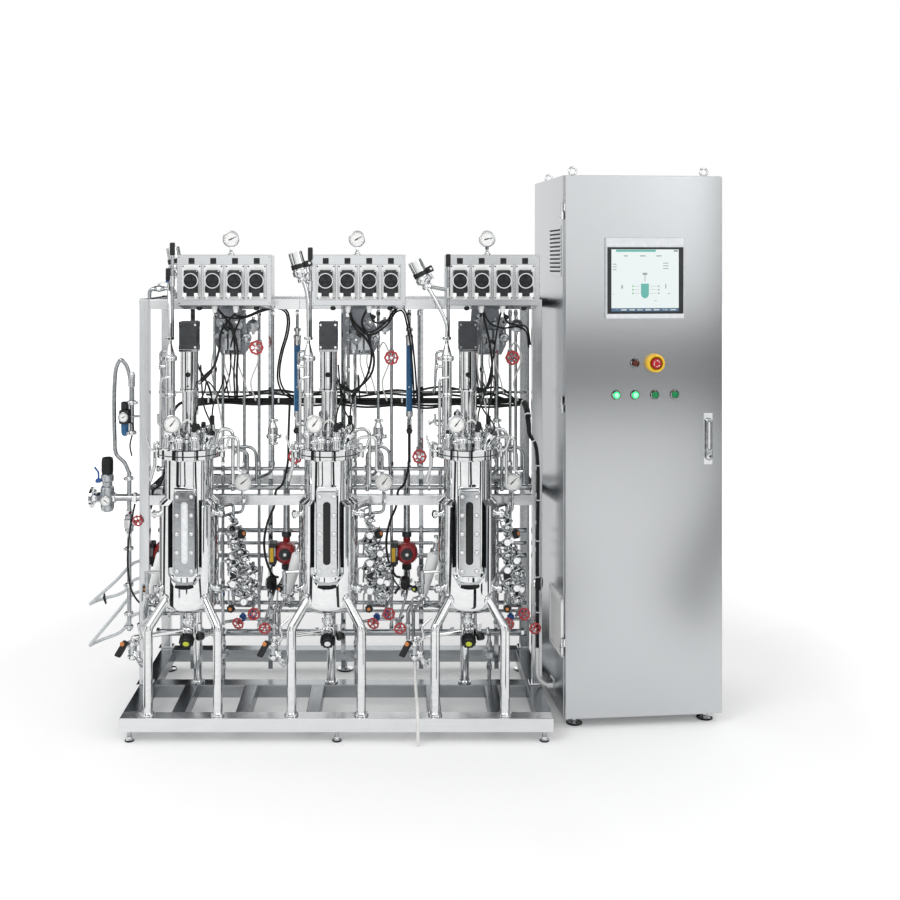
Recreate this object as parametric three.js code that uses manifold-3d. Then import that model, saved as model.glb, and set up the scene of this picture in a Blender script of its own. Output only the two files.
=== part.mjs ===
// Three-vessel bioreactor skid with its control cabinet.
// Millimetres, +Z up. X runs along the skid and Y from its front to its back. The pieces are laid
// out from the middle vessel's axis (X = 0) and the front face of the base frame (Y = 0), with the
// floor at Z = 0. The finished group is moved so that its origin is the middle of its footprint.

import * as THREE from 'three';
import { mergeVertices } from 'three/addons/utils/BufferGeometryUtils.js';
import Module from 'manifold-3d';

const wasm = await Module();
wasm.setup();

// ---------- clearances ----------
const SEAT_GAP = 0.3; // between two pieces that rest on or are bolted to each other
const RUNNING_GAP = 0.5; // around what turns or slides

// ---------- facets on round pieces ----------
const THIN = 6; // pipes, bolts and spindles
const ROUND = 8;
const BROAD = 12; // discs and canisters
const VESSEL_SIDES = 16;

// ---------- base frame ----------
const VESSEL_PITCH = 514;
const BASE_OVERHANG_LEFT = 221; // from the left vessel's axis to the end of the base
const BASE_OVERHANG_RIGHT = 296;
const BASE_DEPTH = 760;
const BASE_BEAM_WIDTH = 60;
const BASE_BEAM_HEIGHT = 50;
const BASE_BOTTOM = 42;
const MIDDLE_BEAM_Y = 316;
const CROSS_RAIL_WIDTH = 50;
// each cross rail's middle: the vessel it goes with, -1, 0 or 1, and the distance from that vessel's axis
const CROSS_RAILS = [[-1, -21], [-1, 209], [0, -50], [1, -126], [1, 99]];
const FOOT_STEM_RADIUS = 6;
const FOOT_THICKNESS = 7;
const FRONT_FOOT_RADIUS = 17;
const REAR_FOOT_RADIUS = 34;

// ---------- upper frame ----------
const POST = 38;
const UPPER_FRAME_TOP = 1570;
const MIDDLE_RAIL_BOTTOM = 780;

// ---------- vessels ----------
const VESSEL_Y = 160;
const VESSEL_INNER_RADIUS = 83;
const VESSEL_WALL = 6;
const JACKET_SPACE = 20; // from the vessel's wall to the jacket's outside
const FLANGE_WIDTH = 29;
const VESSEL_BOTTOM = 430;
const VESSEL_FLOOR = 455;
const JACKET_DISH = 50; // depth of the dished bottom
const VESSEL_DISH = 40;
const JACKET_SHOULDER = 829;
const FLANGE_TOP = 1012;
const FLANGE_THICKNESS = 14;
const WINDOW_WIDTH = 122; // opening in the jacket around the sight glass
const WINDOW_BOTTOM = 534;
const WINDOW_CORNER = 34;
const LEG_RADIUS = 17;
const LEG_SPREAD = 71; // from the jacket to the leg's foot
const LEG_ANGLES = [90, 226, 314];
const LEG_BEND = 404;
const LEG_TOP = 488;
const LEG_PAD_RADIUS = 25;
const LEG_PAD_THICKNESS = 7;
const LEG_LEAN = 6; // how far the bend stands in from the leg's foot
const OUTLET_RADIUS = 9;
const OUTLET_DROP = 352;
const HARVEST_VALVE = [-196, -62, 300]; // from the vessel's axis
const HARVEST_VALVE_RADIUS = 15;
const HARVEST_VALVE_HALF = 34;

// ---------- sight glass ----------
const GLASS_FRAME_WIDTH = 76;
const GLASS_FRAME_BOTTOM = 580;
const GLASS_FRAME_TOP = 886;
const GLASS_FRAME_THICKNESS = 12;
const GLASS_FRAME_CORNER = 12;
const GLASS_RECESS = 7;
const GLASS_SLOT_WIDTH = 24;
const GLASS_SLOT_BOTTOM = 624;
const GLASS_SLOT_TOP = 849;
const GLASS_BOSS_DEPTH = 7; // in front of the vessel's wall

// ---------- head plate and what stands on it ----------
const HEAD_PLATE_THICKNESS = 23;
const HEAD_PLATE_CHAMFER = 3;
const NOZZLE_RADIUS = 34;
const NOZZLE_HEIGHT = 15;
const PORT_RADIUS = 13;
const PORT_CLAMP_RADIUS = 19;
const PORT_CIRCLE = 84;
const PORT_CLAMP_THICKNESS = 12;
const PORTS = [[20, 55], [62, 49], [112, 59], [212, 51], [254, 37], [292, 43], [332, 53]]; // angle, height
const RISER_OFFSET = [-76, 22];
const RISER_RADIUS = 19;
const RISER_HEIGHT = 336.7; // above the head plate
const RISER_CONE = 40;
const VENT_PIPE_RADIUS = 7;

// ---------- agitator and drive ----------
const SHAFT_RADIUS = 8;
const SHAFT_BOTTOM = 505;
const IMPELLER_HEIGHTS = [545, 700];
const IMPELLER_HUB_RADIUS = 15;
const IMPELLER_TIP_RADIUS = 40;
const IMPELLER_BLADE_HEIGHT = 20;
const IMPELLER_BLADE_THICKNESS = 3;
const IMPELLER_BLADES = 6;
const DRIVE_TUBE_RADIUS = 26.5;
const DRIVE_FLANGE_RADIUS = 33;
const DRIVE_FLANGE_THICKNESS = 12;
const DRIVE_TUBE_LENGTH = 194.4;
const LANTERN_HEIGHT = 140;
const LANTERN_RADIUS = 32.5;
const LANTERN_WALL = 9;
const LANTERN_FLOOR = 15;
const LANTERN_WINDOW_RADIUS = 11;
const LANTERN_WINDOW_LIFT = 55; // its centre above the lantern's lower edge
const SHAFT_REACH = 73; // into the lantern
const MOTOR_WIDTH = 68;
const MOTOR_HEIGHT = 110;

// ---------- pump panels ----------
const PANELS = [[-1, 123], [0, 109], [1, 95]]; // vessel and the panel's distance from its axis
const PANEL_WIDTH = 350;
const PANEL_FRONT_Y = 195;
const PANEL_DROP = 17; // from the upper frame's top down to the panel's front edge
const PANEL_HEIGHT = 186;
const PANEL_BACK_DROP = 20; // how much lower its back edge hangs
const PUMPS_PER_PANEL = 4;
const PUMP_PITCH = 81;
const PUMP_PLATE = [72, 4, 131];
const PUMP_PLATE_LIFT = 20; // above the panel's front edge
const PUMP_HEAD_DEPTH = 20;
const PUMP_HEAD_HEIGHT = 106;
const PUMP_HEAD_LIFT = 7; // above the plate's lower edge
const PUMP_HEAD_WALL = 4.5; // beside the rotor
const PUMP_AXIS_LIFT = 64; // above the head's lower edge
const ROTOR_RADIUS = 24.5;
const ROTOR_THICKNESS = 7;
const ROLLER_RADIUS = 6;
const ROLLER_CIRCLE = 15;
const ROLLER_LENGTH = 4;
const ROTOR_POCKET_DEPTH = 12;

// ---------- pipe rack ----------
const RACK_Y = 420;
const TUBE_RADIUS = 6;
const TUBE_TOP_GAP = 6; // below the top rail
// each upright tube: the vessel it goes with, -1, 0 or 1, and the distance from that vessel's axis
const UPPER_TUBES = [[-1, 84], [-1, 168], [-1, 280], [0, 89], [0, 180], [1, 47], [1, 130]];
const LOWER_TUBES = [[-1, 84], [-1, 226], [0, -20], [0, 89], [0, 232], [1, -90], [1, 47], [1, 184]];
const LAST_TUBE_GAP = 37; // from the middle of the cable trunk where it turns to the front
const FLOWMETERS = [[0, -138], [0, 302]];
const FLOWMETER_RADIUS = 13;
const FLOWMETER_Z = [1110, 1425];
const LONG_HEADER_RADIUS = 10;
const PUMP_HEADER_Z = 433;
const HEADERS = [[902, 8], [PUMP_HEADER_Z, 9], [262, 10]]; // height, radius
const HEADER_LEFT_INSET = 45; // from the end of the base
const HEADER_RIGHT_INSET = 58;
const VALVE_BODY = 30;
const BONNET_RADIUS = 9;
const SPINDLE_RADIUS = 4;
const HOSE_PORT_RISER = [-1, -76];
const HOSE_PORT_Y = 500;
const HOSE_PORT_REACH = 17; // past the end of the base
const HOSE_PORT_RADIUS = 8;
const UPPER_HOSE_PORTS_Z = [519, 450];
const LOWER_HOSE_PORTS_Z = [396, 309];

// ---------- handwheels ----------
const WHEEL_RADIUS = 28;
const WHEEL_RIM = 7;
const WHEEL_HUB_RADIUS = 9;
const WHEEL_THICKNESS = 9;
const WHEEL_SPOKES = 5;
const WHEEL_SPOKE_WIDTH = 6;
const WHEEL_Y = 330;
// each wheel's name, its tube as above, and its height
const WHEELS = [
  ['handwheel_top_left', [-1, 226], 1384],
  ['handwheel_top_middle', [0, 232], 1345],
  ['handwheel_top_right', [1, 184], 1345],
  ['handwheel_flow_middle', [0, -138], 965],
  ['handwheel_flow_right', [0, 340], 965],
];

// ---------- circulation pumps ----------
const CIRCULATORS = [[0, -180], [1, -222]]; // those that don't stand against the left post
const CIRCULATOR_Z = 582;
const CIRCULATOR_MOTOR_RADIUS = 42;
const CIRCULATOR_MOTOR_Y = [348, 412];
const CIRCULATOR_VOLUTE_RADIUS = 34;
const CIRCULATOR_PIPE_RADIUS = 13;
const CIRCULATOR_HALF_HEIGHT = 86;
const TERMINAL_BOX_WIDTH = 28;
const TERMINAL_BOX_HEIGHT = 84;
const TERMINAL_BOX_GAP = 2; // behind the post
const CIRCULATOR_VOLUTE_BACK = 16; // behind the middle of the rack

// ---------- exhaust filters ----------
const FILTER_RADIUS = 26;
const FILTER_LENGTH = 104;
const FILTER_RING_RADIUS = 29;
const FILTER_RING_LENGTH = 14;
const FILTER_RING_START = 26;
const FILTER_NECK = 16;
const VENT_STRAIGHT = 60; // straight run of the pipe above the riser
// the canister's foot and the pipe's last bend from the top of its riser, and its lean to the left
const FILTERS = [
  { foot: [-8, 183, 246], lean: 10, bend: [-8, 38, 202] },
  { foot: [-22, 4, 228], lean: 16, bend: [-6, 0, 178] },
  { foot: [-74, 2, 203], lean: 27, bend: [-36, 0, 138] },
];

// ---------- air service on the left post ----------
const SERVICE_Y = 335;
const SERVICE_COLUMN_OFFSET = 43; // from the end of the base to the left
const SERVICE_COLUMN_RADIUS = 9;
const SERVICE_COLUMN_Z = [294, 905];
const SERVICE_VALVE_RADIUS = 19;
const SERVICE_VALVE_Z = [664, 752];
const GOOSENECK_RADIUS = 8;
// the gooseneck's bends from the column's axis, with their heights above the floor
const GOOSENECK = [
  [-18, 940], [-50, 975], [-56, 1040], [-56, 1250], [-48, 1312], [-32, 1336], [-12, 1316], [6, 1250],
  [10, 1180],
];
const REGULATOR_OFFSET = 127;
const REGULATOR_RADIUS = 26;
const REGULATOR_Z = [752, 897];
const REGULATOR_KNOB_RADIUS = 22;
const REGULATOR_KNOB_TOP = 962;
const SERVICE_INLET_OFFSET = 191;
const SERVICE_INLET_RADIUS = 40;
const SERVICE_INLET_THICKNESS = 12;
const SERVICE_PIPE_Z = 806;
const SERVICE_PIPE_RADIUS = 16;

// ---------- control cabinet ----------
const CABINET_GAP = 57; // from the end of the base to the cabinet's front left corner
const CABINET_CORNER_Y = 124;
const CABINET_YAW = THREE.MathUtils.degToRad(5.4);
const CABINET_WIDTH = 600;
const CABINET_DEPTH = 500;
const CABINET_BOTTOM = 34;
const CABINET_HEIGHT = 2000;
const SHEET = 2;
const DOOR_THICKNESS = 20;
const DOOR_EDGE_GAP = 3;
const DOOR_RIM = 18;
const SEAL_SPACE = 2;
const CABINET_LIP = 20;
const CABINET_FOOT_RADIUS = 30;
const CABINET_FOOT_INSET = 50;
const CABINET_FRONT_FOOT_INSET = 35;
const EYE_RADIUS = 14;
const EYE_ROD_RADIUS = 4;
const EYE_INSET = 48;
const HINGE_AXIS = [-7, 10];
const HINGE_KNUCKLE = 6;
const HINGE_PIN_RADIUS = 3;
const HINGE_LEAF = 14; // along the cabinet's side
const HINGE_HALF_HEIGHT = 30;
const LOWER_HINGE_LIFT = 266; // above the cabinet's lower edge
const UPPER_HINGE_DROP = 134; // below the cabinet's top
const HINGE_PITCH = 710; // from the upper hinge to the middle one
const SCREEN_SIZE = [298, 300];
const SCREEN_PLACE = [300, 380]; // from the hinge side, and below the cabinet's top, as for the rest
const SCREEN_BEZEL = 8;
const SCREEN_BODY = [250, 250, 45];
const BUTTON_CENTRES = [193, 264, 339, 414];
const BUTTON_DROP = 810;
const BUTTON_RADIUS = 11;
const BUTTON_PROUD = 10;
const BUTTON_COLLAR_WIDTH = 4;
const COLLAR_PROUD = 5;
const STOP_PLACE = [338, 693];
const STOP_CAP_RADIUS = 20;
const STOP_CAP_Y = [-30, -14];
const CONTACT_DEPTH = 18; // how far a button's body reaches behind the door's skin
const HANDLE_X = 542;
const HANDLE_DROP = [1055, 897]; // its lower and upper ends
const HANDLE_WIDTH = 26;
const HANDLE_THICKNESS = 12;
const HANDLE_PLATE_THICKNESS = 4;
const HANDLE_PLATE_MARGIN = [4, 16];
const MOUNTING_PLATE_Y = 455;
const MOUNTING_PLATE_MARGIN = [40, 86];
const MOUNTING_PLATE_THICKNESS = 3;
const STUD_RADIUS = 6;
const STUD_INSET = 30;

// ---------- cables and hoses ----------
const TRUNK_RADIUS = 12;
const TRUNK_Z = 1165;
const TRUNK_Y = 450;
const TRUNK_FOOT = 240;
const TRUNK_START = 175; // from the end of the base
const TRUNK_POST_GAP = 3; // beside the right post
const HOSE_RADIUS = 6.5;
const CONDUIT_RADIUS = 7;
const CONDUIT_ENTRY = [186, 92]; // from the cabinet's front corner, and above the floor
const DRAIN_TUBE_RADIUS = 6;

// ---------- values worked out from the sizes above ----------
const BASE_TOP = BASE_BOTTOM + BASE_BEAM_HEIGHT;
const NECK_RADIUS = VESSEL_INNER_RADIUS + VESSEL_WALL;
const JACKET_RADIUS = NECK_RADIUS + JACKET_SPACE;
const FLANGE_RADIUS = NECK_RADIUS + FLANGE_WIDTH;
const LEG_CIRCLE = JACKET_RADIUS + LEG_SPREAD;
const GLASS_BOSS_FACE = NECK_RADIUS + GLASS_BOSS_DEPTH;
const BASE_LEFT = -VESSEL_PITCH - BASE_OVERHANG_LEFT;
const BASE_RIGHT = VESSEL_PITCH + BASE_OVERHANG_RIGHT;
const TRUNK_TURN_X = BASE_RIGHT - POST - TRUNK_RADIUS - TRUNK_POST_GAP;
const across = ([station, offset]) => station * VESSEL_PITCH + offset;
const VESSELS = [['left', -1], ['middle', 0], ['right', 1]].map(([side, station]) => (
  [side, across([station, 0])]));
const PANEL_BOTTOM = UPPER_FRAME_TOP - PANEL_DROP;
const PUMP_PLATE_BOTTOM = PANEL_BOTTOM + PUMP_PLATE_LIFT;
const PUMP_HEAD_BOTTOM = PUMP_PLATE_BOTTOM + PUMP_HEAD_LIFT;
const PUMP_AXIS_Z = PUMP_HEAD_BOTTOM + PUMP_AXIS_LIFT;
const PUMP_HEAD_WIDTH = 2 * (ROTOR_RADIUS + PUMP_HEAD_WALL);
const HEAD_BOTTOM = FLANGE_TOP + SEAT_GAP;
const HEAD_TOP = HEAD_BOTTOM + HEAD_PLATE_THICKNESS;
const DRIVE_BOTTOM = HEAD_TOP + NOZZLE_HEIGHT + SEAT_GAP;
const LANTERN_BOTTOM = DRIVE_BOTTOM + DRIVE_TUBE_LENGTH;
const MOTOR_BOTTOM = LANTERN_BOTTOM + LANTERN_HEIGHT;
const SHAFT_TOP = LANTERN_BOTTOM + SHAFT_REACH;
const SHAFT_BORE = SHAFT_RADIUS + RUNNING_GAP;
const RISER_TOP = HEAD_TOP + RISER_HEIGHT;
const RISER_PIPE_TOP = RISER_TOP + RISER_CONE + 10;
const BODY_FRONT = DOOR_THICKNESS + SEAL_SPACE;
const CABINET_TOP = CABINET_BOTTOM + CABINET_HEIGHT;
const CABINET_CORNER = [BASE_RIGHT + CABINET_GAP, CABINET_CORNER_Y];
const HINGE_HEIGHTS = [
  CABINET_BOTTOM + LOWER_HINGE_LIFT, CABINET_TOP - UPPER_HINGE_DROP - HINGE_PITCH,
  CABINET_TOP - UPPER_HINGE_DROP,
];
const SCREEN_CENTRE = [SCREEN_PLACE[0], CABINET_TOP - SCREEN_PLACE[1]];
const STOP_CENTRE = [STOP_PLACE[0], CABINET_TOP - STOP_PLACE[1]];
const BUTTON_HEIGHT = CABINET_TOP - BUTTON_DROP;
const BUTTON_COLLAR_RADIUS = BUTTON_RADIUS + BUTTON_COLLAR_WIDTH;
const HANDLE_Z = HANDLE_DROP.map((drop) => CABINET_TOP - drop);

// ---------- building blocks ----------

// A closed solid from any closed three.js geometry.
function solid(geometry) {
  geometry.deleteAttribute('normal');
  geometry.deleteAttribute('uv');
  const merged = mergeVertices(geometry, 1e-3);
  const corners = [];
  for (let i = 0; i < merged.index.count; i += 3) {
    const [a, b, c] = [0, 1, 2].map((step) => merged.index.getX(i + step));
    if (a !== b && b !== c && a !== c) corners.push(a, b, c);
  }
  return new wasm.Manifold(new wasm.Mesh({
    numProp: 3,
    vertProperties: new Float32Array(merged.attributes.position.array),
    triVerts: new Uint32Array(corners),
  }));
}

function join(...solids) {
  return solids.flat().reduce((whole, next) => whole.add(next));
}

function block([x0, x1], [y0, y1], [z0, z1]) {
  const geometry = new THREE.BoxGeometry(x1 - x0, y1 - y0, z1 - z0);
  geometry.translate((x0 + x1) / 2, (y0 + y1) / 2, (z0 + z1) / 2);
  return solid(geometry);
}

// A straight round bar between two points.
function rod(radius, from, to, sides = ROUND, endRadius = radius) {
  const start = new THREE.Vector3(...from);
  const end = new THREE.Vector3(...to);
  const geometry = new THREE.CylinderGeometry(endRadius, radius, start.distanceTo(end), sides);
  const direction = end.clone().sub(start).normalize();
  const turn = new THREE.Quaternion().setFromUnitVectors(new THREE.Vector3(0, 1, 0), direction);
  geometry.applyQuaternion(turn);
  geometry.translate(...start.add(end).multiplyScalar(0.5).toArray());
  return solid(geometry);
}

// A bar whose flats, not its corners, lie on the radius: what cuts a hole, and what runs in one.
function fitted(radius, from, to, sides = ROUND) {
  return rod(radius / Math.cos(Math.PI / sides), from, to, sides);
}

// A body turned about the Z axis from a list of [radius, height] points.
function turned(profile, sides = VESSEL_SIDES) {
  const geometry = new THREE.LatheGeometry(profile.map(([r, z]) => new THREE.Vector2(r, z)), sides);
  geometry.rotateX(Math.PI / 2);
  return solid(geometry);
}

// A round tube, cable or hose along a smooth curve through the points.
function bent(points, radius, sides = ROUND, steps = 12) {
  const corners = points.map((point) => new THREE.Vector3(...point));
  const path = new THREE.CatmullRomCurve3(corners, false, 'centripetal');
  const section = new THREE.Shape(Array.from({ length: sides }, (_, i) => {
    const angle = (i / sides) * 2 * Math.PI;
    return new THREE.Vector2(radius * Math.cos(angle), radius * Math.sin(angle));
  }));
  return solid(new THREE.ExtrudeGeometry(section, { steps, extrudePath: path, bevelEnabled: false }));
}

// An outline in the XZ plane, given depth from y0 to y1.
function upright(outline, [y0, y1], curveSegments = 3) {
  const geometry = new THREE.ExtrudeGeometry(outline, { depth: y1 - y0, bevelEnabled: false, curveSegments });
  geometry.rotateX(Math.PI / 2);
  geometry.translate(0, y1, 0);
  return solid(geometry);
}

// A rectangle in the XZ plane with rounded corners.
function rounded([x0, x1], [z0, z1], radius) {
  const shape = new THREE.Shape();
  shape.moveTo(x0 + radius, z0);
  shape.lineTo(x1 - radius, z0);
  shape.absarc(x1 - radius, z0 + radius, radius, -Math.PI / 2, 0);
  shape.absarc(x1 - radius, z1 - radius, radius, 0, Math.PI / 2);
  shape.absarc(x0 + radius, z1 - radius, radius, Math.PI / 2, Math.PI);
  shape.absarc(x0 + radius, z0 + radius, radius, Math.PI, Math.PI * 1.5);
  return shape;
}

function polar(radius, degrees) {
  const angle = THREE.MathUtils.degToRad(degrees);
  return [radius * Math.cos(angle), radius * Math.sin(angle)];
}

function piece(name, body, finish, parent, position = [0, 0, 0]) {
  const mesh = body.getMesh();
  const geometry = new THREE.BufferGeometry();
  geometry.setAttribute('position', new THREE.BufferAttribute(mesh.vertProperties, 3));
  geometry.setIndex(new THREE.BufferAttribute(mesh.triVerts, 1));
  geometry.computeVertexNormals();
  const part = new THREE.Mesh(geometry, new THREE.MeshStandardMaterial(finish));
  part.name = name;
  part.position.set(...position);
  parent.add(part);
  return part;
}

// ---------- finishes ----------
const POLISHED_STEEL = { color: 0xdadde0, roughness: 0.08, metalness: 1 };
const BRUSHED_STEEL = { color: 0xc4c8cb, roughness: 0.3, metalness: 1 };
const PANEL_STEEL = { color: 0xd3d6d8, roughness: 0.35, metalness: 1 };
const GREY_MOTOR_CASE = { color: 0x35393c, roughness: 0.5, metalness: 0.2 };
const BLACK_PLASTIC = { color: 0x1c1d1f, roughness: 0.45, metalness: 0 };
const RED_ENAMEL = { color: 0xc8322c, roughness: 0.35, metalness: 0.1 };
const WHEEL_ENAMEL = { color: 0xe0564c, roughness: 0.4, metalness: 0.1 };
const GREEN_PLASTIC = { color: 0x2f9a55, roughness: 0.4, metalness: 0 };
const SCREEN_PLASTIC = { color: 0x232628, roughness: 0.3, metalness: 0 };
const CABLE_RUBBER = { color: 0x17181a, roughness: 0.6, metalness: 0 };
const HOSE_GREY = { color: 0x9aa0a4, roughness: 0.5, metalness: 0 };
const WHITE_PLASTIC = { color: 0xf0f1f0, roughness: 0.5, metalness: 0 };

const model = new THREE.Group();

// ---------- base frame ----------

function foot(x, y, radius) {
  return [
    rod(radius, [x, y, 0], [x, y, FOOT_THICKNESS], ROUND, radius * 0.7),
    rod(FOOT_STEM_RADIUS, [x, y, FOOT_THICKNESS - 1], [x, y, BASE_BOTTOM + 5], THIN),
  ];
}

// The beams and rails are what the bays between them leave of the footprint.
function baseFrame() {
  const whole = block([BASE_LEFT, BASE_RIGHT], [0, BASE_DEPTH], [BASE_BOTTOM, BASE_TOP]);
  const bayHeight = [BASE_BOTTOM - 1, BASE_TOP + 1];
  const bayEdges = [
    BASE_LEFT + BASE_BEAM_WIDTH,
    ...CROSS_RAILS.map(across).flatMap((x) => [x - CROSS_RAIL_WIDTH / 2, x + CROSS_RAIL_WIDTH / 2]),
    BASE_RIGHT - BASE_BEAM_WIDTH,
  ];
  const frontBays = Array.from({ length: bayEdges.length / 2 }, (_, i) => (
    block([bayEdges[2 * i], bayEdges[2 * i + 1]], [BASE_BEAM_WIDTH, MIDDLE_BEAM_Y], bayHeight)));
  const rearBay = block([bayEdges[0], bayEdges[bayEdges.length - 1]],
    [MIDDLE_BEAM_Y + BASE_BEAM_WIDTH, BASE_DEPTH - BASE_BEAM_WIDTH], bayHeight);
  const inset = BASE_BEAM_WIDTH / 2;
  const middle = (BASE_LEFT + BASE_RIGHT) / 2;
  const feet = [BASE_LEFT + inset, middle, BASE_RIGHT - inset].map((x) => [
    ...foot(x, inset, FRONT_FOOT_RADIUS),
    ...foot(x, BASE_DEPTH - inset, REAR_FOOT_RADIUS),
  ]);
  return join(whole.subtract(join(frontBays, rearBay)), feet.flat());
}

piece('base_frame', baseFrame(), BRUSHED_STEEL, model);

// ---------- upper frame ----------

function upperFrame() {
  const bottom = BASE_TOP + SEAT_GAP;
  const frontY = [MIDDLE_BEAM_Y, MIDDLE_BEAM_Y + POST];
  const rearY = [BASE_DEPTH - POST, BASE_DEPTH];
  const leftX = [BASE_LEFT, BASE_LEFT + POST];
  const rightX = [BASE_RIGHT - POST, BASE_RIGHT];
  const levels = [UPPER_FRAME_TOP - POST, MIDDLE_RAIL_BOTTOM].map((z) => [z, z + POST]);
  const posts = [leftX, rightX].flatMap((x) => (
    [frontY, rearY].map((y) => block(x, y, [bottom, UPPER_FRAME_TOP]))));
  const long = levels.flatMap((z) => (
    [frontY, rearY].map((y) => block([BASE_LEFT, BASE_RIGHT], y, z))));
  const side = levels.flatMap((z) => (
    [leftX, rightX].map((x) => block(x, [frontY[0], rearY[1]], z))));
  return join(posts, long, side);
}

piece('upper_frame', upperFrame(), BRUSHED_STEEL, model);

// ---------- vessels ----------

function leg(angle) {
  const [x, y] = polar(LEG_CIRCLE, angle);
  const [bendX, bendY] = polar(LEG_CIRCLE - LEG_LEAN, angle);
  const [topX, topY] = polar(JACKET_RADIUS - LEG_RADIUS / 2, angle);
  const bottom = BASE_TOP + SEAT_GAP;
  const knee = [[x, y, LEG_BEND - 3], [bendX, bendY, LEG_BEND + 14], [topX, topY, LEG_TOP]];
  return join(
    rod(LEG_PAD_RADIUS, [x, y, bottom], [x, y, bottom + LEG_PAD_THICKNESS]),
    rod(LEG_RADIUS, [x, y, bottom + 1], [x, y, LEG_BEND]),
    bent(knee, LEG_RADIUS, ROUND, 3),
  );
}

// The left half of a dished bottom of the given radius, rising by depth from its middle.
function dish(radius, bottom, depth) {
  return [
    [0, bottom], [radius * 0.6, bottom + depth * 0.12], [radius * 0.88, bottom + depth * 0.48],
    [radius, bottom + depth],
  ];
}

function jacketedShell() {
  const coneTop = JACKET_SHOULDER + JACKET_RADIUS - NECK_RADIUS;
  const jacket = turned([
    ...dish(JACKET_RADIUS, VESSEL_BOTTOM, JACKET_DISH), [JACKET_RADIUS, JACKET_SHOULDER],
    [NECK_RADIUS, coneTop], [0, coneTop],
  ]);
  const windowX = [-WINDOW_WIDTH / 2, WINDOW_WIDTH / 2];
  const windowOutline = rounded(windowX, [WINDOW_BOTTOM, FLANGE_TOP], WINDOW_CORNER);
  const jacketWindow = upright(windowOutline, [-JACKET_RADIUS - 5, -NECK_RADIUS / 2]);
  const neck = turned([
    [0, VESSEL_FLOOR], [NECK_RADIUS, WINDOW_BOTTOM - 1], [NECK_RADIUS, FLANGE_TOP - FLANGE_THICKNESS],
    [FLANGE_RADIUS, FLANGE_TOP - FLANGE_THICKNESS], [FLANGE_RADIUS, FLANGE_TOP], [0, FLANGE_TOP],
  ]);
  const half = GLASS_FRAME_WIDTH / 2;
  const boss = block([-half, half], [-GLASS_BOSS_FACE, -NECK_RADIUS / 2],
    [GLASS_FRAME_BOTTOM, GLASS_FRAME_TOP]);
  const inside = turned([
    ...dish(VESSEL_INNER_RADIUS, VESSEL_FLOOR, VESSEL_DISH), [VESSEL_INNER_RADIUS, FLANGE_TOP + 1],
    [0, FLANGE_TOP + 1],
  ]);
  const slotX = [-GLASS_SLOT_WIDTH / 2, GLASS_SLOT_WIDTH / 2];
  const slot = block(slotX, [-GLASS_BOSS_FACE - 1, -NECK_RADIUS / 2], [GLASS_SLOT_BOTTOM, GLASS_SLOT_TOP]);
  return join(jacket.subtract(jacketWindow), neck, boss).subtract(inside).subtract(slot);
}

function outlet() {
  const [x, y, z] = HARVEST_VALVE;
  return join(
    rod(OUTLET_RADIUS, [0, 0, OUTLET_DROP - 8], [0, 0, VESSEL_BOTTOM + 8], THIN),
    rod(OUTLET_RADIUS, [0, 0, OUTLET_DROP], [x, y, z + 10], THIN),
    rod(HARVEST_VALVE_RADIUS, [x, y, z - HARVEST_VALVE_HALF], [x, y, z + HARVEST_VALVE_HALF]),
  );
}

const vesselBody = join(jacketedShell(), LEG_ANGLES.map(leg), outlet());

function sightGlass() {
  const back = -GLASS_BOSS_FACE - SEAT_GAP;
  const front = back - GLASS_FRAME_THICKNESS;
  const half = GLASS_FRAME_WIDTH / 2;
  const outline = rounded([-half, half], [GLASS_FRAME_BOTTOM, GLASS_FRAME_TOP], GLASS_FRAME_CORNER);
  const frame = upright(outline, [front, back]);
  const slotHalf = GLASS_SLOT_WIDTH / 2;
  const slot = rounded([-slotHalf, slotHalf], [GLASS_SLOT_BOTTOM, GLASS_SLOT_TOP], slotHalf - 0.5);
  return frame.subtract(upright(slot, [front - 1, front + GLASS_RECESS]));
}

const sightGlassBody = sightGlass();

// ---------- head plate, agitator and drive ----------

function headPlate() {
  const plate = turned([
    [0, HEAD_BOTTOM], [FLANGE_RADIUS, HEAD_BOTTOM],
    [FLANGE_RADIUS, HEAD_TOP - HEAD_PLATE_CHAMFER], [FLANGE_RADIUS - HEAD_PLATE_CHAMFER, HEAD_TOP],
    [NOZZLE_RADIUS, HEAD_TOP], [NOZZLE_RADIUS, HEAD_TOP + NOZZLE_HEIGHT], [0, HEAD_TOP + NOZZLE_HEIGHT],
  ]);
  const ports = PORTS.map(([angle, height]) => {
    const [x, y] = polar(PORT_CIRCLE, angle);
    const top = HEAD_TOP + height;
    return join(
      rod(PORT_RADIUS, [x, y, HEAD_TOP - 2], [x, y, top - PORT_CLAMP_THICKNESS], THIN),
      rod(PORT_CLAMP_RADIUS, [x, y, top - PORT_CLAMP_THICKNESS - 1], [x, y, top], THIN),
    );
  });
  const [x, y] = RISER_OFFSET;
  const riser = join(
    rod(RISER_RADIUS, [x, y, HEAD_TOP - 2], [x, y, RISER_TOP]),
    rod(RISER_RADIUS, [x, y, RISER_TOP], [x, y, RISER_TOP + RISER_CONE], ROUND, VENT_PIPE_RADIUS),
    rod(VENT_PIPE_RADIUS, [x, y, RISER_TOP + RISER_CONE - 2], [x, y, RISER_PIPE_TOP]),
  );
  const bore = fitted(SHAFT_BORE, [0, 0, HEAD_BOTTOM - 1], [0, 0, HEAD_TOP + NOZZLE_HEIGHT + 1], BROAD);
  return join(plate, ports, riser).subtract(bore);
}

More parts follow.
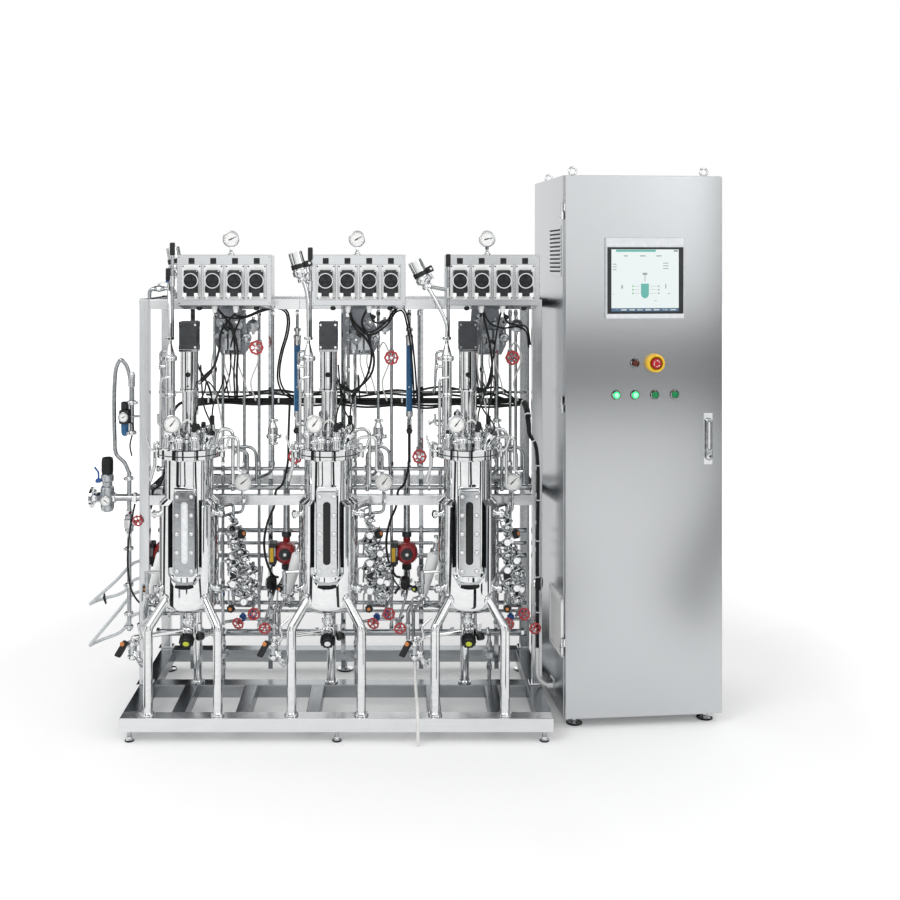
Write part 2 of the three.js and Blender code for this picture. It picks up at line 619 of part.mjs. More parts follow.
function impeller(z) {
  const half = IMPELLER_BLADE_THICKNESS / 2;
  const outline = new THREE.Shape(Array.from({ length: IMPELLER_BLADES }, (_, i) => {
    const turn = (i * 2 * Math.PI) / IMPELLER_BLADES;
    const corner = (radius, side) => new THREE.Vector2(radius, side).rotateAround(new THREE.Vector2(), turn);
    return [corner(IMPELLER_HUB_RADIUS, -half), corner(IMPELLER_TIP_RADIUS, -half),
      corner(IMPELLER_TIP_RADIUS, half), corner(IMPELLER_HUB_RADIUS, half)];
  }).flat());
  const geometry = new THREE.ExtrudeGeometry(outline, { depth: IMPELLER_BLADE_HEIGHT, bevelEnabled: false });
  geometry.translate(0, 0, z - IMPELLER_BLADE_HEIGHT / 2);
  return solid(geometry);
}

function agitator() {
  return join(rod(SHAFT_RADIUS, [0, 0, SHAFT_BOTTOM], [0, 0, SHAFT_TOP]), IMPELLER_HEIGHTS.map(impeller));
}

function drive() {
  const tube = turned([
    [0, DRIVE_BOTTOM], [DRIVE_FLANGE_RADIUS, DRIVE_BOTTOM],
    [DRIVE_FLANGE_RADIUS, DRIVE_BOTTOM + DRIVE_FLANGE_THICKNESS],
    [DRIVE_TUBE_RADIUS, DRIVE_BOTTOM + DRIVE_FLANGE_THICKNESS], [DRIVE_TUBE_RADIUS, LANTERN_BOTTOM],
    [LANTERN_RADIUS, LANTERN_BOTTOM], [LANTERN_RADIUS, MOTOR_BOTTOM + 1], [0, MOTOR_BOTTOM + 1],
  ], BROAD);
  const half = MOTOR_WIDTH / 2;
  const motor = block([-half, half], [-half, half], [MOTOR_BOTTOM, MOTOR_BOTTOM + MOTOR_HEIGHT]);
  const hollow = LANTERN_RADIUS - LANTERN_WALL;
  const inside = rod(hollow, [0, 0, LANTERN_BOTTOM + LANTERN_FLOOR], [0, 0, MOTOR_BOTTOM - LANTERN_FLOOR],
    BROAD);
  const sightZ = LANTERN_BOTTOM + LANTERN_WINDOW_LIFT;
  const sight = rod(LANTERN_WINDOW_RADIUS, [0, -LANTERN_RADIUS - 1, sightZ], [0, 0, sightZ]);
  const boreTop = LANTERN_BOTTOM + LANTERN_FLOOR + 5;
  const bore = fitted(SHAFT_BORE, [0, 0, DRIVE_BOTTOM - 1], [0, 0, boreTop], BROAD);
  return join(tube, motor).subtract(join(inside, sight, bore));
}

const headPlateBody = headPlate();
const agitatorBody = agitator();
const driveBody = drive();

for (const [side, x] of VESSELS) {
  const station = new THREE.Group();
  station.position.set(x, VESSEL_Y, 0);
  model.add(station);
  piece(`vessel_${side}`, vesselBody, POLISHED_STEEL, station);
  piece(`sight_glass_${side}`, sightGlassBody, POLISHED_STEEL, station);
  piece(`head_plate_${side}`, headPlateBody, POLISHED_STEEL, station);
  piece(`agitator_${side}`, agitatorBody, POLISHED_STEEL, station);
  piece(`drive_${side}`, driveBody, GREY_MOTOR_CASE, station);
}

// ---------- exhaust filters, each on its vessel's riser ----------

function exhaustFilter({ foot, lean, bend }) {
  const [riserX, riserY] = RISER_OFFSET;
  const [up, left] = polar(1, lean);
  const axis = new THREE.Vector3(-left, 0, up);
  const start = RISER_PIPE_TOP + SEAT_GAP;
  const fromRiser = ([x, y, z]) => [riserX + x, riserY + y, RISER_PIPE_TOP + z];
  const along = (distance) => (
    new THREE.Vector3(...fromRiser(foot)).addScaledVector(axis, distance).toArray());
  const route = [[riserX, riserY, start], [riserX, riserY, start + VENT_STRAIGHT], fromRiser(bend), along(4)];
  return join(
    bent(route, VENT_PIPE_RADIUS, THIN, 7),
    rod(FILTER_RADIUS * 0.7, along(0), along(FILTER_NECK), ROUND, FILTER_RADIUS),
    rod(FILTER_RADIUS, along(FILTER_NECK - 1), along(FILTER_LENGTH)),
    rod(FILTER_RING_RADIUS, along(FILTER_RING_START), along(FILTER_RING_START + FILTER_RING_LENGTH)),
  );
}

VESSELS.forEach(([side, x], index) => {
  piece(`exhaust_filter_${side}`, exhaustFilter(FILTERS[index]), POLISHED_STEEL, model, [x, VESSEL_Y, 0]);
});

// ---------- pump panels ----------

const [plateWidth, plateThickness, plateHeight] = PUMP_PLATE;
const pumpOffsets = Array.from({ length: PUMPS_PER_PANEL }, (_, i) => (
  (i - (PUMPS_PER_PANEL - 1) / 2) * PUMP_PITCH));
const plateFront = PANEL_FRONT_Y - plateThickness;
const headFront = plateFront - PUMP_HEAD_DEPTH;
const pocketFloor = headFront + ROTOR_POCKET_DEPTH;

function pumpPanel() {
  const back = MIDDLE_BEAM_Y - SEAT_GAP;
  const side = new THREE.Shape([
    [PANEL_FRONT_Y, PANEL_BOTTOM], [back, PANEL_BOTTOM - PANEL_BACK_DROP],
    [back, PANEL_BOTTOM + PANEL_HEIGHT], [PANEL_FRONT_Y, PANEL_BOTTOM + PANEL_HEIGHT],
  ].map(([y, z]) => new THREE.Vector2(y, z)));
  const casing = new THREE.ExtrudeGeometry(side, { depth: PANEL_WIDTH, bevelEnabled: false });
  casing.applyMatrix4(new THREE.Matrix4().makeBasis(
    new THREE.Vector3(0, 1, 0), new THREE.Vector3(0, 0, 1), new THREE.Vector3(1, 0, 0)));
  casing.translate(-PANEL_WIDTH / 2, 0, 0);
  const pumps = pumpOffsets.flatMap((x) => [
    block([x - plateWidth / 2, x + plateWidth / 2], [plateFront, PANEL_FRONT_Y + 1],
      [PUMP_PLATE_BOTTOM, PUMP_PLATE_BOTTOM + plateHeight]),
    block([x - PUMP_HEAD_WIDTH / 2, x + PUMP_HEAD_WIDTH / 2], [headFront, plateFront + 1],
      [PUMP_HEAD_BOTTOM, PUMP_HEAD_BOTTOM + PUMP_HEAD_HEIGHT]),
  ]);
  const pocketRadius = ROTOR_RADIUS + RUNNING_GAP;
  const pockets = pumpOffsets.map((x) => (
    fitted(pocketRadius, [x, headFront - 1, PUMP_AXIS_Z], [x, pocketFloor, PUMP_AXIS_Z], BROAD)));
  return join(solid(casing), pumps).subtract(join(pockets));
}

// The rotor's own frame has its back face at Y = 0 and its axis along Y.
function pumpRotor() {
  const rollers = [90, 210, 330].map((angle) => {
    const [x, z] = polar(ROLLER_CIRCLE, angle);
    return rod(ROLLER_RADIUS, [x, -ROTOR_THICKNESS + 1, z], [x, -ROTOR_THICKNESS - ROLLER_LENGTH, z], THIN);
  });
  return join(rod(ROTOR_RADIUS, [0, 0, 0], [0, -ROTOR_THICKNESS, 0], BROAD), rollers);
}

const panelBody = pumpPanel();
const rotorBody = pumpRotor();

VESSELS.forEach(([side], index) => {
  const bank = new THREE.Group();
  bank.position.x = across(PANELS[index]);
  model.add(bank);
  piece(`pump_panel_${side}`, panelBody, PANEL_STEEL, bank);
  pumpOffsets.forEach((x, pump) => {
    const seat = [x, pocketFloor - SEAT_GAP, PUMP_AXIS_Z];
    piece(`pump_rotor_${side}_${pump + 1}`, rotorBody, BLACK_PLASTIC, bank, seat);
  });
});

// ---------- pipe rack ----------

const hosePortX = BASE_LEFT - HOSE_PORT_REACH;
const circulatorX = [BASE_LEFT + POST + CIRCULATOR_MOTOR_RADIUS + SEAT_GAP, ...CIRCULATORS.map(across)];

// A valve on an upright tube: its body, the bonnet towards the front and the wheel's spindle.
function wheelValve([, tube, z]) {
  const x = across(tube);
  const half = VALVE_BODY / 2;
  const wheelBack = WHEEL_Y + WHEEL_THICKNESS / 2;
  return join(
    block([x - half, x + half], [RACK_Y - half, RACK_Y + half], [z - half, z + half]),
    rod(BONNET_RADIUS, [x, RACK_Y, z], [x, wheelBack + SEAT_GAP, z], THIN),
    rod(SPINDLE_RADIUS, [x, RACK_Y, z], [x, wheelBack - WHEEL_THICKNESS, z], THIN),
  );
}

function hosePort(z) {
  const [x, radius] = [across(HOSE_PORT_RISER), HOSE_PORT_RADIUS];
  return join(
    rod(radius, [x, RACK_Y, z], [x, HOSE_PORT_Y + radius, z], THIN),
    rod(radius, [x + radius, HOSE_PORT_Y, z], [hosePortX, HOSE_PORT_Y, z], THIN),
  );
}

function pipeRack() {
  const [headerLeft, headerRight] = [BASE_LEFT + HEADER_LEFT_INSET, BASE_RIGHT - HEADER_RIGHT_INSET];
  const header = (z, radius) => rod(radius, [headerLeft, RACK_Y, z], [headerRight, RACK_Y, z], THIN);
  const tubeTop = UPPER_FRAME_TOP - POST - TUBE_TOP_GAP;
  const topHeader = HEADERS[0][0];
  const lowHeader = HEADERS[HEADERS.length - 1][0];
  const riser = (radius, x, z0, z1) => rod(radius, [x, RACK_Y, z0], [x, RACK_Y, z1], THIN);
  const upperTubes = new Set([...UPPER_TUBES, ...WHEELS.map(([, tube]) => tube), ...FLOWMETERS].map(across));
  const tubes = [
    ...[...upperTubes, TRUNK_TURN_X - LAST_TUBE_GAP].map((x) => riser(TUBE_RADIUS, x, topHeader, tubeTop)),
    ...LOWER_TUBES.map(across).map((x) => riser(TUBE_RADIUS, x, lowHeader, topHeader)),
    riser(HOSE_PORT_RADIUS, across(HOSE_PORT_RISER), lowHeader, topHeader),
  ];
  const restingZ = MIDDLE_RAIL_BOTTOM + POST + SEAT_GAP + LONG_HEADER_RADIUS;
  const restingHeader = rod(
    LONG_HEADER_RADIUS, [BASE_LEFT, RACK_Y, restingZ], [BASE_RIGHT, RACK_Y, restingZ], THIN);
  const flowmeters = FLOWMETERS.map(across).map((x) => (
    rod(FLOWMETER_RADIUS, [x, RACK_Y, FLOWMETER_Z[0]], [x, RACK_Y, FLOWMETER_Z[1]])));
  const reach = CIRCULATOR_HALF_HEIGHT + SEAT_GAP;
  const circulatorStubs = circulatorX.flatMap((x) => [
    riser(CIRCULATOR_PIPE_RADIUS, x, CIRCULATOR_Z + reach, topHeader),
    riser(CIRCULATOR_PIPE_RADIUS, x, PUMP_HEADER_Z, CIRCULATOR_Z - reach),
  ]);
  return join(
    HEADERS.map(([z, radius]) => header(z, radius)), restingHeader, tubes, flowmeters, circulatorStubs,
    WHEELS.map(wheelValve), [...UPPER_HOSE_PORTS_Z, ...LOWER_HOSE_PORTS_Z].map(hosePort),
  );
}

piece('pipe_rack', pipeRack(), POLISHED_STEEL, model);

// ---------- handwheels ----------

// The wheel's own frame has its middle at the origin and its axis along Y.
function handwheel() {
  const ring = (radius, count, from, to) => Array.from({ length: count }, (_, i) => (
    new THREE.Vector2(...polar(radius, from + ((to - from) * i) / (count - 1)))));
  const outline = new THREE.Shape(ring(WHEEL_RADIUS, 16, 0, 337.5));
  const pitch = 360 / WHEEL_SPOKES;
  const spokeHalf = (radius) => THREE.MathUtils.radToDeg(Math.asin(WHEEL_SPOKE_WIDTH / 2 / radius));
  const rimInside = WHEEL_RADIUS - WHEEL_RIM;
  for (let i = 0; i < WHEEL_SPOKES; i += 1) {
    const start = 90 + i * pitch;
    const [outer, inner] = [spokeHalf(rimInside), spokeHalf(WHEEL_HUB_RADIUS)];
    outline.holes.push(new THREE.Path([
      ...ring(rimInside, 3, start + outer, start + pitch - outer),
      ...ring(WHEEL_HUB_RADIUS, 2, start + pitch - inner, start + inner),
    ]));
  }
  const half = WHEEL_THICKNESS / 2;
  const bore = fitted(SPINDLE_RADIUS + SEAT_GAP, [0, half + 1, 0], [0, -half - 1, 0]);
  return upright(outline, [-half, half]).subtract(bore);
}

const wheelBody = handwheel();
for (const [name, tube, z] of WHEELS) {
  piece(name, wheelBody, WHEEL_ENAMEL, model, [across(tube), WHEEL_Y, z]);
}

// ---------- circulation pumps ----------

function circulator() {
  const [front, back] = CIRCULATOR_MOTOR_Y;
  const inner = 8 - CIRCULATOR_MOTOR_RADIUS;
  const boxFront = MIDDLE_BEAM_Y + POST + TERMINAL_BOX_GAP;
  return join(
    rod(CIRCULATOR_MOTOR_RADIUS, [0, front, 0], [0, back, 0], BROAD),
    rod(CIRCULATOR_VOLUTE_RADIUS, [0, back - 2, 0], [0, RACK_Y + CIRCULATOR_VOLUTE_BACK, 0], BROAD),
    rod(CIRCULATOR_PIPE_RADIUS, [0, RACK_Y, -CIRCULATOR_HALF_HEIGHT], [0, RACK_Y, CIRCULATOR_HALF_HEIGHT]),
    block([inner - TERMINAL_BOX_WIDTH, inner], [boxFront, back],
      [-TERMINAL_BOX_HEIGHT / 2, TERMINAL_BOX_HEIGHT / 2]),
  );
}

const circulatorBody = circulator();
VESSELS.forEach(([side], index) => {
  const middleOfPump = [circulatorX[index], 0, CIRCULATOR_Z];
  piece(`circulation_pump_${side}`, circulatorBody, RED_ENAMEL, model, middleOfPump);
});

// ---------- air service on the left post ----------

function airService() {
  const y = SERVICE_Y;
  const x = BASE_LEFT - SERVICE_COLUMN_OFFSET;
  const regulatorX = BASE_LEFT - REGULATOR_OFFSET;
  const inletX = BASE_LEFT - SERVICE_INLET_OFFSET;
  const columnTop = SERVICE_COLUMN_Z[1];
  const gooseneck = [[x, y, columnTop - 4], ...GOOSENECK.map(([aside, z]) => [x + aside, y, z])];
  const [low, high] = REGULATOR_Z;
  return join(
    bent(gooseneck, GOOSENECK_RADIUS, THIN, 16),
    rod(SERVICE_COLUMN_RADIUS, [x, y, SERVICE_COLUMN_Z[0]], [x, y, columnTop]),
    rod(SERVICE_VALVE_RADIUS, [x, y, SERVICE_VALVE_Z[0]], [x, y, SERVICE_VALVE_Z[1]]),
    rod(SERVICE_PIPE_RADIUS, [inletX + 2, y, SERVICE_PIPE_Z], [BASE_LEFT - SEAT_GAP, y, SERVICE_PIPE_Z]),
    rod(REGULATOR_RADIUS, [regulatorX, y, low], [regulatorX, y, high], BROAD),
    rod(REGULATOR_KNOB_RADIUS, [regulatorX, y, high - 1], [regulatorX, y, REGULATOR_KNOB_TOP], BROAD),
    rod(SERVICE_INLET_RADIUS, [inletX, y, SERVICE_PIPE_Z],
      [inletX + SERVICE_INLET_THICKNESS, y, SERVICE_PIPE_Z], BROAD),
  );
}

piece('air_service', airService(), POLISHED_STEEL, model);

// ---------- control cabinet ----------
// Its own frame has X across the door from the hinge side, Y from the door's face to the back.

const cabinet = new THREE.Group();
cabinet.position.set(...CABINET_CORNER, 0);
cabinet.rotation.z = CABINET_YAW;
model.add(cabinet);

function eyeBolt(x, y) {
  const ring = new THREE.TorusGeometry(EYE_RADIUS, EYE_ROD_RADIUS, 4, 8);
  ring.rotateX(Math.PI / 2);
  const centre = CABINET_TOP + EYE_RADIUS + EYE_ROD_RADIUS;
  ring.translate(x, y, centre);
  const shank = rod(EYE_ROD_RADIUS * 1.6, [x, y, CABINET_TOP - 1], [x, y, CABINET_TOP + 6], THIN);
  return join(solid(ring), shank);
}

// One half of a hinge: the block around the pin, on the door above or on the body below.
function knuckle([z0, z1], [y0, y1], toX) {
  const [x, y] = HINGE_AXIS;
  return join(
    block([x - HINGE_KNUCKLE, x + HINGE_KNUCKLE], [y - HINGE_KNUCKLE, y + HINGE_KNUCKLE], [z0, z1]),
    block([x - HINGE_KNUCKLE, toX], [y0, y1], [z0, z1]),
  );
}

function cabinetBody() {
  const shell = block([0, CABINET_WIDTH], [BODY_FRONT, CABINET_DEPTH], [CABINET_BOTTOM, CABINET_TOP]);
  const inside = block([SHEET, CABINET_WIDTH - SHEET], [BODY_FRONT + SHEET, CABINET_DEPTH - SHEET],
    [CABINET_BOTTOM + SHEET, CABINET_TOP - SHEET]);
  const mouth = block([CABINET_LIP, CABINET_WIDTH - CABINET_LIP], [BODY_FRONT - 1, BODY_FRONT + SHEET + 1],
    [CABINET_BOTTOM + CABINET_LIP, CABINET_TOP - CABINET_LIP]);
  const footX = [CABINET_FOOT_INSET, CABINET_WIDTH - CABINET_FOOT_INSET];
  const footY = [BODY_FRONT + CABINET_FRONT_FOOT_INSET, CABINET_DEPTH - CABINET_FOOT_INSET];
  const feet = footX.flatMap((x) => footY.flatMap((y) => [
    rod(CABINET_FOOT_RADIUS, [x, y, 0], [x, y, FOOT_THICKNESS], ROUND, CABINET_FOOT_RADIUS * 0.8),
    rod(FOOT_STEM_RADIUS, [x, y, FOOT_THICKNESS - 1], [x, y, CABINET_BOTTOM + 1], THIN),
  ]));
  const eyes = [EYE_INSET, CABINET_WIDTH - EYE_INSET].flatMap((x) => [
    eyeBolt(x, BODY_FRONT + EYE_INSET), eyeBolt(x, CABINET_DEPTH - EYE_INSET)]);
  const [pinX, pinY] = HINGE_AXIS;
  const leafBack = BODY_FRONT + HINGE_LEAF;
  const hinges = HINGE_HEIGHTS.flatMap((z) => [
    knuckle([z - HINGE_HALF_HEIGHT, z], [BODY_FRONT + 2, leafBack], 1),
    block([pinX - HINGE_KNUCKLE, -1], [pinY, leafBack], [z - HINGE_HALF_HEIGHT, z]),
    rod(HINGE_PIN_RADIUS, [pinX, pinY, z - 1], [pinX, pinY, z + HINGE_HALF_HEIGHT], THIN),
  ]);
  return join(shell.subtract(join(inside, mouth)), feet, eyes, hinges);
}

function collar([x, z], radius, bore) {
  return rod(radius, [x, -COLLAR_PROUD, z], [x, 0.5, z], BROAD).subtract(
    fitted(bore, [x, -COLLAR_PROUD - 1, z], [x, 1, z]));
}

function cabinetDoor() {
  const spanX = [DOOR_EDGE_GAP, CABINET_WIDTH - DOOR_EDGE_GAP];
  const spanZ = [CABINET_BOTTOM + DOOR_EDGE_GAP, CABINET_TOP - DOOR_EDGE_GAP];
  const pan = block(spanX, [0, DOOR_THICKNESS], spanZ);
  const hollow = block([spanX[0] + DOOR_RIM, spanX[1] - DOOR_RIM], [SHEET, DOOR_THICKNESS + 1],
    [spanZ[0] + DOOR_RIM, spanZ[1] - DOOR_RIM]);
  const [screenX, screenZ] = SCREEN_CENTRE;
  const cutX = SCREEN_BODY[0] / 2 + 1;
  const cutZ = SCREEN_BODY[1] / 2 + 1;
  const screenCut = block([screenX - cutX, screenX + cutX], [-1, SHEET + 1],
    [screenZ - cutZ, screenZ + cutZ]);
  const bores = [...BUTTON_CENTRES.map((x) => [x, BUTTON_HEIGHT]), STOP_CENTRE];
  const boreRadius = BUTTON_RADIUS + RUNNING_GAP;
  const drilled = join(bores.map(([x, z]) => fitted(boreRadius, [x, -1, z], [x, SHEET + 1, z])));
  const collars = bores.map((centre) => collar(centre, BUTTON_COLLAR_RADIUS, boreRadius));
  const plateHalf = HANDLE_WIDTH / 2 + HANDLE_PLATE_MARGIN[0];
  const plate = block([HANDLE_X - plateHalf, HANDLE_X + plateHalf], [-HANDLE_PLATE_THICKNESS, 1],
    [HANDLE_Z[0] - HANDLE_PLATE_MARGIN[1], HANDLE_Z[1] + HANDLE_PLATE_MARGIN[1]]);
  const [pinX, pinY] = HINGE_AXIS;
  const leafY = [pinY - HINGE_KNUCKLE, pinY + HINGE_KNUCKLE];
  const leaves = HINGE_HEIGHTS.map((z) => {
    const top = z + HINGE_HALF_HEIGHT;
    const pinHole = fitted(HINGE_PIN_RADIUS + RUNNING_GAP, [pinX, pinY, z - 1], [pinX, pinY, top + 1], THIN);
    return knuckle([z + SEAT_GAP, top], leafY, DOOR_EDGE_GAP + 1).subtract(pinHole);
  });
  return join(pan.subtract(join(hollow, screenCut, drilled)), collars, plate, leaves);
}

function touchScreen() {
  const [width, height] = SCREEN_SIZE;
  const [bodyWidth, bodyHeight, bodyDepth] = SCREEN_BODY;
  const [x, z] = SCREEN_CENTRE;
  return join(
    block([x - width / 2, x + width / 2], [-SCREEN_BEZEL, -SEAT_GAP], [z - height / 2, z + height / 2]),
    block([x - bodyWidth / 2, x + bodyWidth / 2], [-SCREEN_BEZEL + 1, bodyDepth],
      [z - bodyHeight / 2, z + bodyHeight / 2]),
  );
}

function pushButton(x, z) {
  return fitted(BUTTON_RADIUS, [x, -BUTTON_PROUD, z], [x, CONTACT_DEPTH, z]);
}

function stopButton() {
  const [x, z] = STOP_CENTRE;
  return join(
    rod(STOP_CAP_RADIUS * 0.9, [x, STOP_CAP_Y[0], z], [x, STOP_CAP_Y[1], z], BROAD, STOP_CAP_RADIUS),
    fitted(BUTTON_RADIUS, [x, STOP_CAP_Y[1] - 1, z], [x, CONTACT_DEPTH, z]),
  );
}

function doorHandle() {
  const back = -HANDLE_PLATE_THICKNESS - SEAT_GAP;
  const x = [HANDLE_X - HANDLE_WIDTH / 2, HANDLE_X + HANDLE_WIDTH / 2];
  return upright(rounded(x, HANDLE_Z, HANDLE_WIDTH / 2 - 1), [back - HANDLE_THICKNESS, back]);
}

function mountingPlate() {
  const [marginX, marginZ] = MOUNTING_PLATE_MARGIN;
  const x = [marginX, CABINET_WIDTH - marginX];
  const z = [CABINET_BOTTOM + marginZ, CABINET_TOP - marginZ];
  const back = CABINET_DEPTH - SHEET - SEAT_GAP;
  const inset = ([low, high]) => [low + STUD_INSET, high - STUD_INSET];
  const studs = inset(x).flatMap((studX) => inset(z).map((studZ) => (
    rod(STUD_RADIUS, [studX, MOUNTING_PLATE_Y + 1, studZ], [studX, back, studZ], THIN))));
  return join(block(x, [MOUNTING_PLATE_Y, MOUNTING_PLATE_Y + MOUNTING_PLATE_THICKNESS], z), studs);
}

piece('cabinet_body', cabinetBody(), BRUSHED_STEEL, cabinet);
piece('cabinet_door', cabinetDoor(), BRUSHED_STEEL, cabinet);
piece('touch_screen', touchScreen(), SCREEN_PLASTIC, cabinet);
piece('stop_button', stopButton(), RED_ENAMEL, cabinet);
BUTTON_CENTRES.forEach((x, i) => {
  piece(`push_button_${i + 1}`, pushButton(x, BUTTON_HEIGHT), GREEN_PLASTIC, cabinet);
});
piece('door_handle', doorHandle(), BRUSHED_STEEL, cabinet);
piece('mounting_plate', mountingPlate(), PANEL_STEEL, cabinet);

// ---------- cables and hoses ----------

const trunkFrontY = MIDDLE_BEAM_Y - SEAT_GAP - TRUNK_RADIUS;
const trunkX = BASE_RIGHT - POST / 2;
const trunkRoute = [
  [BASE_LEFT + TRUNK_START, TRUNK_Y, TRUNK_Z], [0, TRUNK_Y, TRUNK_Z],
  [TRUNK_TURN_X - 97, TRUNK_Y, TRUNK_Z], [TRUNK_TURN_X - 30, TRUNK_Y, TRUNK_Z],
  [TRUNK_TURN_X - 4, TRUNK_Y - 16, TRUNK_Z - 4], [TRUNK_TURN_X, TRUNK_Y - 50, TRUNK_Z - 14],
  [TRUNK_TURN_X, MIDDLE_BEAM_Y + 20, TRUNK_Z - 38], [TRUNK_TURN_X, trunkFrontY, TRUNK_Z - 76],
  [TRUNK_TURN_X + 4, trunkFrontY, TRUNK_Z - 112], [trunkX - 8, trunkFrontY, TRUNK_Z - 150],
  [trunkX, trunkFrontY, TRUNK_Z - 200], [trunkX, trunkFrontY, 600], [trunkX, trunkFrontY, TRUNK_FOOT],
];
piece('cable_trunk', bent(trunkRoute, TRUNK_RADIUS, BROAD, 28), CABLE_RUBBER, model);

function cabinetPoint(x, y, z) {
  const [cornerX, cornerY] = CABINET_CORNER;
  const [cos, sin] = [Math.cos(CABINET_YAW), Math.sin(CABINET_YAW)];
  return [cornerX + x * cos - y * sin, cornerY + x * sin + y * cos, z];
}

const [entryY, entryZ] = CONDUIT_ENTRY;
const conduitRoute = [
  [trunkX, trunkFrontY, TRUNK_FOOT - SEAT_GAP], [trunkX, trunkFrontY, 147],
  [trunkX + 1.4, trunkFrontY + 0.1, 134.6], [trunkX + 5.6, trunkFrontY + 0.5, 122.9],
  [trunkX + 12.3, trunkFrontY + 1.2, 112.4], [trunkX + 21.1, trunkFrontY + 2, 103.7],
  [trunkX + 31.8, trunkFrontY + 3, 97.2], [trunkX + 43.6, trunkFrontY + 4.1, 93.2],
  cabinetPoint(-3.5, entryY, entryZ), cabinetPoint(-SEAT_GAP, entryY, entryZ),
];
piece('cabinet_conduit', bent(conduitRoute, CONDUIT_RADIUS, ROUND, 12), WHITE_PLASTIC, model);

const hoseEnds = (z) => [[hosePortX - SEAT_GAP, HOSE_PORT_Y, z], [hosePortX - 12, HOSE_PORT_Y, z]];
// Each loop leaves its upper port, comes forward, turns at its far end and goes back to its lower port.
const upperHoseRoute = [
  ...hoseEnds(UPPER_HOSE_PORTS_Z[0]), [-783.1, 497.9, 516.6], [-800.7, 491.7, 509.7],
  [-814.5, 482.2, 498.9], [-837.2, 460.3, 474.2], [-853.2, 449.5, 457.7], [-871.6, 445.5, 440.6],
  [-929.2, 444, 389.4], [-941.6, 446.3, 378.1], [-952.7, 453.4, 367.4], [-961.5, 464.9, 358.4],
  [-967.1, 479.5, 351.9], [-969, 496, 348.5], [-966.2, 518.3, 346.9], [-958, 534.4, 347.3],
  [-945.3, 547.1, 349.2], [-929.4, 555.1, 352.3], [-912, 557.6, 356.4], [-890.3, 557, 361.8],
  [-866.2, 554, 370.8], [-845.6, 546.3, 384.5], [-830.2, 534.7, 401.7], [-815.6, 518.9, 423.6],
  [-801.8, 508.9, 437.6], [-782.8, 502.3, 446.8], ...hoseEnds(UPPER_HOSE_PORTS_Z[1]).reverse(),
];
const lowerHoseRoute = [
  ...hoseEnds(LOWER_HOSE_PORTS_Z[0]), [-784.3, 497.9, 393.3], [-802.4, 491.8, 385.4],
  [-816.3, 482.4, 373.2], [-841, 458.5, 342.2], [-854.7, 449.1, 325.4], [-869.6, 445.6, 307.5],
  [-935.9, 443.9, 229.2], [-946.3, 446, 216.5], [-955.6, 452.9, 204.6], [-962.8, 463.8, 194.5],
  [-967.4, 477.8, 187.1], [-969, 493.8, 183], [-966.2, 517.4, 180.7], [-958, 533.8, 181.4],
  [-945.4, 546.8, 184.1], [-929.6, 555, 188.6], [-912.4, 557.5, 194.4], [-894.4, 557, 200.9],
  [-872.7, 554.4, 211.5], [-854.4, 548, 226.2], [-841, 538.3, 244], [-821, 517.6, 279.1],
  [-811.4, 510.4, 291.4], [-798.1, 504.8, 300.9], [-782.4, 501.2, 306.9],
  ...hoseEnds(LOWER_HOSE_PORTS_Z[1]).reverse(),
];
piece('upper_hose', bent(upperHoseRoute, HOSE_RADIUS, ROUND, 24), HOSE_GREY, model);
piece('lower_hose', bent(lowerHoseRoute, HOSE_RADIUS, ROUND, 24), HOSE_GREY, model);

const [valveX, valveY, valveZ] = HARVEST_VALVE;
const drainX = VESSEL_PITCH + valveX;
const drainY = VESSEL_Y + valveY;
const drainTop = valveZ - HARVEST_VALVE_HALF - SEAT_GAP;
const drainRoute = [
  [drainX, drainY, drainTop], [drainX + 1, drainY, 224.5], [drainX + 1.4, drainY - 1.7, 208.6],
  [drainX + 2, drainY - 6.6, 193.5], [drainX + 2.6, drainY - 14.6, 179.7],
  [drainX + 3.3, drainY - 25.2, 167.9], [drainX + 4, drainY - 38.1, 158.6], [drainX + 6, 23.4, 137.6],
  [drainX + 6.9, 7.8, 125.8], [drainX + 7.6, -4.2, 110.4], [drainX + 8.1, -11.9, 92.4],
  [drainX + 8.4, -14.8, 73.1], [drainX + 9, -16, DRAIN_TUBE_RADIUS / 2],
];
piece('drain_tube', bent(drainRoute, DRAIN_TUBE_RADIUS, ROUND, 14), WHITE_PLASTIC, model);

// ---------- origin ----------

const freeCords = ['cabinet_conduit', 'upper_hose', 'lower_hose', 'drain_tube'];
const footprint = new THREE.Box3();
model.updateMatrixWorld(true);
model.traverse((part) => {
  if (part.isMesh && !freeCords.includes(part.name)) footprint.expandByObject(part, true);
});
const middle = footprint.getCenter(new THREE.Vector3()).round();
model.position.set(-middle.x, -middle.y, 0);

export default model;
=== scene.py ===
"""Looks of a three-vessel bench bioreactor on its skid, with the control cabinet beside it.

Sizes are in millimetres in the layout frame until Maker places them: X from the middle vessel's axis,
Y from the front face of the base frame and Z from the floor. Every object is in metres."""

import math

import bmesh
import bpy
from bpy.props import FloatProperty, FloatVectorProperty, IntProperty, PointerProperty
from mathutils import Matrix, Vector


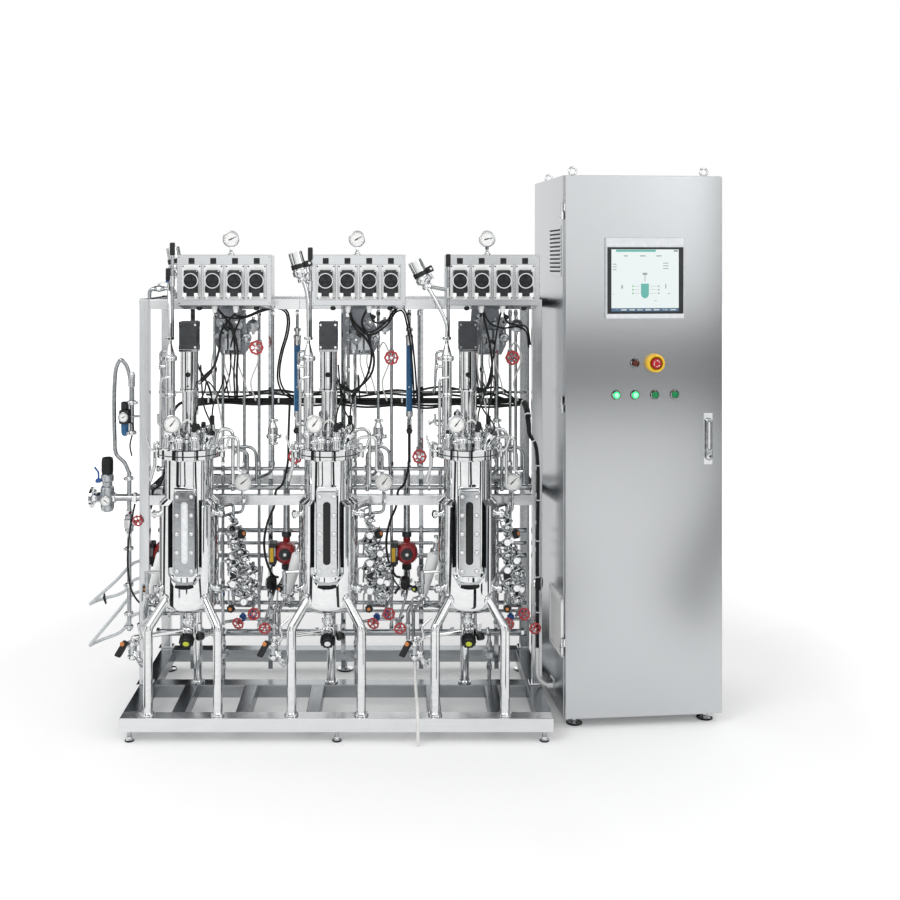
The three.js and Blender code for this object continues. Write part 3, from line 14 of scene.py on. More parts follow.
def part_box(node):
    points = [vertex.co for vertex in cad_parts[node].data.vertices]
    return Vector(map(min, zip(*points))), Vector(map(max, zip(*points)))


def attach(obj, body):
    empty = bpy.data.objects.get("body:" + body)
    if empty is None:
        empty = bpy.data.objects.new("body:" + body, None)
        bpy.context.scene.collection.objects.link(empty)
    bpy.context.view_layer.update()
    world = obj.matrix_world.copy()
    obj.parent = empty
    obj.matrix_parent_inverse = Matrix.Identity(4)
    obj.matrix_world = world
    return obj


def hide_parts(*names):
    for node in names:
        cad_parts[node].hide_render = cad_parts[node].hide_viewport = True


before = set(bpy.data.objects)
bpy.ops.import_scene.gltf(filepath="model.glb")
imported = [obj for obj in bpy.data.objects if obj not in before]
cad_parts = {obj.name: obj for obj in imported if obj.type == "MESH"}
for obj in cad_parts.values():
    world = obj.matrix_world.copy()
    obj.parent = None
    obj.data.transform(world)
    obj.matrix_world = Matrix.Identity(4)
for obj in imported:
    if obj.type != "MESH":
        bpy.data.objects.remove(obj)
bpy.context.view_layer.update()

bl_info = {
    "name": "Bench bioreactor",
    "version": (1, 0, 0),
    "blender": (4, 5, 0),
    "location": "View3D > Sidebar > Bioreactor",
    "description": "Builds the visual pieces of a three-vessel bench bioreactor round its CAD frame",
    "category": "Object",
}

SIDES = ("left", "middle", "right")
UP, FRONT, BACK, ALONG = (0, 0, 1), (0, -1, 0), (0, 1, 0), (1, 0, 0)
axis_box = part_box("agitator_middle")
base_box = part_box("base_frame")
ORIGIN = Vector(((axis_box[0].x + axis_box[1].x) / 2, base_box[0].y, 0))
LAYOUT = Matrix.Translation(ORIGIN) @ Matrix.Scale(0.001, 4)
PITCH = (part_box("agitator_right")[0].x - axis_box[0].x) * 1000
VESSEL_X = {"left": -PITCH, "middle": 0.0, "right": PITCH}
VESSEL_Y = ((axis_box[0].y + axis_box[1].y) / 2 - ORIGIN.y) * 1000
CABINET_YAW = math.radians(5.4)
CABINET_CORNER = (867, 124)
SHARP_FROM = math.radians(32)
DIAL_MARKS = 27


def turned_by(angle, axis):
    return Matrix.Rotation(math.radians(angle), 4, axis)


def move(x, y, z=0):
    return Matrix.Translation((x, y, z))


def up_by(z):
    return Vector((0, 0, z))


CABINET = move(*CABINET_CORNER) @ Matrix.Rotation(CABINET_YAW, 4, "Z")


# ---------- lines ----------

def rounded_line(points, radius, step=18):
    """The corners of a bent tube, with an arc of that radius at each inner one."""
    points = [Vector(p) for p in points]
    line = [points[0]]
    for before, corner, after in zip(points, points[1:], points[2:]):
        a, b = before - corner, after - corner
        turn = math.pi - a.angle(b)
        if turn < 0.02:
            continue
        bend = min(radius, 0.49 * min(a.length, b.length) / math.tan(turn / 2))
        start = corner + a.normalized() * bend * math.tan(turn / 2)
        centre = corner + (a.normalized() + b.normalized()).normalized() * bend / math.cos(turn / 2)
        arm = start - centre
        count = max(2, math.ceil(math.degrees(turn) / step))
        axis = a.cross(arm)
        line += [centre + Matrix.Rotation(turn * k / count, 3, axis) @ arm for k in range(count + 1)]
    return line + [points[-1]]


def flowing_line(points, steps=6):
    """A centripetal Catmull-Rom curve through the points, as the CAD's cords are drawn."""
    points = [Vector(p) for p in points]
    ends = [2 * points[0] - points[1], *points, 2 * points[-1] - points[-2]]
    line = []
    for p0, p1, p2, p3 in zip(ends, ends[1:], ends[2:], ends[3:]):
        t0, t1, t2 = (max((b - a).length, 1e-6) ** 0.5 for a, b in ((p0, p1), (p1, p2), (p2, p3)))
        m1 = ((p1 - p0) / t0 - (p2 - p0) / (t0 + t1) + (p2 - p1) / t1) * t1
        m2 = ((p2 - p1) / t1 - (p3 - p1) / (t1 + t2) + (p3 - p2) / t2) * t1
        for k in range(steps):
            t = k / steps
            line.append(p1 + m1 * t + (3 * (p2 - p1) - 2 * m1 - m2) * t * t + (m1 + m2 - 2 * (p2 - p1))
                        * t ** 3)
    return line + [points[-1]]


# ---------- pieces ----------

def loose_body(points, faces):
    """A bare mesh object to work on."""
    mesh = bpy.data.meshes.new("work")
    mesh.from_pydata(points, [], faces)
    thing = bpy.data.objects.new("work", mesh)
    bpy.context.scene.collection.objects.link(thing)
    return thing


class Maker:
    """Collects the parts of one piece, finish by finish, and turns them into one mesh for each finish."""

    def __init__(self, name, body="frame", replaces=()):
        self.name, self.body, self.replaces = name, body, replaces
        self.place, self.parts = Matrix(), {}

    def at(self, place):
        """Sets where the next parts go, as a matrix of the layout frame."""
        self.place = place
        return self

    def put(self, finish, points, faces):
        """Adds points of the current place, with their faces, to a finish."""
        points_so_far, faces_so_far = self.parts.setdefault(finish, ([], []))
        first, place = len(points_so_far), LAYOUT @ self.place
        points_so_far.extend(place @ Vector(p) for p in points)
        flip = place.determinant() < 0
        faces_so_far.extend([first + i for i in (reversed(f) if flip else f)] for f in faces)

    def turned(self, finish, profile, start=(0, 0, 0), axis=UP, sides=24):
        """A body turned from (radius, height) points, from its bottom round its outside to its top."""
        spin = Vector(axis).to_track_quat("Z", "Y").to_matrix()
        points, rows = [], []
        for radius, height in profile:
            count = 1 if radius < 1e-6 else sides
            rows.append((len(points), count))
            for k in range(count):
                angle = 2 * math.pi * (k + 0.5) / sides
                points.append(Vector(start) + spin
                              @ Vector((radius * math.cos(angle), radius * math.sin(angle), height)))
        faces = []
        if rows[0][1] > 1:
            faces.append([rows[0][0] + k for k in reversed(range(sides))])
        for (low, low_count), (high, high_count) in zip(rows, rows[1:]):
            for k in range(sides):
                n = (k + 1) % sides
                if low_count == 1:
                    faces.append([low, high + n, high + k])
                elif high_count == 1:
                    faces.append([low + k, low + n, high])
                else:
                    faces.append([low + k, low + n, high + n, high + k])
        if rows[-1][1] > 1:
            faces.append([rows[-1][0] + k for k in range(sides)])
        self.put(finish, points, faces)

    def hollow(self, finish, profile, start=(0, 0, 0), axis=UP, sides=24):
        """A ring turned from a closed outline of (radius, height) points, counted anticlockwise."""
        spin = Vector(axis).to_track_quat("Z", "Y").to_matrix()
        points, faces, rows = [], [], len(profile)
        for radius, height in profile:
            for k in range(sides):
                angle = 2 * math.pi * (k + 0.5) / sides
                points.append(Vector(start) + spin
                              @ Vector((radius * math.cos(angle), radius * math.sin(angle), height)))
        for row in range(rows):
            after = (row + 1) % rows
            for k in range(sides):
                n = (k + 1) % sides
                faces.append([row * sides + k, row * sides + n, after * sides + n, after * sides + k])
        self.put(finish, points, faces)

    def rod(self, finish, start, end, radius, end_radius=None, sides=16, edge=0.6):
        """A round or many-sided bar between two points, with its end edges broken."""
        start, end = Vector(start), Vector(end)
        length = (end - start).length
        far = radius if end_radius is None else end_radius
        edge = min(edge, length / 3, radius / 2, far / 2)
        self.turned(finish, [(radius - edge, 0), (radius, edge), (far, length - edge), (far - edge, length)],
                    start, end - start, sides)

    def tube(self, finish, line, radius, sides=12, bend=None):
        """A tube along a line of points; bend rounds its corners first."""
        line = rounded_line(line, bend) if bend else [Vector(p) for p in line]
        line = [p for i, p in enumerate(line) if i == 0 or (p - line[i - 1]).length > 0.05]
        ways = [(b - a).normalized() for a, b in zip(line, line[1:])]
        ways = [ways[0], *((a + b).normalized() for a, b in zip(ways, ways[1:])), ways[-1]]
        side = ways[0].orthogonal().normalized()
        points, faces = [], []
        for i, (point, way) in enumerate(zip(line, ways)):
            side = (side - way * side.dot(way)).normalized()
            up = way.cross(side)
            wide = radius(i / (len(line) - 1)) if callable(radius) else radius
            points += [point + wide * (side * math.cos(a) + up * math.sin(a))
                       for a in (2 * math.pi * k / sides for k in range(sides))]
        for row in range(len(line) - 1):
            for k in range(sides):
                n = (k + 1) % sides
                a = row * sides
                faces.append([a + k, a + n, a + sides + n, a + sides + k])
        last = len(points) - sides
        faces += [[k for k in reversed(range(sides))], [last + k for k in range(sides)]]
        self.put(finish, points, faces)

    def block(self, finish, low, high, edge=1.0):
        """A box with its edges broken."""
        low, high = [min(a, b) for a, b in zip(low, high)], [max(a, b) for a, b in zip(low, high)]
        edge = min(edge, *((b - a) / 2.5 for a, b in zip(low, high)))
        body = bmesh.new()
        made = bmesh.ops.create_cube(body, size=1)["verts"]
        for v in made:
            v.co = Vector(high[i] if v.co[i] > 0 else low[i] for i in range(3))
        if edge > 0:
            bmesh.ops.bevel(body, geom=body.edges[:], offset=edge, segments=1 if edge < 1.5 else 2,
                            profile=0.5, affect="EDGES")
        body.verts.index_update()
        self.put(finish, [v.co.copy() for v in body.verts], [[v.index for v in f.verts] for f in body.faces])
        body.free()

    def block_on(self, finish, centre, ways, size, edge=1.0):
        """A box of that size about a point, its sides along three directions."""
        turn = Matrix([Vector(way).normalized() for way in ways]).transposed().to_4x4()
        if turn.determinant() < 0:
            turn = turn @ Matrix.Scale(-1, 4, UP)
        place = self.place
        self.place = place @ Matrix.Translation(centre) @ turn
        self.block(finish, [-s / 2 for s in size], [s / 2 for s in size], edge)
        self.place = place

    def take(self, finish, other):
        """Adds another maker's tool, already in its place, to a finish."""
        points, faces = other.parts["tool"]
        points_so_far, faces_so_far = self.parts.setdefault(finish, ([], []))
        first = len(points_so_far)
        points_so_far.extend(points)
        faces_so_far.extend([first + i for i in f] for f in faces)

    def cut(self, finish, tools):
        """Takes the bodies of another maker's tool out of what that finish has so far."""
        body = loose_body(*self.parts[finish])
        knife = loose_body(*tools.parts["tool"])
        taken = body.modifiers.new("Cut", "BOOLEAN")
        taken.operation, taken.solver, taken.object = "DIFFERENCE", "EXACT", knife
        mesh = bpy.data.meshes.new_from_object(body.evaluated_get(bpy.context.evaluated_depsgraph_get()))
        self.parts[finish] = ([v.co.copy() for v in mesh.vertices], [list(p.vertices) for p in mesh.polygons])
        for thing in (body, knife):
            bpy.data.objects.remove(thing)

    def plate(self, finish, outline, low, high, edge=0.8):
        """A flat plate from an anticlockwise XY outline, from height low to high, with its rim broken."""
        outer = [Vector(p).to_2d() for p in outline]
        count, inner = len(outer), []
        for i, here in enumerate(outer):
            a, b = (here - outer[i - 1]).normalized(), (outer[(i + 1) % count] - here).normalized()
            inner.append(here + edge * Vector((-a.y - b.y, a.x + b.x)) / (1 + a.dot(b)))
        rows = [(inner, low), (outer, low + edge), (outer, high - edge), (inner, high)]
        points = [(p.x, p.y, z) for row, z in rows for p in row]
        faces = [[k for k in reversed(range(count))], [3 * count + k for k in range(count)]]
        for row in range(3):
            for k in range(count):
                n = (k + 1) % count
                faces.append([row * count + k, row * count + n, (row + 1) * count + n, (row + 1) * count + k])
        self.put(finish, points, faces)

    def done(self):
        """Makes the meshes, each riding on the piece's body."""
        made = []
        for finish, (points, faces) in self.parts.items():
            name = f"{self.name}.{finish}"
            mesh = bpy.data.meshes.new(name)
            mesh.from_pydata(points, [], faces)
            mesh.shade_smooth()
            mesh.set_sharp_from_angle(angle=SHARP_FROM)
            mesh.validate()
            made.append(finished(name, mesh, finish, self.body))
        if self.replaces:
            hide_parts(*self.replaces)
        return made


def finished(name, mesh, finish, body):
    """An object of that mesh in its finish, riding on a body."""
    piece = bpy.data.objects.new(name, mesh)
    bpy.context.scene.collection.objects.link(piece)
    mesh.materials.clear()
    mesh.materials.append(material(finish))
    piece.modifiers.new("Flat faces", "WEIGHTED_NORMAL").keep_sharp = True
    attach(piece, body)
    return piece


# ---------- finishes ----------

def colour(code):
    """The linear colour of an sRGB hex value."""
    shares = [(code >> shift & 255) / 255 for shift in (16, 8, 0)]
    return (*(c / 12.92 if c <= 0.04045 else ((c + 0.055) / 1.055) ** 2.4 for c in shares), 1.0)


def add(tree, kind, values=None, links=None, **settings):
    """Adds a node with its own settings, its sockets' values and what runs into its sockets."""
    made = tree.nodes.new(kind)
    for name, value in settings.items():
        setattr(made, name, value)
    for name, value in (values or {}).items():
        made.inputs[name].default_value = value
    for name, source in (links or {}).items():
        tree.links.new(source, made.inputs[name])
    return made


def blank(name):
    """A new material with an empty node tree, and the socket its surface goes into."""
    made = bpy.data.materials.new(name)
    made.use_nodes = True
    tree = made.node_tree
    tree.nodes.clear()
    out = add(tree, "ShaderNodeOutputMaterial")
    place = add(tree, "ShaderNodeTexCoord").outputs["Object"]
    return made, tree, out.inputs["Surface"], place


def varied(name, fixed, grain, wear, relief=None, tone=None, rough=None, reach=(0.3, 0.7),
           coloured="Base Color", scratched=False):
    """A material whose grain raises its surface and whose wear varies its tone and roughness.

    grain and wear are the sizes of their features along X, Y and Z in millimetres, then their detail.
    relief is a depth in millimetres and its strength, tone and rough what the wear runs between."""
    made, tree, surface, place = blank(name)
    fields = []
    for *sizes_mm, detail in dict.fromkeys((grain, wear)):
        spread = add(tree, "ShaderNodeMapping", {"Scale": [1000 / size for size in sizes_mm]},
                     {"Vector": place})
        fields.append(add(tree, "ShaderNodeTexNoise", {"Scale": 1.0, "Detail": detail, "Roughness": 0.55},
                          {"Vector": spread.outputs["Vector"]}).outputs["Fac"])
    height, amount = fields[0], fields[-1]
    if scratched:
        share = add(tree, "ShaderNodeMath", {1: 0.35}, {0: amount}, operation="MULTIPLY").outputs[0]
        amount = add(tree, "ShaderNodeMath", {}, {0: height, 1: share}, operation="ADD").outputs[0]
    window = {"From Min": reach[0], "From Max": reach[1]}
    links = {}
    if relief:
        links["Normal"] = add(tree, "ShaderNodeBump", {"Distance": relief[0] / 1000, "Strength": relief[1]},
                              {"Height": height}).outputs["Normal"]
    if tone:
        share = add(tree, "ShaderNodeMapRange", window, {"Value": amount}).outputs["Result"]
        links[coloured] = add(tree, "ShaderNodeMix", {6: colour(tone[0]), 7: colour(tone[1])}, {0: share},
                              data_type="RGBA").outputs[2]
    if rough:
        links["Roughness"] = add(tree, "ShaderNodeMapRange",
                                 {**window, "To Min": rough[0], "To Max": rough[1]},
                                 {"Value": amount}).outputs["Result"]
    body = add(tree, "ShaderNodeBsdfPrincipled", fixed, links)
    tree.links.new(body.outputs["BSDF"], surface)
    return made


def polished_steel(name, dark=0xE8EAEB, light=0xF6F7F7, low=0.03, high=0.06, wave=0.014):
    # AISI 316L, mechanically polished and electropolished to a mirror: it shows its surroundings
    # almost whole, slightly bent by the rolled sheet's waviness, with a faint haze from the last mop.
    return varied(name, {"Metallic": 1.0}, (95, 95, 150, 1.0), (30, 30, 12, 3.0), (wave * 20, 1.0),
                  (dark, light), (low, high))


def brushed_steel(name, grain, dark=0xD4D7D9, light=0xE9EBEC, low=0.16, high=0.28, depth=0.004):
    # AISI 304 tube or sheet, ground with a 240 belt along its length: fine parallel scratches that
    # stretch a highlight across the grain, worn where it is wiped and touched. Real scratches are
    # 0.05 mm apart, drawn here at 0.8 mm to show.
    scratches = [160 if axis == grain else 0.8 for axis in "XYZ"]
    return varied(name, {"Metallic": 1.0}, (*scratches, 3.0), (70, 70, 90, 2.0), (depth * 2, 0.6),
                  (dark, light), (high, low), (0.45, 0.95), scratched=True)


def cast_steel(name):
    # Investment-cast 304 valve and regulator bodies, bead-blasted then passivated: a soft satin
    # skin with a grain of about 0.9 mm, a little darker in patches.
    return varied(name, {"Metallic": 1.0}, (0.9, 0.9, 0.9, 2.0), (14, 14, 14, 2.0), (0.02, 0.5),
                  (0xB9BDC1, 0xDDE0E2), (0.26, 0.42))


def enamel(name, code, shade, rough=0.22, peel=0.05):
    # Stoved enamel sprayed on a casting: an even gloss with orange peel about 3 mm across, and thin
    # enough at the high spots for the tone to vary.
    return varied(name, {"IOR": 1.5, "Coat Weight": 0.25, "Coat Roughness": 0.12}, (3, 3, 3, 1.0),
                  (22, 22, 22, 3.0), (peel, 0.5), (shade, code), (rough * 1.5, rough))


def moulded(name, code, shade, rough=0.42, grain=0.7):
    # Injection-moulded ABS or nylon from a spark-eroded tool: a fine even texture, and a slight sheen
    # that changes where hands and cloths have rubbed it.
    return varied(name, {"IOR": 1.47}, (grain, grain, grain, 2.0), (18, 18, 18, 3.0), (0.03, 0.4),
                  (shade, code), (rough, rough * 0.72))


def extruded_tube(name, code, shade, clear=0.0, rough=0.3):
    # Extruded PVC, polyurethane or silicone: drawn smooth along its length, with faint die lines and
    # a little dust. The clear kinds let some light through and look darker at their edges.
    return varied(name, {"IOR": 1.45, "Transmission Weight": clear}, (2.0, 2.0, 40, 2.0), (9, 9, 9, 3.0),
                  (0.03, 0.4), (shade, code), (rough * 1.4, rough * 0.8))


def drawn_glass(name):
    # Borosilicate, drawn or pressed and fire-polished: clear, with long shallow draw lines.
    draw = (6, 6, 120, 1.0)
    return varied(name, {"Base Color": colour(0xFCFEFE), "IOR": 1.47, "Transmission Weight": 1.0,
                         "Alpha": 0.12},
                  draw, draw, (0.05, 0.3), rough=(0.015, 0.045))


def lit(name, code, centre, strength, grain=1.2, unlit=0x15181A):
    # A lamp behind a prismatic polycarbonate lens or a backlit display: it glows evenly, with the
    # lens's fine pattern over it.
    prisms = (grain, grain, grain, 0.0)
    fixed = {"Base Color": colour(unlit), "IOR": 1.58, "Roughness": 0.2, "Emission Strength": strength}
    return varied(name, fixed, prisms, prisms, (0.05, 0.4), (code, centre), coloured="Emission Color")


# Each finish by name: its slot in the record, how it is made and what that maker is given.
FINISHES = {
    "mirror": ("polished_steel", polished_steel, "Electropolished 316L steel"),
    "fittings": ("polished_steel", polished_steel, "Polished fittings", 0xD6D9DB, 0xECEDEE, 0.05, 0.12, 0.01),
    # One sight glass plate in two tones: flange is darker, painted shade, on the left vessel; plate_pale is
    # paler, painted light, on the others.
    "flange": ("polished_steel", polished_steel, "Ground flange steel", 0xA9ADB0, 0xC2C5C8, 0.14, 0.22,
               0.004),
    "tubing": ("polished_steel", polished_steel, "Polished steel tube", 0xA9ADB0, 0xCBCED0, 0.05, 0.12,
               0.004),
    # Near-white steel for the sight glasses' cap nuts: painted glint.
    "white_steel": ("polished_steel", polished_steel, "Bright cap nuts", 0xF4F5F6, 0xFBFBFC, 0.2, 0.3),
    "dark_steel": ("polished_steel", polished_steel, "Seam and shadow steel", 0x3A3D40, 0x54585C, 0.18, 0.3),
    # Near-black steel over the boss behind the sight glass: painted shade of the recess.
    "boss": ("polished_steel", polished_steel, "Oxidised boss steel", 0x17191B, 0x222427, 0.3, 0.4),
    # Paler plate steel for the middle and right sight glass plates: painted light.
    "plate_pale": ("polished_steel", polished_steel, "Polished flange plate", 0xCDD0D2, 0xDEE0E1, 0.08, 0.14),
    "beam_x": ("brushed_steel", brushed_steel, "Ground steel beam, along", "X", 0xE6E8EA, 0xF4F5F5),
    # The across and under-the-rack beams are the same ground steel in darker tones: painted shade inside the
    # frame.
    "beam_y": ("brushed_steel", brushed_steel, "Ground steel beam, across", "Y", 0x85898D, 0xA2A6AA),
    "beam_back": ("brushed_steel", brushed_steel, "Ground steel beam, under the rack", "X", 0xA4A8AB,
                  0xBCC0C3),
    "beam_z": ("brushed_steel", brushed_steel, "Ground steel post", "Z", 0xD6D8DA, 0xE2E4E5),
    "sheet": ("panel_steel", brushed_steel, "Satin sheet steel", "Z", 0xCFD2D4, 0xD2D4D6, 0.26, 0.27,
              0.00001),
    "sheet_x": ("panel_steel", brushed_steel, "Satin panel steel", "X", 0xDCDFE1, 0xE4E6E8, 0.24, 0.3,
                0.0008),
    "duct_steel": ("panel_steel", brushed_steel, "Bracket steel", "Z", 0x8E9298, 0x9DA1A7, 0.3, 0.4, 0.001),
    "cast": ("brushed_steel", cast_steel, "Blasted cast steel"),
    "motor": ("motor_enamel", enamel, "Charcoal motor enamel", 0x34373B, 0x26282B, 0.34),
    "pump_red": ("pump_enamel", enamel, "Red pump enamel", 0xAE2A2E, 0x8A1D21),
    "wheel_red": ("wheel_enamel", enamel, "Red handwheel enamel", 0xCE4A4C, 0xAE383C, 0.28),
    "black": ("black_plastic", moulded, "Black nylon", 0x1B1C1E, 0x121315),
    "head": ("black_plastic", moulded, "Pump head plastic", 0x2B2D30, 0x1E2022, 0.36),
    "screen_frame": ("screen_plastic", moulded, "Display bezel", 0xCBCED0, 0xBDC1C4, 0.4),
    "motor_plate": ("panel_steel", enamel, "White plate enamel", 0xF4F5F5, 0xEDEEEF, 0.3),
    "stop": ("stop_red", moulded, "Red button cap", 0xC1272B, 0x9E1D21, 0.3),
    "dark_red": ("stop_red", moulded, "Dark red lens", 0x6A2A22, 0x4F1E18, 0.3),
    "green": ("button_green", moulded, "Green button cap", 0x0F8A4E, 0x0B6E3E, 0.3),
    "green_lit": ("button_green", lit, "Lit green lens", 0x1FD06C, 0x2BDC78, 1.7, 1.2, 0x0F8A4E),
    "green_core": ("button_green", lit, "Lit green lens, over the lamp", 0xA6F7C8, 0xC4FBDB, 1.1, 1.2,
                   0x0F8A4E),
    "yellow": ("yellow_plastic", moulded, "Yellow plastic", 0xF4C832, 0xE2B223, 0.35),
    "label": ("yellow_plastic", moulded, "Lime label plastic", 0xD8E04A, 0xBFC93C, 0.4),
    "orange": ("yellow_plastic", moulded, "Orange plastic", 0xD98A4A, 0xC27538, 0.4),
    "blue": ("blue_plastic", enamel, "Blue valve enamel", 0x2D66B0, 0x1F4C8C, 0.3),
    "float_blue": ("blue_plastic", extruded_tube, "Blue flowmeter tube", 0x356A97, 0x275680, 0.0, 0.14),
    # Paler blue for the strip down a flowmeter tube's edge: painted highlight.
    "float_highlight": ("blue_plastic", extruded_tube, "Flowmeter tube edge", 0x7FA9C6, 0x6C9BBD, 0.0, 0.12),
    # Opaque sight glass tones: near-black paints the shade inside a vessel, near-white the light seen through
    # one.
    "sight_dark": ("clear_glass", moulded, "Tempered sight glass, dark vessel behind", 0x0C0E10, 0x08090A,
                   0.08, 4.0),
    "sight_pale": ("clear_glass", moulded, "Tempered sight glass, broth behind", 0xFBFCFC, 0xE3E7E8, 0.1,
                   5.0),
    "cable": ("cable_black", extruded_tube, "Black PVC sheath", 0x17181A, 0x101112, 0.0, 0.34),
    "rubber": ("cable_black", moulded, "Black rubber", 0x151617, 0x0E0F10, 0.6, 1.2),
    "hose": ("air_hose", extruded_tube, "Clear polyurethane hose", 0xE9EDEF, 0xD2D8DB, 0.3, 0.16),
    "silicone": ("white_tube", extruded_tube, "White silicone tube", 0xF4F4F2, 0xE6E6E3, 0.12, 0.36),
    "white": ("white_tube", moulded, "White nylon", 0xF9FAFA, 0xF1F2F2, 0.3),
    "dial": ("white_tube", enamel, "White dial enamel", 0xFAFAF8, 0xF4F4F1, 0.4, 0.0),
    "glass": ("clear_glass", drawn_glass, "Borosilicate glass"),
    "screen": ("screen_plastic", lit, "Backlit screen, pale", 0xEAF4F3, 0xF1F8F7, 0.93, 0.8),
    "silver": ("screen_plastic", moulded, "Silver display trim", 0xE2E4E6, 0xD2D5D8, 0.3),
    "duct": ("screen_plastic", moulded, "Grey wiring duct", 0xB9BDC0, 0xA6ABAF, 0.5),
    "screen_blue": ("screen_plastic", lit, "Backlit screen, blue", 0x3E5F7C, 0x4F7392, 0.9, 0.8),
    "screen_teal": ("screen_plastic", lit, "Backlit screen, teal", 0x5DB3A8, 0x6FC0B5, 0.9, 0.8),
    "screen_grey": ("screen_plastic", lit, "Backlit screen, grey", 0x8F9C9F, 0xA3AFB1, 0.9, 0.8),
    "screen_green": ("screen_plastic", lit, "Backlit screen, green", 0x49B25E, 0x77CE86, 0.9, 0.8),
}
made_materials = {}


def material(finish):
    """The material of a finish, made when it is first asked for."""
    if finish not in made_materials:
        kind, *given = FINISHES[finish][1:]
        made_materials[finish] = kind(*given)
    return made_materials[finish]


# ---------- what repeats ----------

def repeating(name, inputs, item):
    """A Geometry Nodes tree that puts an item on every point of a mesh, its Z along the point's way."""
    tree = bpy.data.node_groups.new(name, "GeometryNodeTree")
    tree.interface.new_socket("Places", in_out="INPUT", socket_type="NodeSocketGeometry")
    for label, value in inputs.items():
        kind = "NodeSocketMaterial" if value is None else f"NodeSocket{type(value).__name__.title()}"
        socket = tree.interface.new_socket(label, in_out="INPUT", socket_type=kind)
        if value is not None:
            socket.default_value = value
    tree.interface.new_socket("Geometry", in_out="OUTPUT", socket_type="NodeSocketGeometry")
    given = add(tree, "NodeGroupInput").outputs
    way = add(tree, "GeometryNodeInputNamedAttribute", {"Name": "way"}, data_type="FLOAT_VECTOR")
    up = add(tree, "GeometryNodeInputNamedAttribute", {"Name": "up"}, data_type="FLOAT_VECTOR")
    size = add(tree, "GeometryNodeInputNamedAttribute", {"Name": "size"}, data_type="FLOAT")
    along = add(tree, "FunctionNodeAlignRotationToVector", {}, {"Vector": way.outputs[0]}, axis="Z")
    turn = add(tree, "FunctionNodeAlignRotationToVector", {},
               {"Rotation": along.outputs[0], "Vector": up.outputs[0]}, axis="X", pivot_axis="Z")
    copies = add(tree, "GeometryNodeInstanceOnPoints", {}, {
        "Points": given["Places"], "Instance": item(tree, given), "Rotation": turn.outputs[0],
        "Scale": size.outputs[0]})
    real = add(tree, "GeometryNodeRealizeInstances", {}, {"Geometry": copies.outputs[0]})
    set_to = add(tree, "GeometryNodeSetMaterial", {},
                 {"Geometry": real.outputs[0], "Material": given["Material"]})
    add(tree, "NodeGroupOutput", {}, {"Geometry": set_to.outputs[0]})
    return tree


def headed(sides, end_sides, shoulder, rise):
    """What makes a fastener's head with a tapered end, on a washer where the tree has one."""
    def item(tree, given):
        rim = add(tree, "ShaderNodeMath", {1: shoulder}, {0: given["Head Radius"]},
                  operation="MULTIPLY").outputs[0]
        tip = add(tree, "ShaderNodeMath", {1: rise}, {0: given["Head Height"]},
                  operation="MULTIPLY").outputs[0]
        end = add(tree, "GeometryNodeMeshCone", {"Vertices": end_sides}, {
            "Radius Bottom": rim, "Radius Top": given["Tip Radius"], "Depth": tip}).outputs["Mesh"]
        parts = add(tree, "GeometryNodeJoinGeometry")
        for kind, count in (("Washer", 16), ("Head", sides)):
            if f"{kind} Radius" in given:
                high = given[f"{kind} Height"]
                body = add(tree, "GeometryNodeMeshCylinder", {"Vertices": count}, {
                    "Radius": given[f"{kind} Radius"], "Depth": high}).outputs["Mesh"]
                # A cylinder is made about its middle, so it moves up by half its height to stand.
                half = add(tree, "ShaderNodeMath", {1: 0.5}, {0: high}, operation="MULTIPLY").outputs[0]
                up = add(tree, "ShaderNodeCombineXYZ", {}, {"Z": half}).outputs[0]
                stood = add(tree, "GeometryNodeTransform", {}, {"Geometry": body, "Translation": up})
                tree.links.new(stood.outputs[0], parts.inputs[0])
        tree.links.new(end, parts.inputs[0])
        return parts.outputs[0]
    return item


def dome_item(tree, given):
    """A cap nut: a low round dome on a flat seat."""
    ball = add(tree, "GeometryNodeMeshUVSphere", {"Segments": 12, "Rings": 8}, {
        "Radius": given["Head Radius"]}).outputs["Mesh"]
    low = add(tree, "ShaderNodeCombineXYZ", {"X": 1.0, "Y": 1.0}, {"Z": given["Flatness"]}).outputs[0]
    dome = add(tree, "GeometryNodeTransform", {}, {"Geometry": ball, "Scale": low}).outputs[0]
    seat = add(tree, "GeometryNodeMeshCylinder", {"Vertices": 16}, {
        "Radius": given["Seat Radius"], "Depth": given["Seat Height"]}).outputs["Mesh"]
    parts = add(tree, "GeometryNodeJoinGeometry")
    for shape in (dome, seat):
        tree.links.new(shape, parts.inputs[0])
    return parts.outputs[0]


def bar_item(tree, given):
    """A small bar: a slat, a rib, a scale mark or a tie."""
    size = add(tree, "ShaderNodeCombineXYZ", {}, {
        "X": given["Length"], "Y": given["Width"], "Z": given["Height"]}).outputs[0]
    return add(tree, "GeometryNodeMeshCube", {}, {"Size": size}).outputs["Mesh"]


def band_item(tree, given):
    """A closed band round a tube: a circle swept by a small section."""
    circle = add(tree, "GeometryNodeCurvePrimitiveCircle", {"Resolution": 20}, {
        "Radius": given["Radius"]}).outputs["Curve"]
    section = add(tree, "GeometryNodeCurvePrimitiveQuadrilateral", {}, {
        "Width": given["Thickness"], "Height": given["Width"]}).outputs["Curve"]
    return add(tree, "GeometryNodeCurveToMesh", {}, {
        "Curve": circle, "Profile Curve": section}).outputs["Mesh"]


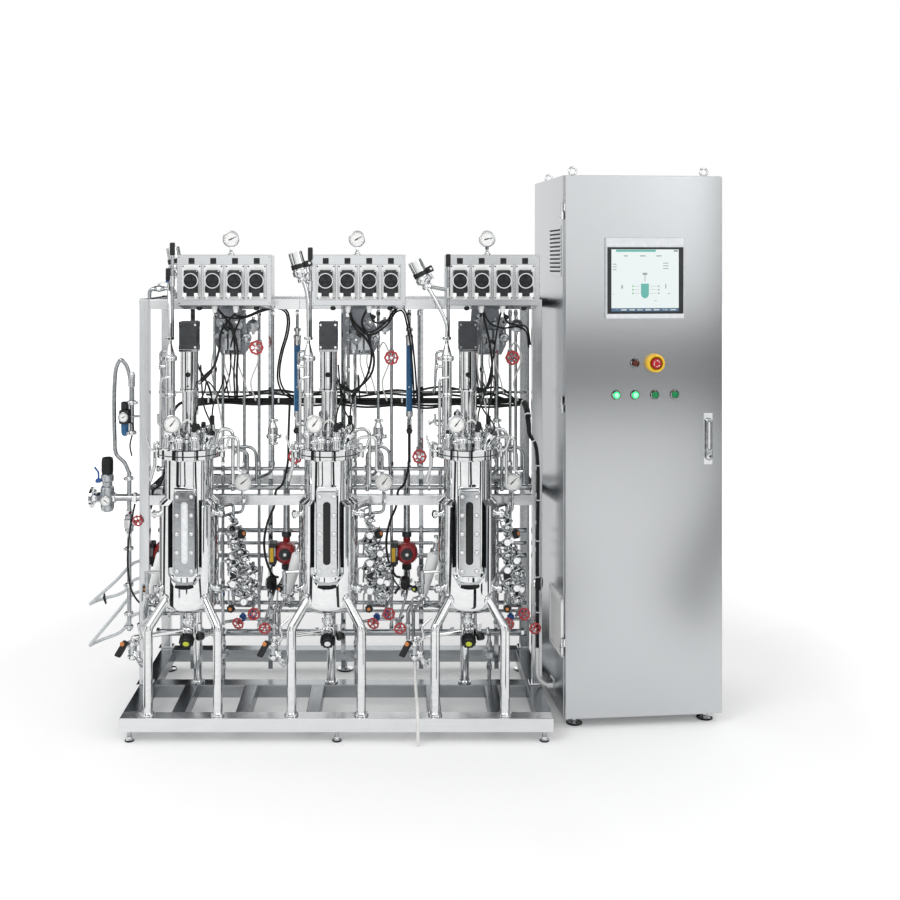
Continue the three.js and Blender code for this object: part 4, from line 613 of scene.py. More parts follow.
def wheel_item(tree, given):
    """A handwheel: a lobed rim round a hub, with straight spokes between them."""
    circle = add(tree, "GeometryNodeCurvePrimitiveCircle", {"Resolution": 60}, {
        "Radius": given["Radius"]}).outputs["Curve"]
    at = add(tree, "GeometryNodeInputPosition").outputs[0]
    parts_of = add(tree, "ShaderNodeSeparateXYZ", {}, {"Vector": at}).outputs
    angle = add(tree, "ShaderNodeMath", {}, {0: parts_of["Y"], 1: parts_of["X"]},
                operation="ARCTAN2").outputs[0]
    turns = add(tree, "ShaderNodeMath", {}, {0: angle, 1: given["Lobes"]}, operation="MULTIPLY").outputs[0]
    wave = add(tree, "ShaderNodeMath", {}, {0: turns}, operation="COSINE").outputs[0]
    depth = add(tree, "ShaderNodeMath", {}, {0: wave, 1: given["Lobe Depth"]},
                operation="MULTIPLY").outputs[0]
    grown = add(tree, "ShaderNodeMath", {1: 1.0}, {0: depth}, operation="ADD").outputs[0]
    moved = add(tree, "ShaderNodeVectorMath", {}, {0: at, "Scale": grown}, operation="SCALE").outputs[0]
    lobed = add(tree, "GeometryNodeSetPosition", {}, {"Geometry": circle, "Position": moved}).outputs[0]
    section = add(tree, "GeometryNodeCurvePrimitiveCircle", {"Resolution": 10}, {
        "Radius": given["Rim Radius"]}).outputs["Curve"]
    rim = add(tree, "GeometryNodeCurveToMesh", {}, {"Curve": lobed, "Profile Curve": section}).outputs["Mesh"]
    hub = add(tree, "GeometryNodeMeshCylinder", {"Vertices": 20}, {
        "Radius": given["Hub Radius"], "Depth": given["Hub Height"]}).outputs["Mesh"]
    spots = add(tree, "GeometryNodeMeshCircle", {}, {
        "Vertices": given["Spokes"], "Radius": given["Hub Radius"]}).outputs["Mesh"]
    long = add(tree, "ShaderNodeMath", {}, {0: given["Radius"], 1: given["Hub Radius"]},
               operation="SUBTRACT").outputs[0]
    spoke = add(tree, "GeometryNodeMeshCone", {"Vertices": 8}, {
        "Radius Bottom": given["Spoke Radius"], "Radius Top": given["Rim Radius"],
        "Depth": long}).outputs["Mesh"]
    outward = add(tree, "FunctionNodeAlignRotationToVector", {}, {
        "Vector": add(tree, "GeometryNodeInputPosition").outputs[0]}, axis="Z").outputs[0]
    spokes = add(tree, "GeometryNodeInstanceOnPoints", {}, {
        "Points": spots, "Instance": spoke, "Rotation": outward}).outputs[0]
    parts = add(tree, "GeometryNodeJoinGeometry")
    for shape in (rim, hub, spokes):
        tree.links.new(shape, parts.inputs[0])
    return parts.outputs[0]


TREES = {
    "hex": ("Hexagon nuts", headed(6, 12, 0.8, 1.25), {
        "Head Radius": 1.0, "Head Height": 0.9, "Washer Radius": 1.25, "Washer Height": 0.2,
        "Tip Radius": 0.45,
        "Material": None}),
    "cap": ("Cap screws", headed(16, 16, 0.86, 1.16), {
        "Head Radius": 1.0, "Head Height": 0.8, "Tip Radius": 0.5, "Material": None}),
    "dome": ("Cap nuts", dome_item, {"Head Radius": 1.0, "Flatness": 0.6, "Seat Radius": 1.25,
                                     "Seat Height": 0.3, "Material": None}),
    "bar": ("Slats and marks", bar_item, {"Length": 1.0, "Width": 1.0, "Height": 1.0, "Material": None}),
    "band": ("Bands", band_item, {"Radius": 1.0, "Thickness": 0.1, "Width": 0.3, "Material": None}),
    "wheel": ("Handwheels", wheel_item, {"Radius": 1.0, "Rim Radius": 0.17, "Lobes": 8, "Lobe Depth": 0.05,
                                         "Hub Radius": 0.3, "Hub Height": 0.4, "Spokes": 5,
                                         "Spoke Radius": 0.11, "Material": None}),
}
trees, places = {}, {}


def mark(kind, finish, point, way, size, up=(0, 0, 0), place=None, body="frame", **shape):
    """Notes one repeated item: its point, its way and its size, in millimetres of the layout."""
    matrix = LAYOUT @ (place or Matrix())
    turn = matrix.to_3x3().normalized()
    aside = Vector(up) if any(up) else Vector(way).orthogonal()
    row = (matrix @ Vector(point), turn @ Vector(way), turn @ aside, size / 1000)
    places.setdefault((kind, finish, body, tuple(sorted(shape.items()))), []).append(row)


def ring_of(kind, finish, centre, axis, radius, count, size, start=0.0, place=None, body="frame", **shape):
    """Notes a circle of repeated items round an axis."""
    spin = Vector(axis).to_track_quat("Z", "Y").to_matrix()
    for k in range(count):
        arm = Vector((radius, 0, 0))
        arm.rotate(Matrix.Rotation(math.radians(start) + 2 * math.pi * k / count, 3, "Z"))
        mark(kind, finish, Vector(centre) + spin @ arm, axis, size, spin @ arm, place, body, **shape)


def spread_out(name):
    """Turns everything that was noted into plain meshes, one for each kind, finish and body."""
    for number, ((kind, finish, body, shape), rows) in enumerate(places.items()):
        if kind not in trees:
            trees[kind] = repeating(TREES[kind][0], TREES[kind][2], TREES[kind][1])
        tree = trees[kind]
        mesh = bpy.data.meshes.new("places")
        mesh.from_pydata([row[0] for row in rows], [], [])
        for label, column in (("way", 1), ("up", 2)):
            mesh.attributes.new(label, "FLOAT_VECTOR", "POINT").data.foreach_set(
                "vector", [x for row in rows for x in row[column]])
        mesh.attributes.new("size", "FLOAT", "POINT").data.foreach_set("value", [row[3] for row in rows])
        carrier = bpy.data.objects.new("places", mesh)
        bpy.context.scene.collection.objects.link(carrier)
        modifier = carrier.modifiers.new("Repeat", "NODES")
        modifier.node_group = tree
        for socket in tree.interface.items_tree:
            if socket.name == "Material":
                modifier[socket.identifier] = material(finish)
            elif socket.name in dict(shape):
                modifier[socket.identifier] = dict(shape)[socket.name]
        graph = bpy.context.evaluated_depsgraph_get()
        made = bpy.data.meshes.new_from_object(carrier.evaluated_get(graph))
        bpy.data.objects.remove(carrier)
        made.shade_smooth()
        made.set_sharp_from_angle(angle=math.radians(34))
        piece = finished(f"{name}_{kind}_{number}.{finish}", made, finish, body)
        if kind == "wheel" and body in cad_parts:
            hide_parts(body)
    places.clear()


# ---------- fittings used in many places ----------

def clamp(m, finish, centre, axis, radius, bore, bolt_way=FRONT):
    """A tri-clamp joint: two ferrules, the V-shaped clamp round them and its wing nut."""
    m.hollow(finish, [(bore * 0.8, -radius * 0.36), (radius * 0.92, -radius * 0.36),
                      (radius * 1.02, -radius * 0.2),
                      (radius * 1.02, radius * 0.2), (radius * 0.92, radius * 0.36),
                      (bore * 0.8, radius * 0.36)],
             centre, axis, 20)
    way, axis = Vector(bolt_way), Vector(axis).normalized()
    way = (way - axis * way.dot(axis)).normalized()
    side = axis.cross(way)
    at = Vector(centre) + way * radius * 1.12
    m.block_on(finish, at, (way, side, axis), (radius * 0.42, radius * 0.34, radius * 0.62), radius * 0.06)
    m.rod(finish, at - side * radius * 0.5, at + side * radius * 0.62, radius * 0.11, sides=8, edge=0.2)
    m.rod(finish, at + side * radius * 0.55 - axis * radius * 0.34,
          at + side * radius * 0.55 + axis * radius * 0.34, radius * 0.13, sides=8, edge=0.3)


def ferrule(m, finish, start, end, radius, clamps, clamp_radius):
    """A length of tube with tri-clamps at the given shares of its length."""
    start, end = Vector(start), Vector(end)
    m.rod(finish, start, end, radius, sides=20, edge=0.4)
    for share in clamps:
        clamp(m, finish, start.lerp(end, share), end - start, clamp_radius, radius)


def hand_knob(m, finish, centre, axis, radius, height, cap, ribs=10):
    """A moulded valve knob with ribs round it and a coloured cap in its middle."""
    m.turned(finish, [(radius * 0.55, 0), (radius * 0.86, height * 0.12), (radius * 0.9, height * 0.3),
                      (radius * 0.9, height * 0.82), (radius * 0.76, height), (radius * 0.35, height)],
             centre, axis, 24)
    ring_of("bar", finish, Vector(centre) + Vector(axis).normalized() * height * 0.52, axis, radius * 0.86,
            ribs, radius, place=m.place, body=m.body, Length=0.28, Width=0.22, Height=height * 0.72 / radius)
    if cap:
        m.turned(cap, [(radius * 0.42, height * 0.9), (radius * 0.42, height * 1.04),
                       (radius * 0.34, height * 1.08)],
                 centre, axis, 20)


def gauge(m, centre, facing, radius, stem_to, needle):
    """A dial gauge: steel case and bezel, white dial with its marks, needle, glass and a threaded stem."""
    facing = Vector(facing).normalized()
    m.turned("tubing", [(radius * 0.9, -radius * 0.42), (radius, -radius * 0.34), (radius, radius * 0.04),
                        (radius * 1.05, radius * 0.06), (radius * 1.05, radius * 0.18),
                        (radius * 0.98, radius * 0.22),
                        (radius * 0.9, radius * 0.22), (radius * 0.9, radius * 0.06)], centre, facing, 40)
    front = Vector(centre) + facing * radius * 0.07
    m.turned("dial", [(radius * 0.9, 0), (radius * 0.9, 0.3)], front, facing, 40)
    top = (Vector(UP) - facing * facing.z).normalized()
    side = top.cross(facing)
    for k in range(DIAL_MARKS):
        angle = math.radians(-135 + 270 * k / (DIAL_MARKS - 1))
        arm = top * math.cos(angle) + side * math.sin(angle)
        long = 0.16 if k % 5 == 0 else 0.09
        mark("bar", "black", front + facing * 0.45 + arm * radius * (0.8 - long / 2), facing, radius, arm,
             m.place, m.body, Length=long, Width=0.02 if k % 5 == 0 else 0.008, Height=0.01)
    arm = top * math.cos(math.radians(needle)) + side * math.sin(math.radians(needle))
    across = arm.cross(facing)
    m.put("black", [front + facing * z + p for z in (0.8, 1.3) for p in (
        -arm * radius * 0.34 + across * radius * 0.07, -arm * radius * 0.34 - across * radius * 0.07,
        arm * radius * 0.66 - across * radius * 0.03, arm * radius * 0.66 + across * radius * 0.03)],
        [(3, 2, 1, 0), (4, 5, 6, 7), (0, 1, 5, 4), (1, 2, 6, 5), (2, 3, 7, 6), (3, 0, 4, 7)])
    m.turned("black", [(radius * 0.09, 0.3), (radius * 0.09, 2.2), (radius * 0.05, 2.6)], front, facing, 16)
    m.turned("glass", [(radius * 0.89, radius * 0.12), (radius * 0.89, radius * 0.15)], centre, facing, 40)
    if stem_to:
        down = (Vector(stem_to) - Vector(centre)).normalized()
        m.rod("tubing", Vector(centre) + down * radius * 0.92, stem_to, radius * 0.16, sides=14)
        m.rod("mirror", Vector(centre) + down * radius * 1.0, Vector(centre) + down * radius * 1.32,
              radius * 0.26, sides=6, edge=0.5)


def ball_valve(m, centre, axis, radius, lever, lever_finish, handle, bolt_way):
    """A three-piece ball valve: hexagonal ends, bolted middle, stem and a sleeved lever."""
    centre, axis = Vector(centre), Vector(axis).normalized()
    m.rod("cast", centre - axis * radius * 1.5, centre + axis * radius * 1.5, radius * 0.82, sides=8, edge=1)
    m.rod("mirror", centre - axis * radius * 0.62, centre + axis * radius * 0.62, radius, sides=24, edge=1.5)
    way = Vector(bolt_way).normalized()
    m.rod("cast", centre + way * radius * 0.8, centre + way * radius * 1.55, radius * 0.32, sides=12,
          edge=0.5)
    lever = Vector(lever).normalized()
    at = centre + way * radius * 1.6
    side = way.cross(lever).normalized()
    m.block_on("tubing", at + lever * handle * 0.3, (lever, side, way), (handle * 0.75, radius * 0.5, 2.4),
               0.6)
    m.block_on(lever_finish, at + lever * handle * 0.72, (lever, side, way), (handle * 0.6, radius * 0.72, 6),
               2.4)


def diaphragm_valve(m, centre, axis, stem, size, cap):
    """A forged body between two clamps, with a bolted bonnet and a knob on its stem."""
    centre, axis, stem = Vector(centre), Vector(axis).normalized(), Vector(stem).normalized()
    m.rod("mirror", centre - axis * size * 1.5, centre + axis * size * 1.5, size * 0.48, sides=20)
    for way in (-1, 1):
        clamp(m, "mirror", centre + axis * way * size * 1.35, axis, size * 0.85, size * 0.45, stem)
    side = axis.cross(stem).normalized()
    m.block_on("mirror", centre + stem * size * 0.35, (axis, side, stem),
               (size * 1.5, size * 1.25, size * 0.7), size * 0.16)
    m.block_on("cast", centre + stem * size * 0.9, (axis, side, stem), (size * 1.4, size * 1.2, size * 0.42),
               size * 0.14)
    m.rod("mirror", centre + stem * size * 1.0, centre + stem * size * 1.55, size * 0.42, sides=20)
    hand_knob(m, "black", centre + stem * size * 1.5, stem, size * 0.95, size * 1.05, cap)


def actuator_valve(m, centre, axis, lean, size, finish):
    """An angle-seat valve: a straight body with a pneumatic cylinder leaning off it."""
    centre, axis, lean = Vector(centre), Vector(axis).normalized(), Vector(lean).normalized()
    m.rod("cast", centre - axis * size * 1.5, centre + axis * size * 1.5, size * 0.5, sides=16)
    for way in (-1, 1):
        m.rod("mirror", centre + axis * way * size * 1.1, centre + axis * way * size * 1.7, size * 0.66,
              sides=6)
    m.rod("cast", centre, centre + lean * size * 1.2, size * 0.46, sides=16)
    m.turned(finish, [(size * 0.55, size * 1.1), (size * 0.95, size * 1.35), (size, size * 1.5),
                      (size, size * 3.1),
                      (size * 0.92, size * 3.3), (size * 0.5, size * 3.42), (size * 0.3, size * 3.44)],
             centre, lean, 28)
    m.turned("glass", [(size * 0.3, size * 3.4), (size * 0.3, size * 3.75), (size * 0.2, size * 3.85)],
             centre, lean, 16)
    side = lean.orthogonal().normalized()
    for share in (1.7, 2.8):
        m.rod("mirror", centre + lean * size * share, centre + lean * size * share + side * size * 1.35,
              size * 0.16, sides=6, edge=0.3)
# ---------- settings ----------

class BioreactorSizes(bpy.types.PropertyGroup):
    """Sizes and colours of the visual pieces that a user may change."""

    conduit_diameter: FloatProperty(name="Conduit diameter",
                                    description="Outside of the conduit to the cabinet",
                                    default=0.014, unit="LENGTH")
    hose_diameter: FloatProperty(name="Hose diameter", description="Outside of the two air hoses",
                                 default=0.013, unit="LENGTH")
    drain_diameter: FloatProperty(name="Drain tube diameter", description="Outside of the harvest drain tube",
                                  default=0.012, unit="LENGTH")
    flange_bolts: IntProperty(name="Lid bolts", description="Cap nuts round each vessel lid", default=8,
                              min=4)
    glass_bolts: IntProperty(name="Sight glass bolts", description="Cap nuts down each side of a sight glass",
                             default=5, min=2)
    wheel_lobes: IntProperty(name="Handwheel lobes", description="Finger lobes on a handwheel's rim",
                             default=8, min=3)
    upper_slats: IntProperty(name="Upper vent slots", description="Slots in the cabinet's upper side vent",
                             default=11, min=2)
    lower_slats: IntProperty(name="Lower vent slots", description="Slots in the cabinet's lower side vent",
                             default=14, min=2)
    tie_pitch: FloatProperty(name="Cable tie pitch",
                             description="Distance between the ties on the cable trunk",
                             default=0.105, unit="LENGTH")
    key_light: FloatProperty(name="Key light", description="Strength of the large soft light", default=62.0,
                             min=0, unit="POWER")
    floor_colour: FloatVectorProperty(name="Floor colour", description="Colour of the studio floor",
                                      subtype="COLOR", size=4, default=colour(0xFBFBFB), min=0, max=1)


# ---------- camera, light and floor ----------

def studio(sizes):
    scene = bpy.context.scene
    scene.view_settings.view_transform = "Standard"
    lens = bpy.data.cameras.new("Camera")
    lens.sensor_width, lens.lens = 36, 44.75
    lens.shift_x, lens.shift_y = 0.0619, -0.2094
    lens.clip_start, lens.clip_end = 0.05, 60
    camera = bpy.data.objects.new("Camera", lens)
    camera.location = (-0.025, -4.3567, 1.7153)
    camera.rotation_euler = (math.radians(90), 0, 0)
    scene.collection.objects.link(camera)
    scene.camera = camera

    world = bpy.data.worlds.new("Studio")
    world.use_nodes = True
    tree = world.node_tree
    tree.nodes.clear()
    rays = add(tree, "ShaderNodeLightPath").outputs
    seen = add(tree, "ShaderNodeMath", {}, {0: rays["Is Camera Ray"], 1: rays["Is Glossy Ray"]},
               operation="MAXIMUM")
    seen = add(tree, "ShaderNodeMath", {}, {0: seen.outputs[0], 1: rays["Is Transmission Ray"]},
               operation="MAXIMUM")
    light = add(tree, "ShaderNodeBackground", {"Color": colour(0xFFFFFF), "Strength": 0.84})
    backdrop = add(tree, "ShaderNodeBackground", {"Color": colour(0xFFFFFF), "Strength": 1.0})
    mixed = add(tree, "ShaderNodeMixShader", {},
                {0: seen.outputs[0], 1: light.outputs[0], 2: backdrop.outputs[0]})
    add(tree, "ShaderNodeOutputWorld", {}, {"Surface": mixed.outputs[0]})
    scene.world = world

    # Painted studio floor: matt, very pale, with the faint roller texture of its paint.
    roller = (18, 18, 18, 2.0)
    made = varied("Studio floor paint", {"Base Color": sizes.floor_colour, "IOR": 1.4}, roller, roller,
                  rough=(0.75, 0.9))
    tree = made.node_tree
    # Round the object the floor shows its shadow; further out it runs off into the white of the backdrop.
    place = add(tree, "ShaderNodeTexCoord").outputs["Object"]
    away = add(tree, "ShaderNodeVectorMath", {}, {0: place}, operation="LENGTH").outputs["Value"]
    away = add(tree, "ShaderNodeMapRange", {"From Min": 1.7, "From Max": 3.6, "To Min": 0.1, "To Max": 0.5},
               {"Value": away}).outputs["Result"]
    seen = add(tree, "ShaderNodeLightPath").outputs["Is Camera Ray"]
    strength = add(tree, "ShaderNodeMath", {}, {0: seen, 1: away}, operation="MULTIPLY").outputs[0]
    white = add(tree, "ShaderNodeEmission", {"Color": colour(0xFFFFFF)}, {"Strength": strength})
    paint = tree.nodes["Principled BSDF"].outputs["BSDF"]
    both = add(tree, "ShaderNodeAddShader", {}, {0: paint, 1: white.outputs[0]})
    tree.links.new(both.outputs[0], tree.nodes["Material Output"].inputs["Surface"])
    mesh = bpy.data.meshes.new("floor")
    mesh.from_pydata([(-20, -12, 0), (20, -12, 0), (20, 40, 0), (-20, 40, 0)], [], [(0, 1, 2, 3)])
    mesh.materials.append(made)
    floor = bpy.data.objects.new("floor", mesh)
    scene.collection.objects.link(floor)

    for name, spot, aim, wide, high, power in (
            ("Key light", (-2.6, -3.4, 4.2), (0.1, 0, 0.9), 2.6, 2.6, sizes.key_light),
            ("Fill light", (3.6, -3.0, 3.0), (0.2, 0, 0.9), 2.4, 3.0, sizes.key_light * 0.45)):
        lamp = bpy.data.lights.new(name, "AREA")
        lamp.shape, lamp.size, lamp.size_y, lamp.energy = "RECTANGLE", wide, high, power
        held = bpy.data.objects.new(name, lamp)
        held.location = spot
        held.rotation_euler = (Vector(aim) - Vector(spot)).to_track_quat("-Z", "Y").to_euler()
        scene.collection.objects.link(held)

    # Black flags and grey cards, seen only by polished metal: they give it its dark edges.
    board, weave = (6, 6, 6, 1.0), (4, 4, 4, 1.0)
    card_paint = varied("Grey card", {"Roughness": 0.8}, board, board, tone=(0x8C9094, 0x94989C),
                        reach=(0, 1))
    flag_paint = varied("Black flag cloth", {}, weave, weave, rough=(0.85, 0.95))
    tree = flag_paint.node_tree
    tone = add(tree, "ShaderNodeMix", {6: colour(0x151618), 7: colour(0x1D1E20)},
               {0: tree.nodes["Noise Texture"].outputs["Fac"]}, data_type="RGBA")
    tree.links.new(tone.outputs[2], tree.nodes["Principled BSDF"].inputs["Base Color"])
    middle = LAYOUT @ Vector((0, VESSEL_Y, 0))
    # Each flag darkens one stretch across a polished cylinder, from -1 at its left edge to 1 at its right.
    for number, (left, right, high, away, apron, sway, paint) in enumerate((
            (-0.995, -0.93, 3.2, 2.6, 0, 0.1, flag_paint), (-0.89, -0.84, 3.2, 2.4, 0, 0, flag_paint),
            (-0.79, -0.73, 3.0, 2.2, 0, 0.25, flag_paint), (-0.60, -0.50, 2.6, 2.1, 1.15, 0.5, flag_paint),
            (-0.37, -0.32, 1.7, 2.0, 0, -0.15, card_paint), (-0.16, -0.11, 1.7, 1.9, 0, -0.4, flag_paint),
            (0.10, 0.14, 1.7, 2.1, 0, 0.1, card_paint), (0.28, 0.36, 1.7, 2.0, 1.05, -0.5, flag_paint),
            (0.47, 0.515, 2.6, 2.2, 0, 0.3, flag_paint), (0.58, 0.65, 3.2, 2.5, 0, 0, card_paint),
            (0.645, 0.685, 3.2, 2.3, 0, 0.1, flag_paint),
            (0.75, 0.86, 3.2, 2.4, 1.3, 0.15, flag_paint), (0.90, 0.99, 3.2, 2.6, 1.65, 0, flag_paint))):
        first, last = 2 * math.asin(left), 2 * math.asin(right)
        turn, wide = (first + last) / 2, away * (last - first)
        flag_at(f"flag_{number}", paint, middle + away * Vector((math.sin(turn), -math.cos(turn), 0)), turn,
                wide, 0, high, apron, sway)
    # The black ceiling flag overhead gives pipes and fittings their dark upper line.
    unseen("flag_ceiling", flag_paint, [(-2.6, -1.7, 3.5), (-2.6, 1.3, 3.5), (0.9, 1.3, 3.5),
                                        (0.9, -1.7, 3.5)],
           [(0, 1, 2, 3)])
    # A low strip in front of the cabinet gives its door the darker band at the height of the controls.
    flag_at("flag_door", flag_paint, Vector((1.5, -2.0, 0)), 0, 1.5, 0.96, 1.36, 0)


def unseen(name, paint, points, faces):
    """A card of the stage that only reflections show."""
    mesh = bpy.data.meshes.new(name)
    mesh.from_pydata(points, [], faces)
    mesh.materials.append(paint)
    card = bpy.data.objects.new(name, mesh)
    card.visible_camera = card.visible_diffuse = card.visible_shadow = card.visible_transmission = False
    bpy.context.scene.collection.objects.link(card)
    return card


def flag_at(name, paint, spot, turn, wide, low, high, apron, sway=0.0):
    """A card standing there, turned about Z, that swings aside as it rises, with an apron on the floor."""
    levels = [low, *(0.1 * k for k in range(1, 9) if low < 0.1 * k < high), high]
    points = [(sway * (1 - math.cos(math.pi * min(z / 0.8, 1))) / 2 + way * wide / 2, 0, z)
              for z in levels for way in (-1, 1)]
    faces = [(2 * k, 2 * k + 1, 2 * k + 3, 2 * k + 2) for k in range(len(levels) - 1)]
    if apron:
        near, last = max(0.25, 1 - apron / 2.4), len(points)
        points += [(-wide / 2 * near - sway * 0.3, apron, 0.003),
                   (wide / 2 * near - sway * 0.3, apron, 0.003), (wide / 2, 0, 0.003), (-wide / 2, 0, 0.003)]
        faces.append((last, last + 1, last + 2, last + 3))
    flag = unseen(name, paint, points, faces)
    flag.location, flag.rotation_euler = spot, (0, 0, turn)


# ---------- free hoses and tubes ----------

PORT_X = -752.3
UPPER_HOSE = [
    (PORT_X, 500, 519), (-764, 500, 519), (-783.1, 497.9, 516.6), (-800.7, 491.7, 509.7),
    (-814.5, 482.2, 498.9),
    (-837.2, 460.3, 474.2), (-853.2, 449.5, 457.7), (-871.6, 445.5, 440.6), (-929.2, 444, 389.4),
    (-941.6, 446.3, 378.1),
    (-952.7, 453.4, 367.4), (-961.5, 464.9, 358.4), (-967.1, 479.5, 351.9), (-969, 496, 348.5),
    (-966.2, 518.3, 346.9),
    (-958, 534.4, 347.3), (-945.3, 547.1, 349.2), (-929.4, 555.1, 352.3), (-912, 557.6, 356.4),
    (-890.3, 557, 361.8),
    (-866.2, 554, 370.8), (-845.6, 546.3, 384.5), (-830.2, 534.7, 401.7), (-815.6, 518.9, 423.6),
    (-801.8, 508.9, 437.6),
    (-782.8, 502.3, 446.8), (-764, 500, 450), (PORT_X, 500, 450)]
LOWER_HOSE = [
    (PORT_X, 500, 396), (-764, 500, 396), (-784.3, 497.9, 393.3), (-802.4, 491.8, 385.4),
    (-816.3, 482.4, 373.2),
    (-841, 458.5, 342.2), (-854.7, 449.1, 325.4), (-869.6, 445.6, 307.5), (-935.9, 443.9, 229.2),
    (-946.3, 446, 216.5),
    (-955.6, 452.9, 204.6), (-962.8, 463.8, 194.5), (-967.4, 477.8, 187.1), (-969, 493.8, 183),
    (-966.2, 517.4, 180.7),
    (-958, 533.8, 181.4), (-945.4, 546.8, 184.1), (-929.6, 555, 188.6), (-912.4, 557.5, 194.4),
    (-894.4, 557, 200.9),
    (-872.7, 554.4, 211.5), (-854.4, 548, 226.2), (-841, 538.3, 244), (-821, 517.6, 279.1),
    (-811.4, 510.4, 291.4),
    (-798.1, 504.8, 300.9), (-782.4, 501.2, 306.9), (-764, 500, 309), (PORT_X, 500, 309)]
CONDUIT = [(791, 303.7, 239.7), (791, 303.7, 147), (792.4, 303.8, 134.6), (796.6, 304.2, 122.9),
           (803.3, 304.9, 112.4), (812.1, 305.7, 103.7), (822.8, 306.7, 97.2), (834.6, 307.8, 93.2),
           *(CABINET @ Vector((x, 186, 92)) for x in (-3.5, -0.3))]
DRAIN_X = VESSEL_X["right"] - 196
DRAIN_TUBE = [
    (DRAIN_X, 98, 265.7), (DRAIN_X + 1, 98, 224.5), (DRAIN_X + 1.4, 96.3, 208.6), (DRAIN_X + 2, 91.4, 193.5),
    (DRAIN_X + 2.6, 83.4, 179.7), (DRAIN_X + 3.3, 72.8, 167.9), (DRAIN_X + 4, 59.9, 158.6),
    (DRAIN_X + 6, 23.4, 137.6),
    (DRAIN_X + 6.9, 7.8, 125.8), (DRAIN_X + 7.6, -4.2, 110.4), (DRAIN_X + 8.1, -11.9, 92.4),
    (DRAIN_X + 8.4, -14.8, 73.1),
    (DRAIN_X + 9, -16, 3)]


def free_cord(node, finish, route, diameter, with_pieces):
    """A hose or tube along its CAD node's own route."""
    line = flowing_line(route)
    m = Maker(node, "frame", [node])
    m.tube(finish, line, diameter * 500, 16)
    made = m.done()[0]
    path = [LAYOUT @ p for p in line]
    length = sum((b - a).length for a, b in zip(path, path[1:]))
    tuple(path[0])


def hose_ends(name, route, radius, finish="mirror"):
    """A ribbed nipple and crimped sleeve at each end of a hose, tapered where the hose comes out."""
    m = Maker(name)
    for a, b in ((route[0], route[1]), (route[-1], route[-2])):
        a, way = Vector(a), (Vector(b) - Vector(a)).normalized()
        m.turned(finish, [(radius * 1.12, 0.4), (radius * 1.34, 1), (radius * 1.34, 13), (radius * 1.22, 14)],
                 a, way, 20)
        m.turned(finish, [(radius * 1.18, 14), (radius * 1.18, 18), (radius * 1.03, 24)], a, way, 20)
    return m.done()


def cords(sizes):
    radius = sizes.hose_diameter * 500
    free_cord("upper_hose", "hose", UPPER_HOSE, sizes.hose_diameter,
              hose_ends("upper_hose_ends", UPPER_HOSE, radius) + pinch_clamp())
    free_cord("lower_hose", "hose", LOWER_HOSE, sizes.hose_diameter,
              hose_ends("lower_hose_ends", LOWER_HOSE, radius))
    free_cord("cabinet_conduit", "white", CONDUIT, sizes.conduit_diameter,
              hose_ends("conduit_glands", CONDUIT, sizes.conduit_diameter * 500, "white"))
    free_cord("drain_tube", "silicone", DRAIN_TUBE, sizes.drain_diameter, drain_barb(sizes))


def pinch_clamp():
    """The black ratchet clamp on the returning run of the upper hose."""
    m = Maker("upper_hose_clamp")
    at, way = Vector((-929.4, 555.1, 352.3)), Vector((1, 0.12, 0.22)).normalized()
    up = (Vector((0.15, 0, 1)) - way * way.dot(Vector((0.15, 0, 1)))).normalized()
    side = way.cross(up)
    m.block_on("black", at + up * 9, (way, side, up), (9, 20, 4), 1.2)
    m.block_on("black", at - up * 9, (way, side, up), (9, 20, 4), 1.2)
    m.block_on("black", at + side * 9.5, (way, side, up), (9, 3, 22), 1)
    m.block_on("black", at - side * 8.5 + up * 13, (way, side, up), (7, 3, 26), 1)
    m.block_on("black", at - up * 17, (way, side, up), (7, 12, 13), 2)
    return m.done()


def drain_barb(sizes):
    """The hose barb and ear clamp at the top of the drain tube."""
    m = Maker("drain_tube_clamp")
    radius = sizes.drain_diameter * 500
    m.hollow("mirror", [(radius, 6), (radius * 1.16, 6), (radius * 1.16, 14), (radius, 14)],
             (DRAIN_X, 98, 265.7), (0, 0, -1), 20)
    m.block("mirror", (DRAIN_X - 3, 98 - radius - 5, 251.5), (DRAIN_X + 3, 98 - radius, 259.5), 0.6)
    return m.done()
# ---------- vessels ----------

JACKET, NECK, FLANGE = 109, 89, 118
HEAD_TOP = 1035.3
PORTS = ((20, 55), (62, 49), (112, 59), (212, 51), (254, 37), (292, 43), (332, 53))


def around(radius, angle, z=0.0):
    return Vector((radius * math.cos(math.radians(angle)), radius * math.sin(math.radians(angle)), z))


def box_with(points_low, y_low, points_high, y_high):
    """The points and faces of a prism between two XZ outlines, counted anticlockwise from the front."""
    if y_low > y_high:
        points_low, y_low, points_high, y_high = points_high, y_high, points_low, y_low
    count = len(points_low)
    points = [(x, y_low, z) for x, z in points_low] + [(x, y_high, z) for x, z in points_high]
    faces = [[k for k in range(count)], [count + k for k in reversed(range(count))]]
    faces += [[k, count + k, count + (k + 1) % count, (k + 1) % count] for k in range(count)]
    return points, faces


def slot_outline(half, low, high):
    """An upright slot with round ends, as XZ points."""
    steps = 10
    top = [(half * math.cos(a), high - half + half * math.sin(a)) for a in
           (math.pi * k / steps for k in range(steps + 1))]
    return top + [(-x, low + high - z) for x, z in top]


